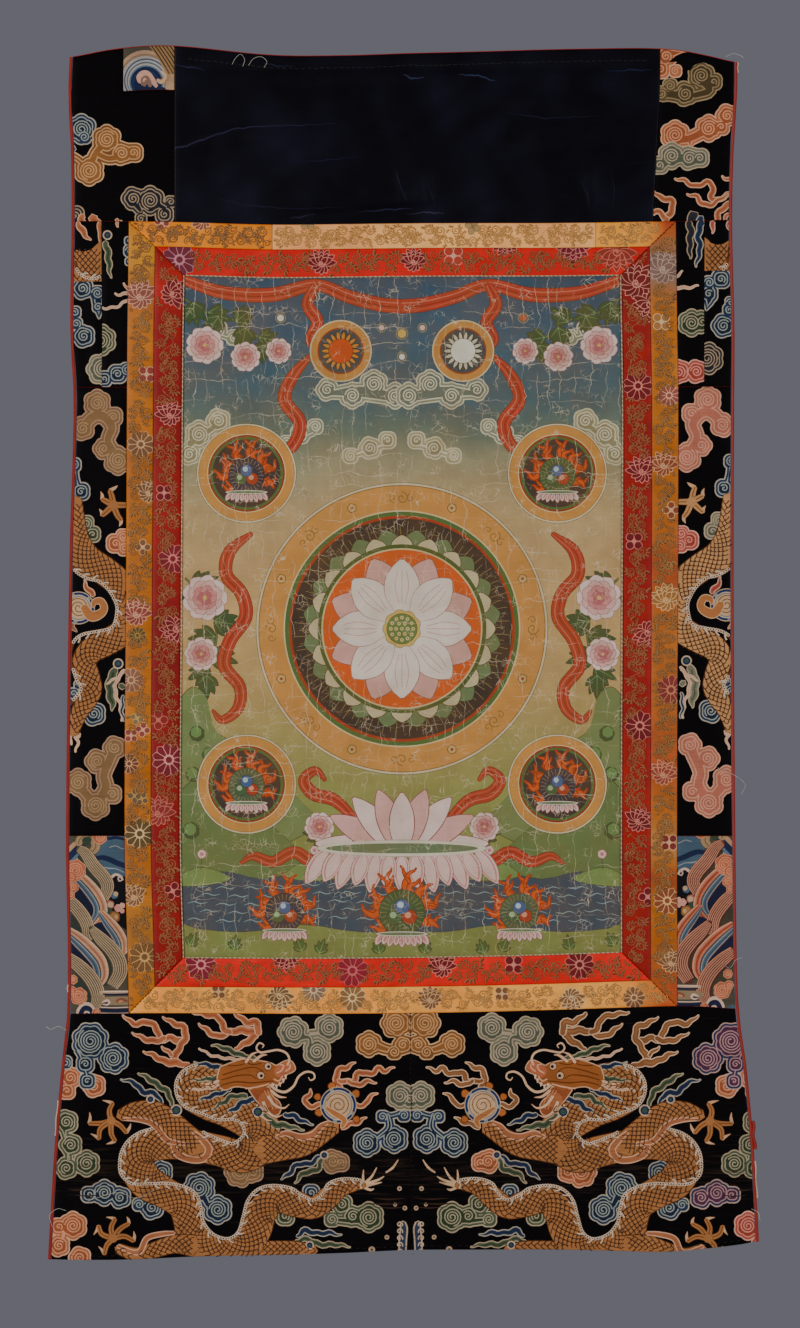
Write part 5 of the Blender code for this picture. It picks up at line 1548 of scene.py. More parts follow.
def dyed_again(dye, lobes):
    """The dye of the right half's cloud: pinker low down, and plum near the side."""
    if dye == "blue" and lobes[0][0] < -320:
        return "plum"
    if dye == "coral" and lobes[0][1] > 1100:
        return "rose"
    return "coral" if dye == "tan" else dye


def dragon_half(mirror):
    """All that is woven on one half of the skirt. The right half mirrors the left in other dyes."""
    art = []
    for dye, lobes, necks in SKIRT_CLOUDS:
        art += cloud(lobes, necks, dye if mirror is None else dyed_again(dye, lobes))
    for dye, rows in SKIRT_STREAKS:
        art += streak(rows, "tawny" if mirror is not None and dye == "coral" else dye)
    art += [(ribbon(row, 0.3), "#d2a981") for row in TAIL_HAIRS]
    art += scaled(SKIRT_LIMBS[3])
    art += [(ribbon(SKIRT_BODY, 0.8, 6), GILT_EDGE), (ribbon(SKIRT_BODY, 0.0, 6), GILT)]
    art += [(groove(row), "#6a3a18") for row in SKIRT_SPINES]
    art += [shape for rows in SKIRT_LIMBS[:3] for shape in scaled(rows)]
    for rows in SKIRT_FRINGES:
        art += [(ribbon(rows, 1.0), "#d5a180"), (ribbon(rows, -0.2), "#a4633f")]
    for pad, *toes in CLAWS:
        art += claw(pad, *toes)
    for dye, rows in MANE:
        art += streak(rows, dye)
    art += dragon_head()
    for x, drop, r in PEARL_KNOBS:
        art += [(disc(x, drop, r, 3), GILT_EDGE), (disc(x, drop, r - 0.8, 3), "#b0612d")]
    art += pearl(*PEARL, PEARL_TAIL)
    for spot in RINGS:
        art += ring(*spot)
    for x, drop, r in FOAM_DOTS:
        art += [(disc(x, drop, r, per=12), "#b39476"), (disc(x, drop, r * 0.4, per=8), "#483c2f")]
    art += [(ribbon(CREST, 1.0), "#b39a7f"), (ribbon(CREST, -0.6), "#30394c")]
    art += [(curl(-9.5, drop, 3.4, 1.1, 20, -1, 1.3), "#c0a386") for drop in (1205, 1212, 1219, 1226, 1233)]
    for x, drop, width in WORN_LINES:
        art.append((ribbon(((x - width / 2, drop, 0.3), (x, drop + 1, 1.4), (x + width / 2, drop, 0.3))),
                    "#3b261d"))
    return placed(art, mirror)


def skirt_covers(mirror):
    """What lies over the dragon's scales: spines first, then fringes, mane, claws, head, pearl and rings."""
    shapes = [groove(row) for row in SKIRT_SPINES]
    shapes += [ribbon(rows, 0.6) for rows in SKIRT_FRINGES] + [ribbon(rows, 0.9) for _, rows in MANE]
    shapes += [disc(*pad) for pad, *_ in CLAWS] + [closed(SKULL), closed(JAW)]
    shapes += [disc(*spot) for spot in (PEARL, *RINGS)]
    return [moved(loop, mirror) for loop in shapes]


# Worn like the black brocade, but browner, and rubbed through in a band where the scroll was rolled.
dragon_brocade = silk("Dragon brocade", rib=1.0, relief=0.12, rough=(0.55, 0.60), mottle=0.12, streak=0.12,
                      wear="#3a2a1e", gloss=0.05, worn=(1150.0, 42.0))
SKIRT_MIRROR = (1.8, 0.0)
LENGTHS = (SKIRT_LIMBS[3], SKIRT_BODY, *SKIRT_LIMBS[:3])
for name, left, right, mirror in (("skirt_left", "left_side", "skirt_seam", None),
                                  ("skirt_right", "skirt_seam", "right_side", SKIRT_MIRROR)):
    bound = panel(left, right, "skirt_top", "hem")
    half = sheet(name, bound, dragon_brocade, BLACK, dragon_half(mirror))
    over = skirt_covers(mirror)
    worked = [scales(name, LENGTHS, mirror, bound, over),
              *cords(name, SKIRT_SPINES, SKIRT_BODY, mirror, bound, over[len(SKIRT_SPINES):])]

# ---- The yellow and red frames -------------------------------------------------------------------------
# Strips of silk damask round the painting, yellow outside and red inside, mitred at their corners. Scrolling
# vines and flowers are woven into them; the yellow one is pieced at the top with a length of tan.


def upright(left, right, left_ends, right_ends):
    """A side strip's outline between two upright seam lines, mitred where they end on different levels."""
    (high, low), (right_high, right_low) = left_ends, right_ends
    return outline((left, high, None), (right, right_high, right), (right, right_low, None),
                   (left, low, left))


def faded(ground, others, seed, way=1):
    """A dyed ground with patches of other shades: (hex, middle in mm, spread in mm, strength), down the
    strip, or across where `way` is 0."""
    low, high = np.array(colour(ground[0])), np.array(colour(ground[1]))

    def paint(places):
        tints = low + uneven(places, seed)[:, None] * (high - low)
        for shade, drop, spread, strength in others:
            near = strength * np.exp(-(((1000 * places[:, way] - drop) / spread) ** 2))[:, None]
            near = np.clip(near * (0.55 + 0.9 * uneven(places, seed + 3)[:, None]), 0, 1)
            tints += near * (np.array(colour(shade)) - tints)
        tints[:, 3] = 0.0
        return tints
    return paint


def petal(x, drop, way, length, breadth, start=0.0):
    """A pointed petal that leaves x, drop towards `way`, in degrees."""
    a, b = way_to(way)
    rows = [(x + a * (start + share * length), drop + b * (start + share * length), breadth * wide)
            for share, wide in ((0.0, 0.35), (0.3, 0.95), (0.6, 1.0), (0.85, 0.6), (1.0, 0.1))]
    return ribbon(rows, per=3, rounded=False)


def lotus(x, drop, size, fill, edge, turn):
    """A lotus seen from the side: ranks of pointed petals over a cup of leaves, and a curled heart."""
    art = []
    for count, reach, wide, way, spread in ((5, 0.72, 0.40, turn + 180, 150), (7, 1.0, 0.42, turn, 200),
                                            (5, 0.78, 0.40, turn, 164), (3, 0.55, 0.36, turn, 128)):
        for number in range(count):
            to = way + (number - (count - 1) / 2) * spread / count
            art += [(petal(x, drop, to, size * reach, size * wide), edge),
                    (petal(x, drop, to, size * reach - 1.4, size * wide - 1.3, 0.4), fill)]
    return art + [(curl(x, drop, 0.24 * size, 1.2, 0, 1, 1.1), edge)]


def daisy(x, drop, size, fill, edge, turn):
    """A round flower of blunt petals about a seeded heart."""
    petals = 11
    art = []
    for number in range(petals):
        a, b = way_to(turn + 360 * number / petals)
        wide = 2.6 * size / petals * 1.9
        rows = [(x + a * reach * size, drop + b * reach * size, share * wide)
                for reach, share in ((0.34, 0.4), (0.75, 1), (0.92, 0.8))]
        art += [(ribbon(rows, 0.45, 3), edge), (ribbon(rows, -0.3, 3), fill)]
    return art + [(disc(x, drop, 0.32 * size, per=16), edge), (disc(x, drop, 0.20 * size, per=12), fill)]


def blossom(x, drop, size, fill, edge, turn):
    """A small flower of four round petals."""
    art = []
    for grow, paint in ((0.0, edge), (-0.7, fill)):
        for number in range(4):
            a, b = way_to(turn + 90 * number)
            art.append((disc(x + 0.56 * size * a, drop + 0.56 * size * b, 0.42 * size + grow, per=14), paint))
    return art + [(disc(x, drop, 0.22 * size, per=10), edge)]


GOLD_FLOWER = ("#7a5030", "#d0a070")
GOLD_ROSE = ("#8a3c2e", "#d39a7c")
RED_FLOWER = ("#6e1418", "#cf7d6c")
FLOWERS = {  # of each strip: kind, x, drop, size, its fill and edge, and turn
    "gold_left": (
        (lotus, -277, 250, 15, ("#8a4a38", "#cf9a80"), -90), (blossom, -270, 330, 8, GOLD_ROSE, 45),
        (daisy, -276, 402, 11, GOLD_FLOWER, 0), (lotus, -268, 452, 12, ("#6d4a2c", "#c99a6c"), -60),
        (blossom, -274, 508, 7, GOLD_FLOWER, 0), (lotus, -281, 577, 14, GOLD_ROSE, -90),
        (daisy, -279.5, 599, 7, ("#604a24", "#a5803c"), 10),
        (daisy, -286, 645, 10, ("#8a5a44", "#c99a6c"), 20),
        (blossom, -280, 684, 6, ("#7a6a4a", "#c0954f"), 20), (blossom, -286, 702, 6.5, GOLD_ROSE, 45),
        (blossom, -274, 696, 6.5, GOLD_ROSE, 10), (daisy, -288, 731, 8, ("#6d3a28", "#cf9a66"), 0),
        (blossom, -282, 764, 6.5, ("#6a5138", "#b08a4a"), 0),
        (blossom, -275, 767, 6, ("#6a5138", "#b08a4a"), 30),
        (daisy, -277, 803, 12.5, ("#5d4524", "#d8b480"), 8), (lotus, -283, 868, 12, GOLD_FLOWER, -120),
        (daisy, -272, 930, 13, ("#76502a", "#c99a58"), 8),
    ),
    "gold_right": (
        (lotus, 262, 222, 17, ("#7d5f50", "#b99a86"), -70),
        (blossom, 260, 276, 8.5, ("#a8703c", "#e0bd84"), 45),
        (daisy, 268, 352, 9, ("#93483a", "#d8a080"), 0), (lotus, 262, 424, 13, ("#8a4326", "#d29a70"), -90),
        (blossom, 270, 470, 7.5, ("#8a4326", "#d9a878"), 0),
        (lotus, 265, 562, 14, ("#9b6530", "#dcae74"), -100),
        (daisy, 270, 655, 12, ("#82302a", "#c07a58"), 12),
        (lotus, 262, 742, 13, ("#95402c", "#d0906c"), -80),
        (blossom, 268, 812, 8, ("#7a2a22", "#d8a37c"), 45),
        (daisy, 266, 872, 11, ("#8a4528", "#e0b070"), 0), (lotus, 270, 936, 12, GOLD_FLOWER, -90),
    ),
    "gold_top_left": (
        (lotus, -214, 172, 12, ("#8a4a34", "#cf9a70"), -90), (blossom, -254, 174, 6.5, GOLD_ROSE, 10),
    ),
    "gold_foot": (
        (lotus, -133, 970, 13, ("#7a5330", "#d8b47c"), 90),
        (daisy, -98, 964, 10, ("#8a6a50", "#e0c090"), 0), (daisy, -58, 972, 11, ("#8c6238", "#e0bd84"), 10),
        (lotus, 22, 974, 12, GOLD_FLOWER, -90), (blossom, 96, 968, 7, GOLD_FLOWER, 45),
        (lotus, 168, 972, 12, ("#8a5a34", "#dcb684"), 80), (daisy, 232, 972, 9, GOLD_FLOWER, 0),
        (blossom, -196, 966, 7, GOLD_FLOWER, 45),
    ),
    "red_left": (
        (lotus, -243, 247, 14, RED_FLOWER, -20), (lotus, -246, 372, 13, RED_FLOWER, -90),
        (blossom, -252, 452, 8, RED_FLOWER, 45), (daisy, -243, 520, 12, ("#7a1c22", "#c9766c"), 0),
        (lotus, -240, 592, 14, RED_FLOWER, 150), (blossom, -258, 686, 8.5, ("#86241f", "#c06a56"), 0),
        (daisy, -247, 727, 13.5, ("#741a22", "#d08a80"), 0),
        (lotus, -258, 782, 15, ("#8a2b26", "#c06e5a"), -90), (blossom, -243, 862, 8, RED_FLOWER, 20),
    ),
    "red_right": (
        (lotus, 234, 236, 19, ("#701c18", "#d58c78"), -80),
        (lotus, 248, 258, 15, ("#701c18", "#d58c78"), 120), (daisy, 236, 342, 12, RED_FLOWER, 0),
        (lotus, 240, 430, 14, RED_FLOWER, -90), (blossom, 232, 502, 8.5, RED_FLOWER, 45),
        (lotus, 246, 596, 14, ("#7a1d1c", "#cf7d6c"), 100), (daisy, 238, 692, 12, RED_FLOWER, 12),
        (lotus, 236, 790, 13, RED_FLOWER, -60), (blossom, 246, 868, 8, RED_FLOWER, 0),
    ),
    "red_top": (
        (daisy, -236, 212, 14, ("#6c2230", "#b57a80"), 10), (lotus, -90, 216, 13, RED_FLOWER, -90),
        (lotus, 5, 214, 12, RED_FLOWER, -90), (blossom, 46, 208, 9.5, ("#b03a26", "#d99a86"), 45),
        (lotus, 99, 194, 12, RED_FLOWER, 90), (lotus, 169, 198, 15, ("#74182a", "#cf7d6c"), 90),
        (lotus, 214, 204, 17, ("#8f3022", "#c9705a"), 90),
    ),
    "red_foot": (
        (daisy, -214, 938, 13, ("#7d1a2c", "#cf8078"), 0), (lotus, -126, 930, 13, RED_FLOWER, 90),
        (daisy, -58, 944, 13, ("#8a1d2a", "#c2605c"), 12), (lotus, 34, 940, 13, RED_FLOWER, -90),
        (blossom, 108, 938, 9, RED_FLOWER, 45), (daisy, 176, 938, 12, RED_FLOWER, 0),
    ),
    "tan_top": (
        (blossom, -104, 174, 7, ("#a8895a", "#8a6a3e"), 45),
        (blossom, 66, 178, 7, ("#a8895a", "#8a6a3e"), 20),
    ),
}


def middle_of(first, second, start, end):
    """The middle line of a strip between two seam lines, from start to end in metres, as rows in mm."""
    at = np.linspace(start, end, round(abs(end - start) / 0.012))
    if first in UPRIGHT:
        return np.column_stack([(UPRIGHT[first](at) + UPRIGHT[second](at)) / 2, at]) / MM
    return np.column_stack([at, (LEVEL[first](at) + LEVEL[second](at)) / 2]) / MM


def line_tree():
    """Node tree: a thread laid along drawn lines."""
    tree, given = new_tree("Thread along lines", "Thread")
    curve = add(tree, "GeometryNodeMeshToCurve", None, {0: given.outputs["Flat"]})
    profile = add(tree, "GeometryNodeCurvePrimitiveCircle", None,
                  {"Resolution": 4, "Radius": given.outputs["Thread"]})
    return end_tree(tree, given, add(tree, "GeometryNodeCurveToMesh", None, {
        "Curve": curve.outputs[0], "Profile Curve": profile.outputs[0], "Fill Caps": True}))


LINES = line_tree()
CURLS = points_tree("Vine curls", "GeometryNodeCurveSpiral", {
    "Resolution": 15, "Rotations": 1.45, "Start Radius": 0.12, "End Radius": 0.62, "Height": 0.0})
LEAVES = points_tree("Vine leaves", BEZIER, {
    "Resolution": 4, "Start": (0.0, 0.0, 0.0), "Middle": (0.55, 0.34, 0.0), "End": (1.0, -0.06, 0.0)})


def vine(name, rows, bound, covers, finish, seed):
    """A scrolling vine along a strip: a wavy stem with curls on both sides, each with a comb of leaves."""
    breadth, wave, size, stem_pitch, leaf_thick = 27.0, 20.0, 7.0, 2.0, 1.7
    chance = np.random.default_rng(seed)
    x, drop, dx, dd, nx, nd, _, _ = stations(rows, stem_pitch, 1.0)
    sway = 0.2 * breadth * np.sin(2 * math.pi * np.arange(len(x)) * stem_pitch / wave + seed)
    stem = np.column_stack([x + nx * sway, drop + nd * sway, dx, dd, 0 * x])
    stem, shown = showing(stem, None, bound, covers)
    edges = [(i, i + 1) for i in range(len(stem) - 1) if shown[i] and shown[i + 1] and i % 11]
    used = sorted({i for edge in edges for i in edge})
    place = {old: new for new, old in enumerate(used)}
    made = [grown(f"{name}_stem", LINES, stem[used][:, :2] * MM, [(place[a], place[b]) for a, b in edges],
                  {"Thread": 0.0005, "Finish": finish}, {}, -0.0003)]
    x, drop, dx, dd, nx, nd, _, _ = stations(rows, 0.35 * wave, 3.0)
    spots, sizes, leaves, spans = [], [], [], []
    for number in range(len(x)):
        side = 1.0 if number % 2 else -1.0
        out = side * (breadth / 2 - size * 1.02) * chance.uniform(0.5, 1.1)
        along_by = chance.uniform(-2.5, 2.5)
        at = np.array((x[number] + nx[number] * out + dx[number] * along_by,
                       drop[number] + nd[number] * out + dd[number] * along_by))
        turn, big = chance.uniform(0, 2 * math.pi), size * chance.uniform(0.85, 1.15)
        spots.append((*at, math.cos(turn), math.sin(turn), float(side > 0)))
        sizes.append((big, big, 3.2))
        for leaf in range(7):
            round_to = math.radians(176 - 30 * leaf)
            reach = big * (0.66 - 0.04 * leaf)
            foot, tip = (-turn - side * angle for angle in (round_to, round_to + 0.75))
            leaves.append((at[0] + reach * math.cos(foot), at[1] - reach * math.sin(foot), math.cos(tip),
                           -math.sin(tip), float(side > 0)))
            spans.append((big * (0.78 - 0.06 * leaf) * chance.uniform(0.8, 1.1),) * 2 + (leaf_thick,))
    for number in range(0, len(stem) - 4, 4):
        turn = math.atan2(stem[number, 3], stem[number, 2]) + (0.9 if number % 8 else -0.9)
        leaves.append((*stem[number, :2], math.cos(turn), math.sin(turn), float(number % 8 > 0)))
        spans.append((size * chance.uniform(0.45, 0.75),) * 2 + (leaf_thick,))
    for label, tree, rows, scale, thick, tip in (("curls", CURLS, spots, sizes, 0.11, 1.0),
                                                 ("leaves", LEAVES, leaves, spans, 0.34, 0.25)):
        scale = np.array(scale)
        rows, shown = showing(np.array(rows), None, bound, covers)
        tips = rows[:, :2] + rows[:, 2:4] * scale[:, :1] * (label == "leaves")
        shown &= inside(tips * MM, drawn_in(bound, 0.0006))
        made.append(sown(f"{name}_{label}", tree, rows[shown], scale[shown], finish, thick, tip))
    return made


# Yellow: lustrous, faded in patches. Tan: paler and duller. Red: deep, and a little rubbed.
gold_silk = silk("Yellow silk damask", rib=0.9, relief=0.08, rough=(0.50, 0.55), mottle=0.14, streak=0.12,
                 sheen=0.03, gloss=0.2)
tan_silk = silk("Tan silk damask", rib=0.9, relief=0.08, rough=(0.55, 0.55), mottle=0.12, streak=0.10,
                sheen=0.06)
red_silk = silk("Red silk damask", rib=0.9, relief=0.08, rough=(0.52, 0.55), mottle=0.14, streak=0.12,
                sheen=0.02, gloss=0.2)
# The vines are matt, a little browner than the ground that they lie on.
grey_vine = thread("Grey brown vine weft", ("#7f4f2c", "#ab7c44"), 0.6, 1.2)
brown_vine = thread("Brown vine weft", ("#b07a3c", "#d9a058"), 0.6, 1.2)
tan_vine = thread("Tan vine weft", ("#8c4728", "#a5633c"), 0.6, 1.2)
YELLOW = ("#a8570a", "#c87314")
GOLD_ENDS, RED_ENDS = ("heading_foot", "skirt_top"), ("red_top", "red_foot")
PICTURE_ENDS = ("picture_top", "picture_foot")
# The level strips' grounds are lighter than the upright strips' of the same silk: painted sheen, where the
# weave running along them catches the light.
FRAMES = {  # outline, cloth, vine, slot, ground, flat size, and the seams and ends of the vine's middle line
    "gold_left": (
        upright("gold_left", "red_left", GOLD_ENDS, RED_ENDS), gold_silk, grey_vine, "gold_brocade",
        faded(YELLOW, (("#9a5c3c", 246, 26, 0.45), ("#d49a2a", 205, 30, 0.5), ("#8f7434", 905, 40, 0.35)), 1),
        (0.028, 0.816), ("gold_left", "red_left", 0.181, 0.984)),
    "gold_right": (
        upright("red_right", "gold_right", RED_ENDS, GOLD_ENDS), gold_silk, grey_vine, "gold_brocade",
        faded(YELLOW, (("#857060", 218, 24, 0.9), ("#b4481c", 180, 16, 0.5), ("#a5431c", 530, 60, 0.7),
                       ("#ad4a1e", 720, 60, 0.75), ("#a8582a", 620, 50, 0.4), ("#b98a4c", 812, 18, 0.6),
                       ("#8f2418", 850, 14, 0.5), ("#a8421c", 962, 38, 0.8)), 2),
        (0.028, 0.812), ("red_right", "gold_right", 0.181, 0.984)),
    # A lighter ground than the yellow uprights': painted sheen and highlight.
    "gold_foot": (
        panel("red_left", "red_right", "red_foot", "skirt_top", ("gold_left", "gold_right")),
        gold_silk, brown_vine, "gold_brocade",
        faded(("#fc9834", "#ffb450"), (("#b23a12", 266, 34, 0.95),), 3, 0),
        (0.565, 0.0275), ("red_foot", "skirt_top", -0.278, 0.276)),
    # A lighter ground than the yellow uprights': painted sheen.
    "gold_top_left": (
        panel("gold_left", "tan_left", "heading_foot", "red_top", ("red_left", "tan_left")),
        gold_silk, grey_vine, "gold_brocade", faded(("#d8720a", "#f58e14"), (), 4),
        (0.147, 0.026), ("heading_foot", "red_top", -0.280, -0.138)),
    # Its ground is lightened by painted sheen, as the level yellow strips' are.
    "tan_top": (
        panel("tan_left", "tan_right", "heading_foot", "red_top"),
        tan_silk, brown_vine, "tan_brocade", faded(("#f0a060", "#ffc070"), (), 5),
        (0.333, 0.026), ("heading_foot", "red_top", -0.138, 0.191)),
    # A lighter ground than the yellow uprights': painted sheen.
    "gold_top_right": (
        panel("tan_right", "gold_right", "heading_foot", "red_top", ("tan_right", "red_right")),
        gold_silk, brown_vine, "gold_brocade",
        faded(("#f59a2c", "#ffb347"), (("#b0441a", 268, 24, 0.85),), 6, 0),
        (0.082, 0.026), ("heading_foot", "red_top", 0.192, 0.276)),
    "red_left": (
        upright("red_left", "picture_left", RED_ENDS, PICTURE_ENDS), red_silk, tan_vine, "red_brocade",
        faded(("#820c07", "#9a110a"), (("#c2241a", 240, 22, 0.7), ("#6c0c09", 700, 120, 0.3)), 7),
        (0.0305, 0.762), ("red_left", "picture_left", 0.203, 0.958)),
    "red_right": (
        upright("picture_right", "red_right", PICTURE_ENDS, RED_ENDS), red_silk, tan_vine, "red_brocade",
        faded(("#8b110b", "#a3170e"), (("#7a1a14", 250, 40, 0.5),), 8),
        (0.0305, 0.757), ("picture_right", "red_right", 0.203, 0.958)),
    # A lighter ground than the red uprights': painted sheen.
    "red_top": (
        panel("red_left", "red_right", "red_top", "picture_top", ("picture_left", "picture_right")),
        red_silk, tan_vine, "red_brocade", faded(("#bd140a", "#e21d0e"), (), 9),
        (0.510, 0.029), ("red_top", "picture_top", -0.254, 0.252)),
    # A lighter ground than the red uprights': painted sheen.
    "red_foot": (
        panel("picture_left", "picture_right", "picture_foot", "red_foot", ("red_left", "red_right")),
        red_silk, tan_vine, "red_brocade", faded(("#cc160b", "#f02010"), (), 10),
        (0.510, 0.0305), ("picture_foot", "red_foot", -0.254, 0.252)),
}
for number, (name, (bound, finish, weft, slot, ground, flat, middle)) in enumerate(FRAMES.items()):
    flowers = FLOWERS.get(name, ())
    art = [shape for kind, x, drop, size, (fill, edge), turn in flowers
           for shape in kind(x, drop, 1.25 * size, fill, edge, turn)]
    strip = sheet(name, bound, finish, ground, placed(art), step=4.0)
    covers = [MM * disc(x, drop, 1.05 * size, per=20) for _, x, drop, size, _, _ in flowers]
    worked = vine(f"{name}_vine", middle_of(*middle), bound, covers, weft, number + 1)

# ---- The painting --------------------------------------------------------------------------------------
# Cotton sized with chalk and glue, painted in mineral colours, and rolled up so often that the paint has
# cracked. Its design is a generic one: a lotus wheel between sky and meadow, with jewels, peonies and clouds.

# Dyes of the painted clouds, haze, scarves and flames: outline, outer band, curled line, inner band.
DYES["mist"] = ("#cfc8a6", "#808a72", "#d8d2b0", "#5f7064")
DYES["dun"] = ("#d0c9a6", "#a39a72", "#d6cfae", "#8a8562")
DYES["scarf"] = ("#7c1f16", "#b93a2a", "#d98a70", "#98271b")
DYES["fire"] = ("#a02c12", "#d9561f", "#e89a4a", "#e07a30")
WHEEL = (-7.0, 592.0)
LEAF_GREENS = ("#2c5433", "#7b9a66")
INK, PINK_INK, RED_INK = "#2a241a", "#9a5a55", "#8a4a4a"


def sky(places):
    """Mineral blue above, fading through khaki haze to the green of the meadow."""
    drop = 1000 * places[:, 1] + 26 * (uneven(places, 4) - 0.5)
    levels = {232: "#1a4b63", 290: "#23566c", 352: "#345e68", 392: "#5f7464", 424: "#9a9673", 470: "#bb9f70",
              560: "#c9a46d", 650: "#be9f65", 720: "#9d9658", 780: "#84904c", 860: "#7d8a49", 932: "#778648"}
    shades = [colour(shade) for shade in levels.values()]
    tints = np.column_stack([np.interp(drop, list(levels), [shade[k] for shade in shades]) for k in range(3)])
    tints *= (0.93 + 0.14 * uneven(places, 6))[:, None]
    return np.column_stack([tints, np.zeros(len(tints))])


def drawn_shape(loop, paint, ink=INK, width=0.45):
    """A painted shape with a thin brush line round it."""
    away = loop - np.mean(loop, axis=0)
    away /= np.maximum(np.linalg.norm(away, axis=1), 1e-6)[:, None]
    return [(loop + away * width, ink), (loop, paint)]


def petals_round(x, drop, reach, count, length, breadth, paint, ink, turn=0.0):
    """A ring of outlined petals that start at `reach` from the middle."""
    art = []
    for number in range(count):
        way = turn + 360 * number / count
        a, b = way_to(way)
        px, pd = x + a * reach, drop + b * reach
        art += [(petal(px, pd, way, length, breadth), ink),
                (petal(px, pd, way, length - 1.2, breadth - 1.3, 0.3), paint)]
    return art


def peony(x, drop, r, turn=0.0):
    """A full peony: ranks of broad notched petals, deeper in colour towards the heart."""
    tints = ("#e9cfc4", "#dfaea6", "#cf8584", "#b9606a")
    ranks = ((9, 0.66, 0.36), (8, 0.46, 0.33), (6, 0.27, 0.28), (3, 0.12, 0.20))
    art = []
    for rank, (count, reach, size) in enumerate(ranks):
        for number in range(count):
            way = math.radians(turn + 23 * rank + 360 * number / count)
            a, b = math.cos(way), math.sin(way)
            px, pd = x + reach * r * a, drop + reach * r * b
            vein = [(px - 0.1 * r * a, pd - 0.1 * r * b, 0.4), (px + 0.16 * r * a, pd + 0.16 * r * b, 0.8)]
            art += [(disc(px, pd, size * r + 0.5, 5, way, 15), PINK_INK),
                    (disc(px, pd, size * r, 5, way, 15), tints[rank])]
            art.append((ribbon(vein, per=2), tints[min(3, rank + 1)]))
    return art + [(disc(x, drop, 0.10 * r, 5, per=12), "#d8b45a")]


def leaf(x, drop, way, length, greens=LEAF_GREENS):
    """A lobed peony leaf with a pale midrib."""
    art = []
    for less, thin, paint in ((0, 0, "#16301d"), (0.8, 1.0, greens[0])):
        for turn, share in ((-48, 0.62), (48, 0.62), (-22, 0.82), (22, 0.82), (0, 1.0)):
            art.append((petal(x, drop, way + turn, length * share - less, length * 0.30 - thin), paint))
    for turn, share in ((-48, 0.45), (48, 0.45), (0, 0.8)):
        a, b = way_to(way + turn)
        tip = (x + a * length * share, drop + b * length * share, 0.25)
        art.append((ribbon(((x, drop, 0.7), tip), per=2), greens[1]))
    return art


def spray(stem, leaves, flowers):
    """A stem with its leaves and flowers."""
    art = [(ribbon([(x, drop, width) for x, drop in stem]), paint)
           for width, paint in ((2.6, "#1e3822"), (1.5, "#4d7345"))]
    for row in leaves:
        art += leaf(*row)
    for row in flowers:
        art += peony(*row)
    return art


def lotus_seat(x, drop, half, tall, petals):
    """A rank of broad lotus petals seen from the side, under a pale rim."""
    art = []
    step = 2 * half / petals
    for number in [*range(0, petals, 2), *range(1, petals, 2)]:
        at = x - half + step * (number + 0.5)
        lean = 90 - 34 * (at - x) / half
        low = 0.12 * tall * (1 - ((at - x) / half) ** 2)
        reach = tall * (0.86 if number % 2 else 1.0)
        for shrink, paint in ((0, RED_INK), (1.1, "#e6c3b8"), (4.0, "#c98a84"), (6.5, "#e6c3b8")):
            if reach > 2 * shrink:
                foot = drop + low + 0.3 * shrink
                art.append((petal(at, foot, lean, reach - shrink, 1.35 * step - shrink), paint))
    angle = np.linspace(0, 2 * math.pi, 48, endpoint=False)
    rim = np.column_stack([x + (half + 3) * np.cos(angle), drop + 0.20 * tall * np.sin(angle)])
    return art + drawn_shape(rim, "#dfd6bd") + [((rim - (x, drop)) * (0.9, 0.62) + (x, drop), "#5f7a58")]


def burning_jewels(x, drop, r, glow):
    """Three round jewels on a small lotus, inside tongues of flame."""
    art = []
    for rank, (count, reach) in enumerate(((15, 1.0), (11, 0.8))):
        for number in range(count):
            a, b = way_to(-90 + (number - (count - 1) / 2) * 236 / (count - 1) + 7 * rank)
            rise = reach * r * (1.16 if abs(number - (count - 1) / 2) < 2 else 0.96 + 0.08 * (number % 3))
            bend = 0.16 * r * (1 if number % 2 else -1)
            art += streak([(x + a * 0.5 * r, drop + b * 0.5 * r, 0.24 * r),
                           (x + a * 0.76 * rise - b * bend, drop + b * 0.76 * rise + a * bend, 0.17 * r),
                           (x + a * rise + b * bend * 0.3, drop + b * rise - 0.10 * r, 0.4)], "fire")
    art += drawn_shape(disc(x, drop, 0.62 * r, per=36), glow)
    for number in range(26):
        a, b = way_to(360 * number / 26)
        ray = [(x + a * reach * r, drop + b * reach * r, width)
               for reach, width in ((0.40, 0.3), (0.58, 0.5))]
        art.append((ribbon(ray, per=2), "#a98a4a"))
    for dx, dd, paint, light in ((-0.20, 0.12, "#35613f", "#9cb88a"), (0.20, 0.12, "#a83424", "#e39a7a"),
                                 (0.0, -0.16, "#2f5c8a", "#b3cbd4")):
        art += drawn_shape(disc(x + dx * r, drop + dd * r, 0.20 * r, per=20), paint)
        art.append((disc(x + dx * r - 0.04 * r, drop + dd * r - 0.05 * r, 0.09 * r, per=12), light))
    return art + lotus_seat(x, drop + 0.58 * r, 0.62 * r, 0.34 * r, 9)


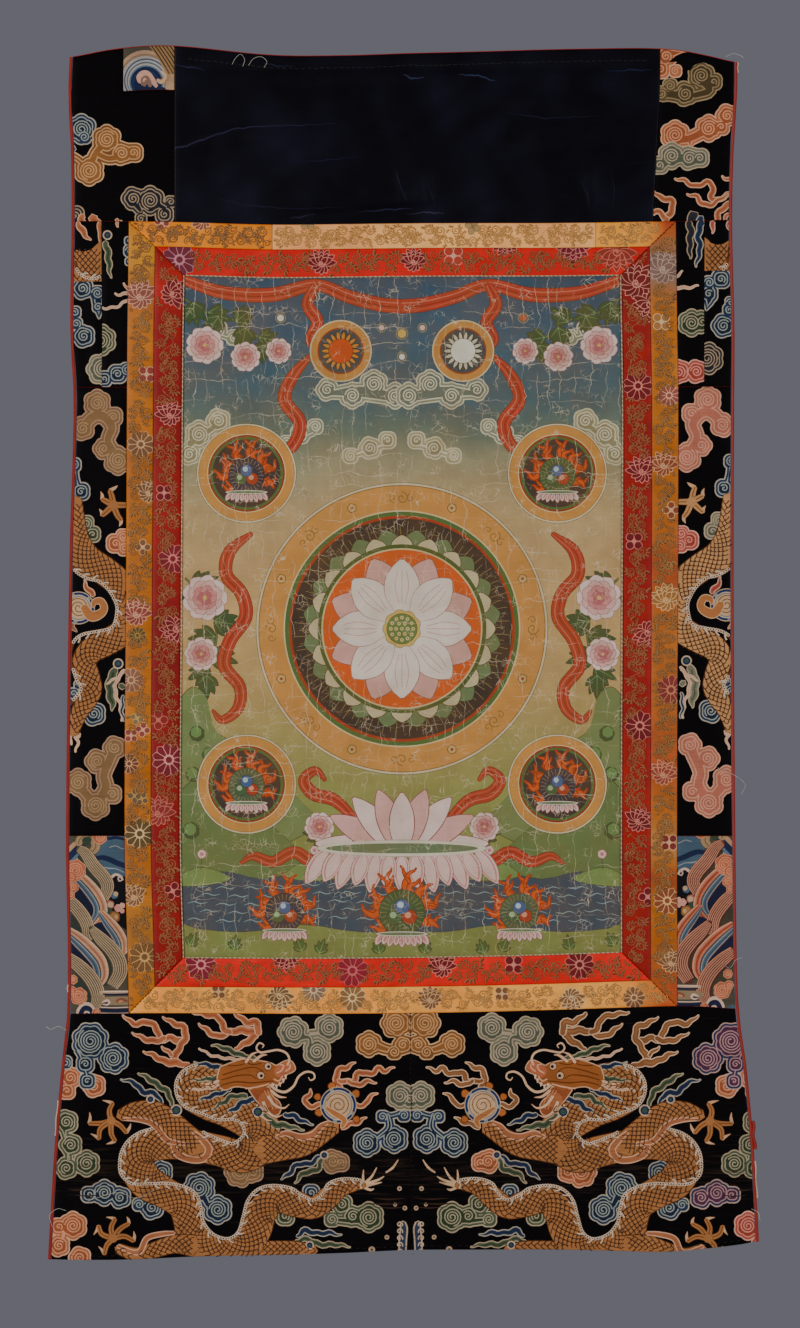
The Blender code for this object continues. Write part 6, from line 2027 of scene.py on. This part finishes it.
def lotus_wheel(x, drop):
    """Rings of tan, green, red and night blue with fine gold rays, about an eight-petalled white lotus."""
    art = drawn_shape(disc(x, drop, 150.0, per=110), "#d5c6a0")
    rings = ((148.0, "#8a6a35"), (147.0, "#cf8f48"), (122.0, "#d9c593"), (120.6, "#3f6a36"),
             (116.4, "#a5301c"), (113.6, "#24262b"))
    art += [(disc(x, drop, r, per=100), paint) for r, paint in rings]
    for number in range(16):
        way = 360 * number / 16
        a, b = way_to(way)
        px, pd = x + 134.5 * a, drop + 134.5 * b
        if number % 2:
            art += [(disc(px, pd, 5.0, 5, per=20), "#7d5c2a"), (disc(px, pd, 4.0, 5, per=20), "#cfa96a"),
                    (disc(px, pd, 1.6, per=10), "#9c3a24")]
        else:
            art += [(curl(px, pd, 6.5, 1.3, way, 1, 1.1), "#8a6a35"),
                    (curl(px + 9 * -b, pd + 9 * a, 4.5, 1.1, way, -1, 0.9), "#8a6a35"),
                    (curl(px - 9 * -b, pd - 9 * a, 4.5, 1.1, way + 180, 1, 0.9), "#8a6a35")]
    for number in range(96):
        rows = []
        for r in (88, 98, 111 if number % 2 else 106):
            way = 2 * math.pi * number / 96 + 0.02 * math.sin(r / 6)
            rows.append((x + r * math.cos(way), drop + r * math.sin(way), 0.5))
        art.append((ribbon(rows, per=2), "#9a8350"))
    art += petals_round(x, drop, 78, 20, 25, 24, "#5f7a52", "#1f3424", 9)
    art += petals_round(x, drop, 76, 20, 21, 22, "#c7b98e", "#3a3a24")
    art += [(disc(x, drop, r, per=80), paint)
            for r, paint in ((87, "#3c5a2c"), (83, "#d2c08a"), (81.4, "#d9561a"))]
    art += petals_round(x, drop, 18, 8, 60, 37, "#d9a396", "#8a4a44", 22.5)
    art += petals_round(x, drop, 16, 8, 56, 36, "#ebdccb", "#a06a5c")
    for number in range(8):
        a, b = way_to(45 * number)
        for side in (-1, 0, 1):
            rows = [(x + a * r - b * side * w, drop + b * r + a * side * w, 0.7)
                    for r, w in ((26, 3.0), (44, 7.0), (60, 4.5))]
            art.append((ribbon(rows, per=3), "#cf938a"))
    art += drawn_shape(disc(x, drop, 19, 9, per=40), "#d6b65c")
    art += drawn_shape(disc(x, drop, 15.5, per=32), "#5c7f46")
    for r, count in ((0, 1), (6, 6), (11.5, 12)):
        for number in range(count):
            angle = 2 * math.pi * number / count
            px, pd = x + r * math.cos(angle), drop + r * math.sin(angle)
            art += [(disc(px, pd, 1.9, per=10), "#e4cf8a"), (disc(px, pd, 0.8, per=8), "#7a5a2a")]
    return art


def scarf(rows):
    """A red silk scarf: a turning band with pale and dark fold lines along it."""
    art = [(ribbon(rows, 0.6), "#5c150f"), (ribbon(rows), "#b23527")]
    for share, paint in ((-0.22, "#d4705a"), (0.08, "#8a2219"), (0.30, "#c9513c")):
        art.append((ribbon(beside(rows, share, 0.08), per=1), paint))
    return art


def medallion(x, drop, glow):
    """A tan halo round burning jewels on a field of gold rays."""
    art = drawn_shape(disc(x, drop, 51.0, per=64), "#d9cda6")
    art += [(disc(x, drop, r, per=60), paint) for r, paint in
            ((49.6, "#a3783e"), (48.8, "#cf8f46"), (40.4, "#e2cf9c"), (39.6, "#8f2a1a"), (37.6, "#3f6a36"),
             (35.0, "#2a2a30"))]
    return art + burning_jewels(x, drop + 2, 30, glow)


def across(art):
    """The same art mirrored over the painting's middle line."""
    return [(loop * (-1, 1) + (2 * WHEEL[0], 0), paint) for loop, paint in art]


CLOUDS = (  # dye, lobes, necks, of the left half
    ("mist", ((-36, 340, 15), (-58, 352, 14), (-84, 346, 12), (-14, 352, 14)),
     (((-12, 354, 18), (-50, 348, 20), (-86, 350, 12)),)),
    ("dun", ((-216, 392, 15), (-196, 378, 13), (-226, 412, 12)), (((-226, 402, 16), (-200, 384, 14)),)),
    ("mist", ((-112, 392, 11), (-96, 384, 9), (-126, 400, 8)), (((-126, 402, 8), (-98, 390, 8)),)),
    ("dun", ((-40, 406, 12), (-22, 398, 10), (-60, 414, 9)), (((-60, 414, 9), (-24, 402, 9)),)),
    ("mist", ((-196, 284, 10), (-180, 292, 9)), (((-198, 288, 8), (-178, 294, 8)),)),
)
SPRAYS = (  # stem, leaves and peonies, of the left half
    (((-234, 250), (-206, 268), (-176, 276), (-146, 300)),
     ((-222, 256, 80, 26), (-206, 266, 20, 26), (-196, 270, 120, 26), (-178, 276, -40, 24),
      (-168, 282, 100, 26), (-154, 292, 10, 24), (-148, 300, 120, 24), (-222, 262, 130, 22)),
     ((-210, 300, 19), (-168, 312, 15, 30), (-134, 306, 13, 12))),
    (((-230, 540), (-206, 566), (-198, 600), (-208, 640)),
     ((-222, 548, -20, 28), (-210, 560, 180, 26), (-200, 584, 10, 30), (-200, 600, 175, 28),
      (-202, 618, 20, 28), (-206, 632, 150, 26), (-208, 640, 90, 26)),
     ((-210, 560, 23), (-214, 618, 17, 25))),
    (((-16, 806), (-52, 812), (-84, 806)),
     ((-34, 810, 60, 22), (-56, 812, 120, 22), (-72, 808, 40, 22), (-86, 806, 190, 24), (-62, 810, -60, 18)),
     ((-92, 796, 15, 10),)),
)
SCARVES = (  # of the left half
    ((-234, 232, 10), (-190, 246, 13), (-140, 248, 14), (-96, 238, 12), (-62, 250, 13), (-30, 258, 14),
     (-7, 260, 14)),
    ((-96, 238, 8), (-104, 258, 12), (-94, 276, 12), (-102, 294, 9), (-96, 306, 3)),
    ((-96, 306, 3), (-118, 330, 11), (-128, 356, 13), (-112, 380, 13), (-120, 404, 12), (-142, 414, 10),
     (-150, 402, 3)),
    ((-162, 494, 4), (-184, 512, 12), (-188, 536, 13), (-172, 556, 13), (-168, 580, 13), (-184, 604, 13),
     (-190, 630, 13), (-174, 652, 12), (-176, 674, 11), (-192, 686, 8), (-202, 676, 2)),
    ((-46, 800, 6), (-74, 770, 12), (-98, 762, 13), (-108, 748, 11), (-96, 738, 8), (-86, 748, 3)),
    ((-52, 824, 5), (-96, 832, 12), (-118, 822, 12), (-140, 832, 11), (-160, 826, 8), (-174, 834, 2)),
)
HILLS = (  # outline and paint, of the left half
    (((-236, 664), (-222, 652), (-208, 664), (-196, 700), (-150, 722), (-120, 760), (-100, 800), (-236, 830)),
     "#6c8450"),
    (((-236, 760), (-212, 744), (-186, 772), (-140, 796), (-110, 840), (-236, 850)), "#5a7846"),
    (((-130, 846), (-112, 834), (-84, 832), (-64, 842), (-80, 850), (-110, 851)), "#6e8f4e"),
    (((-236, 846), (-216, 838), (-196, 842), (-184, 850), (-210, 856), (-236, 856)), "#6e8f4e"),
)
WATER = ((-236, 850), (-190, 842), (-150, 850), (-104, 842), (-60, 848), (-7, 840), (-7, 896), (-50, 904),
         (-110, 896), (-170, 904), (-236, 894))


def painting():
    """All that is painted over the ground, from far to near; most of it mirrors over the middle line."""
    half = []
    for dye, lobes, necks in CLOUDS:
        half += cloud(lobes, necks, dye)
    for stem, leaves, flowers in SPRAYS[:2]:
        half += spray(stem, leaves, flowers)
    for rows, paint in HILLS[:2]:
        half += drawn_shape(closed(rows, 4), paint, "#243c22", 0.7)
    for x, drop, r in ((-218, 700, 8), (-204, 722, 9), (-222, 742, 8), (-150, 770, 7), (-224, 800, 9)):
        half += [(disc(x, drop, r, 7, per=24), "#2c5230"),
                 (disc(x - 1, drop - 1.5, 0.7 * r, 6, per=20), "#5f8a4e")]
    half += drawn_shape(closed(WATER), "#21465a", "#1a2a2c", 0.8)
    for number in range(8):
        for level in range(5):
            x, drop = -228 + 29 * number + 13 * (level % 2), 858 + 8.5 * level + 2 * math.sin(number)
            rows = ((x, drop, 0.3), (x + 7, drop - 2.2, 0.9), (x + 14, drop, 0.9), (x + 21, drop - 1.5, 0.3))
            half.append((ribbon(rows, per=3), "#86a3a0"))
    for rows, paint in HILLS[2:]:
        half += drawn_shape(closed(rows, 4), paint, "#2a4020", 0.6)
    for x, drop in ((-98, 832), (-76, 834), (-214, 836)):
        half += [(ribbon(((x, drop + 4, 0.8), (x + 1, drop - 8, 0.8))), "#33552f"),
                 (disc(x + 1, drop - 12, 5, 5, per=16), PINK_INK),
                 (disc(x + 1, drop - 12, 4.3, 5, per=16), "#e3c2b8"),
                 (disc(x + 1, drop - 12, 2.0, per=10), "#c9757a")]
    for x, drop, way in ((-226, 918, -60), (-180, 922, -80), (-110, 924, -110), (-92, 926, -70),
                         (-30, 926, -100)):
        half += leaf(x, drop, way, 16, ("#3d6636", "#8faa66"))
    half += spray(*SPRAYS[2])
    for rows in SCARVES:
        half += scarf(rows)
    art = half + across(half)
    for x, outer, inner in ((-70, "#c9812f", "#c7481c"), (56, "#c9c4a4", "#e6e2cc")):
        art += drawn_shape(disc(x, 306, 32, per=56), "#d8c79a")
        art += [(disc(x, 306, 30.6, per=54), "#c58742"), (disc(x, 306, 24, per=48), "#8f3a1c"),
                (disc(x, 306, 22.5, per=44), "#33444c")]
        art += petals_round(x, 306, 10, 18, 10.5, 4.4, outer, INK)
        art += drawn_shape(disc(x, 306, 12.5, per=36), inner)
    for x, drop, r, paint in ((-132, 272, 3.4, "#e6e0cc"), (118, 272, 3.4, "#c2542c"),
                              (-7, 288, 4.4, "#d9b45a"), (-28, 282, 2.8, "#e2b9ae"),
                              (14, 282, 2.8, "#e2b9ae"), (-7, 312, 3.0, "#e6e0cc")):
        art += [(disc(x, drop, r + 2.2, per=18), "#8a8560"), (disc(x, drop, r + 1.2, per=18), "#3a5a66"),
                (disc(x, drop, r), paint)]
    art += lotus_wheel(*WHEEL)
    for x, drop, glow in ((-167, 432, "#1c2a44"), (153, 432, "#2c5a3a"),
                          (-167, 752, "#3d5c46"), (153, 752, "#1c2a44")):
        art += medallion(x, drop, glow)
    for number in (-4, 4, -3, 3, -2, 2, -1, 1, 0):
        way, reach = -90 + number * 21, 62 + 7 * abs(number)
        art += [(petal(WHEEL[0], 822, way, reach, 26), RED_INK),
                (petal(WHEEL[0], 822, way, reach - 1.6, 24, 0.6), ("#ead0c4", "#dfaaa0")[number % 2])]
    art += lotus_seat(WHEEL[0], 818, 84, 42, 13)
    for x, r, glow in ((WHEEL[0], 38, "#2c5a3a"), (-128, 32, "#1c2a44"), (114, 32, "#3d5c46")):
        art += burning_jewels(x, 884, r, glow)
    return placed(art)


def crackled(name):
    """Old paint on cotton: dull, earthy colours with soot in patches, pale along upright, level and netted
    cracks, and flaked to the bare ground here and there."""
    made = silk(name, rib=0.9, relief=0.05, rough=(0.78, 0.78), mottle=0.10, streak=0.05)
    tree = made.node_tree
    shader = tree.nodes["Principled BSDF"]
    painted_colour = shader.inputs["Base Color"].links[0].from_socket
    place = add(tree, "ShaderNodeUVMap", {"uv_map": "Cloth"})
    mm = add(tree, "ShaderNodeVectorMath", {"operation": "SCALE"}, {0: place.outputs[0], "Scale": 1 / MM})
    shake = add(tree, "ShaderNodeTexNoise", None, {0: mm.outputs[0], "Scale": 0.035, "Detail": 5.0})
    shaken = add(tree, "ShaderNodeVectorMath", {"operation": "MULTIPLY_ADD"},
                 {0: shake.outputs["Color"], 1: (20.0, 20.0, 0.0), 2: mm.outputs[0]})
    ways = add(tree, "ShaderNodeSeparateXYZ", None, {0: shaken.outputs[0]})
    total = None
    # Cracks across x, then across y, then a net of both: mm apart, mm wide, and how few show.
    for way, pitch, width, few in ((0, 14.0, 0.36, 0.47), (1, 18.0, 0.34, 0.48), (None, 6.0, 0.26, 0.52)):
        if way is None:
            crack = add(tree, "ShaderNodeTexVoronoi", {"feature": "DISTANCE_TO_EDGE"},
                        {"Vector": shaken.outputs[0], "Scale": 1 / pitch})
        else:
            across_way = add(tree, "ShaderNodeMath", {"operation": "MULTIPLY"},
                             {0: ways.outputs[way], 1: 1 / pitch})
            crack = add(tree, "ShaderNodeTexVoronoi",
                        {"voronoi_dimensions": "1D", "feature": "DISTANCE_TO_EDGE"},
                        {"W": across_way.outputs[0], "Scale": 1.0})
        thin = add(tree, "ShaderNodeMapRange", None,
                   {0: crack.outputs["Distance"], 1: 0.0, 2: width / pitch, 3: 1.0, 4: 0.0})
        where = add(tree, "ShaderNodeTexNoise", None,
                    {0: mm.outputs[0], "Scale": 0.35 / pitch, "Detail": 5.0})
        kept = add(tree, "ShaderNodeMapRange", None,
                   {0: where.outputs[0], 1: few, 2: few + 0.12, 3: 0.0, 4: 1.0})
        part = add(tree, "ShaderNodeMath", {"operation": "MULTIPLY"},
                   {0: thin.outputs[0], 1: kept.outputs[0]})
        total = part if total is None else add(tree, "ShaderNodeMath", {"operation": "MAXIMUM"},
                                               {0: total.outputs[0], 1: part.outputs[0]})
    soot = add(tree, "ShaderNodeTexNoise", None,
               {0: mm.outputs[0], "Scale": 0.02, "Detail": 8.0, "Roughness": 0.62})
    dulled = add(tree, "ShaderNodeMapRange", None, {0: soot.outputs[0], 1: 0.30, 2: 0.72, 3: 0.12, 4: 0.40})
    aged = add(tree, "ShaderNodeMix", {"data_type": "RGBA"},
               {0: dulled.outputs[0], 6: painted_colour, 7: colour("#85602f")})
    flake = add(tree, "ShaderNodeTexNoise", None,
                {0: mm.outputs[0], "Scale": 0.16, "Detail": 9.0, "Roughness": 0.7})
    lost = add(tree, "ShaderNodeMapRange", None, {0: flake.outputs[0], 1: 0.66, 2: 0.74, 3: 0.0, 4: 0.75})
    total = add(tree, "ShaderNodeMath", {"operation": "MAXIMUM"}, {0: total.outputs[0], 1: lost.outputs[0]})
    share = add(tree, "ShaderNodeMath", {"operation": "MULTIPLY"}, {0: total.outputs[0], 1: 0.80})
    pale = add(tree, "ShaderNodeMix", {"data_type": "RGBA"},
               {0: share.outputs[0], 6: aged.outputs[2], 7: colour("#d6c3a2")})
    tree.links.new(pale.outputs[2], shader.inputs["Base Color"])
    return made


painted = crackled("Cracked mineral paint")
whole = panel("picture_left", "picture_right", "picture_top", "picture_foot")
picture = sheet("picture", whole, painted, sky, painting(), step=5.0)

# ---- The pipings and the seam cord ---------------------------------------------------------------------
# A red silk piping is folded over each side edge, and a fine twisted cream cord is couched on the seam
# round the painting. Both keep their CAD shapes.

# The piping is bias cloth, rubbed paler; the cord's two plies show as slanting bands.
red_piping = thread("Red silk piping", ("#7a150e", "#a32a1e"), 0.55, 1.0, 0.9)
seam_cord = thread("Twisted cream cord", ("#8a6f50", "#d9c19a"), 0.6, 2.4, 1.2)
TRIMS = (("piping", ("left", "right"), red_piping, "red_silk"),
         ("picture_cord", ("left", "right", "top", "foot"), seam_cord, "cream_cord"))
for name, finish, slot in ((f"{kind}_{side}", *given) for kind, sides, *given in TRIMS for side in sides):
    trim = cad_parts[name]
    trim.data.materials.clear()
    trim.data.materials.append(finish)

# ---- Stitches and loose threads ------------------------------------------------------------------------
# Running stitches in dark silk hold the rod's casing and the hem; slip stitches close the mitres and the
# skirt's middle seam. Old threads have worked loose at the edges.

STITCHES = points_tree("Stitches", BEZIER, {
    "Resolution": 3, "Start": (-0.5, 0.0, -0.1), "Middle": (0.0, 0.0, 0.35), "End": (0.5, 0.0, -0.1)})
# Fine silk threads, softly shining: black for the hems, red for the mitres, faded grey where worked loose.
dark_thread = thread("Dark sewing silk", ("#120e10", "#2c2422"), 0.5, 0.8)
red_thread = thread("Red sewing silk", ("#5c0f0a", "#8f2a1c"), 0.5, 0.8)
pale_thread = thread("Loose pale silk", ("#8f887a", "#cfc8b8"), 0.5, 0.8)


def sewn(name, lines, pitch, length, finish, thick=0.30):
    """Stitches along lines in mm: `length` long, `pitch` apart, and never quite even."""
    chance = np.random.default_rng(len(name))
    spots, spans = [], []
    for rows in lines:
        x, drop, dx, dd, nx, nd, _, _ = stations(rows, pitch)
        turn = chance.normal(0, 0.10, len(x))
        out = chance.normal(0, 0.25, len(x))
        spots.append(np.column_stack([x + nx * out, drop + nd * out, dx + nx * turn, dd + nd * turn, 0 * x]))
        spans.append(np.column_stack([length * chance.uniform(0.8, 1.2, len(x)), 1 + 0 * x, 1.6 + 0 * x]))
    return sown(name, STITCHES, np.concatenate(spots), np.concatenate(spans), finish, thick, 0.8,
                -0.0004)


def level(name, start, end, lift):
    """A line along a level seam, `lift` below it, as rows in mm; all else in metres."""
    at = np.linspace(start, end, 40)
    return np.column_stack([at, LEVEL[name](at) + lift]) / MM


def mitre(side, level_name, inner_side, inner_level):
    """The slanting line between two corners of a frame."""
    start = np.array(crossing(side, level_name)) / MM
    end = np.array(crossing(inner_side, inner_level)) / MM
    return np.array([start + share * (end - start) for share in np.linspace(0.03, 0.97, 6)])


def strand(name, flat, half, finish, behind):
    """One thread along a line of x and drop in metres, `half` a thread thick."""
    grown(name, LINES, flat, [(i, i + 1) for i in range(len(flat) - 1)],
          {"Thread": half, "Finish": finish}, {}, behind)


sewn("casing_stitches", [level("heading_top", -0.225, 0.247, 0.0125)], 6.5, 3.2, dark_thread,
     0.4)
sewn("hem_stitches", [level("hem", -0.36, 0.345, -0.0042)], 7.0, 2.6, dark_thread)
down = np.linspace(0.99, 1.236, 40)
middle_seam = np.column_stack([UPRIGHT["skirt_seam"](down), down]) / MM
sewn("skirt_seam_stitches", [middle_seam], 5.0, 2.2, dark_thread)
MITRES = (("gold", "heading_foot", "red", "red_top"), ("gold", "skirt_top", "red", "red_foot"),
          ("red", "red_top", "picture", "picture_top"), ("red", "red_foot", "picture", "picture_foot"))
sewn("mitre_stitches", [mitre(f"{outer}_{side}", outer_level, f"{inner}_{side}", inner_level)
                        for outer, outer_level, inner, inner_level in MITRES for side in ("left", "right")],
     4.0, 1.8, red_thread)
LOOSE = (  # slot, thread's rows of x and drop, in mm
    ("navy_satin", ((-182, 11), (-178, 4), (-173, 0.5), (-169, 6), (-171, 13))),
    ("navy_satin", ((-165, 12), (-160, 5), (-152, 3), (-146, 8), (-149, 14))),
    ("black_brocade", ((326, 4), (333, 0.5), (340, 2), (345, 5))),
    ("black_brocade", ((322, 936), (330, 941), (336, 933), (343, 930))),
    ("black_brocade", ((318, 735), (334, 742), (346, 752), (342, 762))),
    ("dragon_brocade", ((-352, 1005), (-360, 1001), (-368, 1004), (-373, 1001))),
    ("dragon_brocade", ((-352, 1190), (-361, 1188), (-369, 1195), (-366, 1207))),
    ("dragon_brocade", ((352, 1188), (359, 1192), (361, 1200))),
    ("dragon_brocade", ((-330, 1180), (-300, 1172), (-280, 1178), (-262, 1170))),
)
for number, (slot, rows) in enumerate(LOOSE):
    strand(f"loose_thread_{number + 1}", smooth(rows, 6) * MM, 0.00024, pale_thread, -0.0012)

cream_fray = thread("Frayed cream lining", ("#9c8c74", "#d8cab0"), 0.8, 1.3)  # dry, dusty cotton
FRAYED = (  # side, from and to in metres of drop, how far out in mm, half width in mm, finish
    ("left_side", 1.077, 1.113, -3.5, 0.8, cream_fray),
    ("right_side", 1.098, 1.127, 4.2, 1.7, red_piping),
    ("right_side", 1.139, 1.177, 3.6, 0.9, cream_fray),
    ("right_side", 0.009, 0.020, 3.6, 0.8, cream_fray),
    ("left_side", 0.958, 0.966, -3.6, 0.7, cream_fray),
)
for number, (side, start, end, out, half, finish) in enumerate(FRAYED):
    down = np.linspace(start, end, 12)
    bow = out + 0.5 * half * np.sin(np.linspace(0, 9, 12))
    flat = np.column_stack([UPRIGHT[side](down) + bow * MM, down])
    strand(f"frayed_edge_{number + 1}", flat, half * MM, finish, 0.0006)

# ---- Floor, light and camera ---------------------------------------------------------------------------
# The floor lies below the picture's frame; the backdrop is the even grey of the world.

FLOOR_LEVEL = -1.75
floor = bpy.data.meshes.new("floor")
floor.from_pydata([(x, y, FLOOR_LEVEL) for x, y in ((-1.6, -1.4), (1.6, -1.4), (1.6, 1.4), (-1.6, 1.4))], [],
                  [(0, 1, 2, 3)])
pale = bpy.data.materials.new("Pale matt floor")  # even, pale and without shine
pale.use_nodes = True
pale.node_tree.nodes["Principled BSDF"].inputs["Base Color"].default_value = colour("#b9b9bd")
pale.node_tree.nodes["Principled BSDF"].inputs["Roughness"].default_value = 0.9
floor.materials.append(pale)
floor = bpy.data.objects.new("floor", floor)
bpy.context.scene.collection.objects.link(floor)

world = bpy.data.worlds.new("Grey room")
world.use_nodes = True
world.node_tree.nodes["Background"].inputs[0].default_value = colour("#66666f")
world.node_tree.nodes["Background"].inputs[1].default_value = 1.0
bpy.context.scene.world = world
LIGHTS = (
    ("Key light", (-2.4, -2.6, -0.1), 1.3, 86.0),
    ("Fill light", (2.4, -2.6, -0.5), 1.3, 54.0),
)
for name, spot, size, power in LIGHTS:
    data = bpy.data.lights.new(name, "AREA")
    data.size = size
    data.energy = power
    lamp = bpy.data.objects.new(name, data)
    lamp.location = spot
    lamp.rotation_euler = (Vector((0, 0, -0.62)) - Vector(spot)).to_track_quat("-Z", "Y").to_euler()
    bpy.context.scene.collection.objects.link(lamp)

camera = bpy.data.objects.new("Camera", bpy.data.cameras.new("Camera"))
camera.location = (-0.009, -3.6, -0.6283)
camera.rotation_euler = (math.radians(90), 0, 0)
camera.data.sensor_width = 36.0
camera.data.lens = 94.75
camera.data.clip_end = 50.0
bpy.context.scene.collection.objects.link(camera)
bpy.context.scene.camera = camera
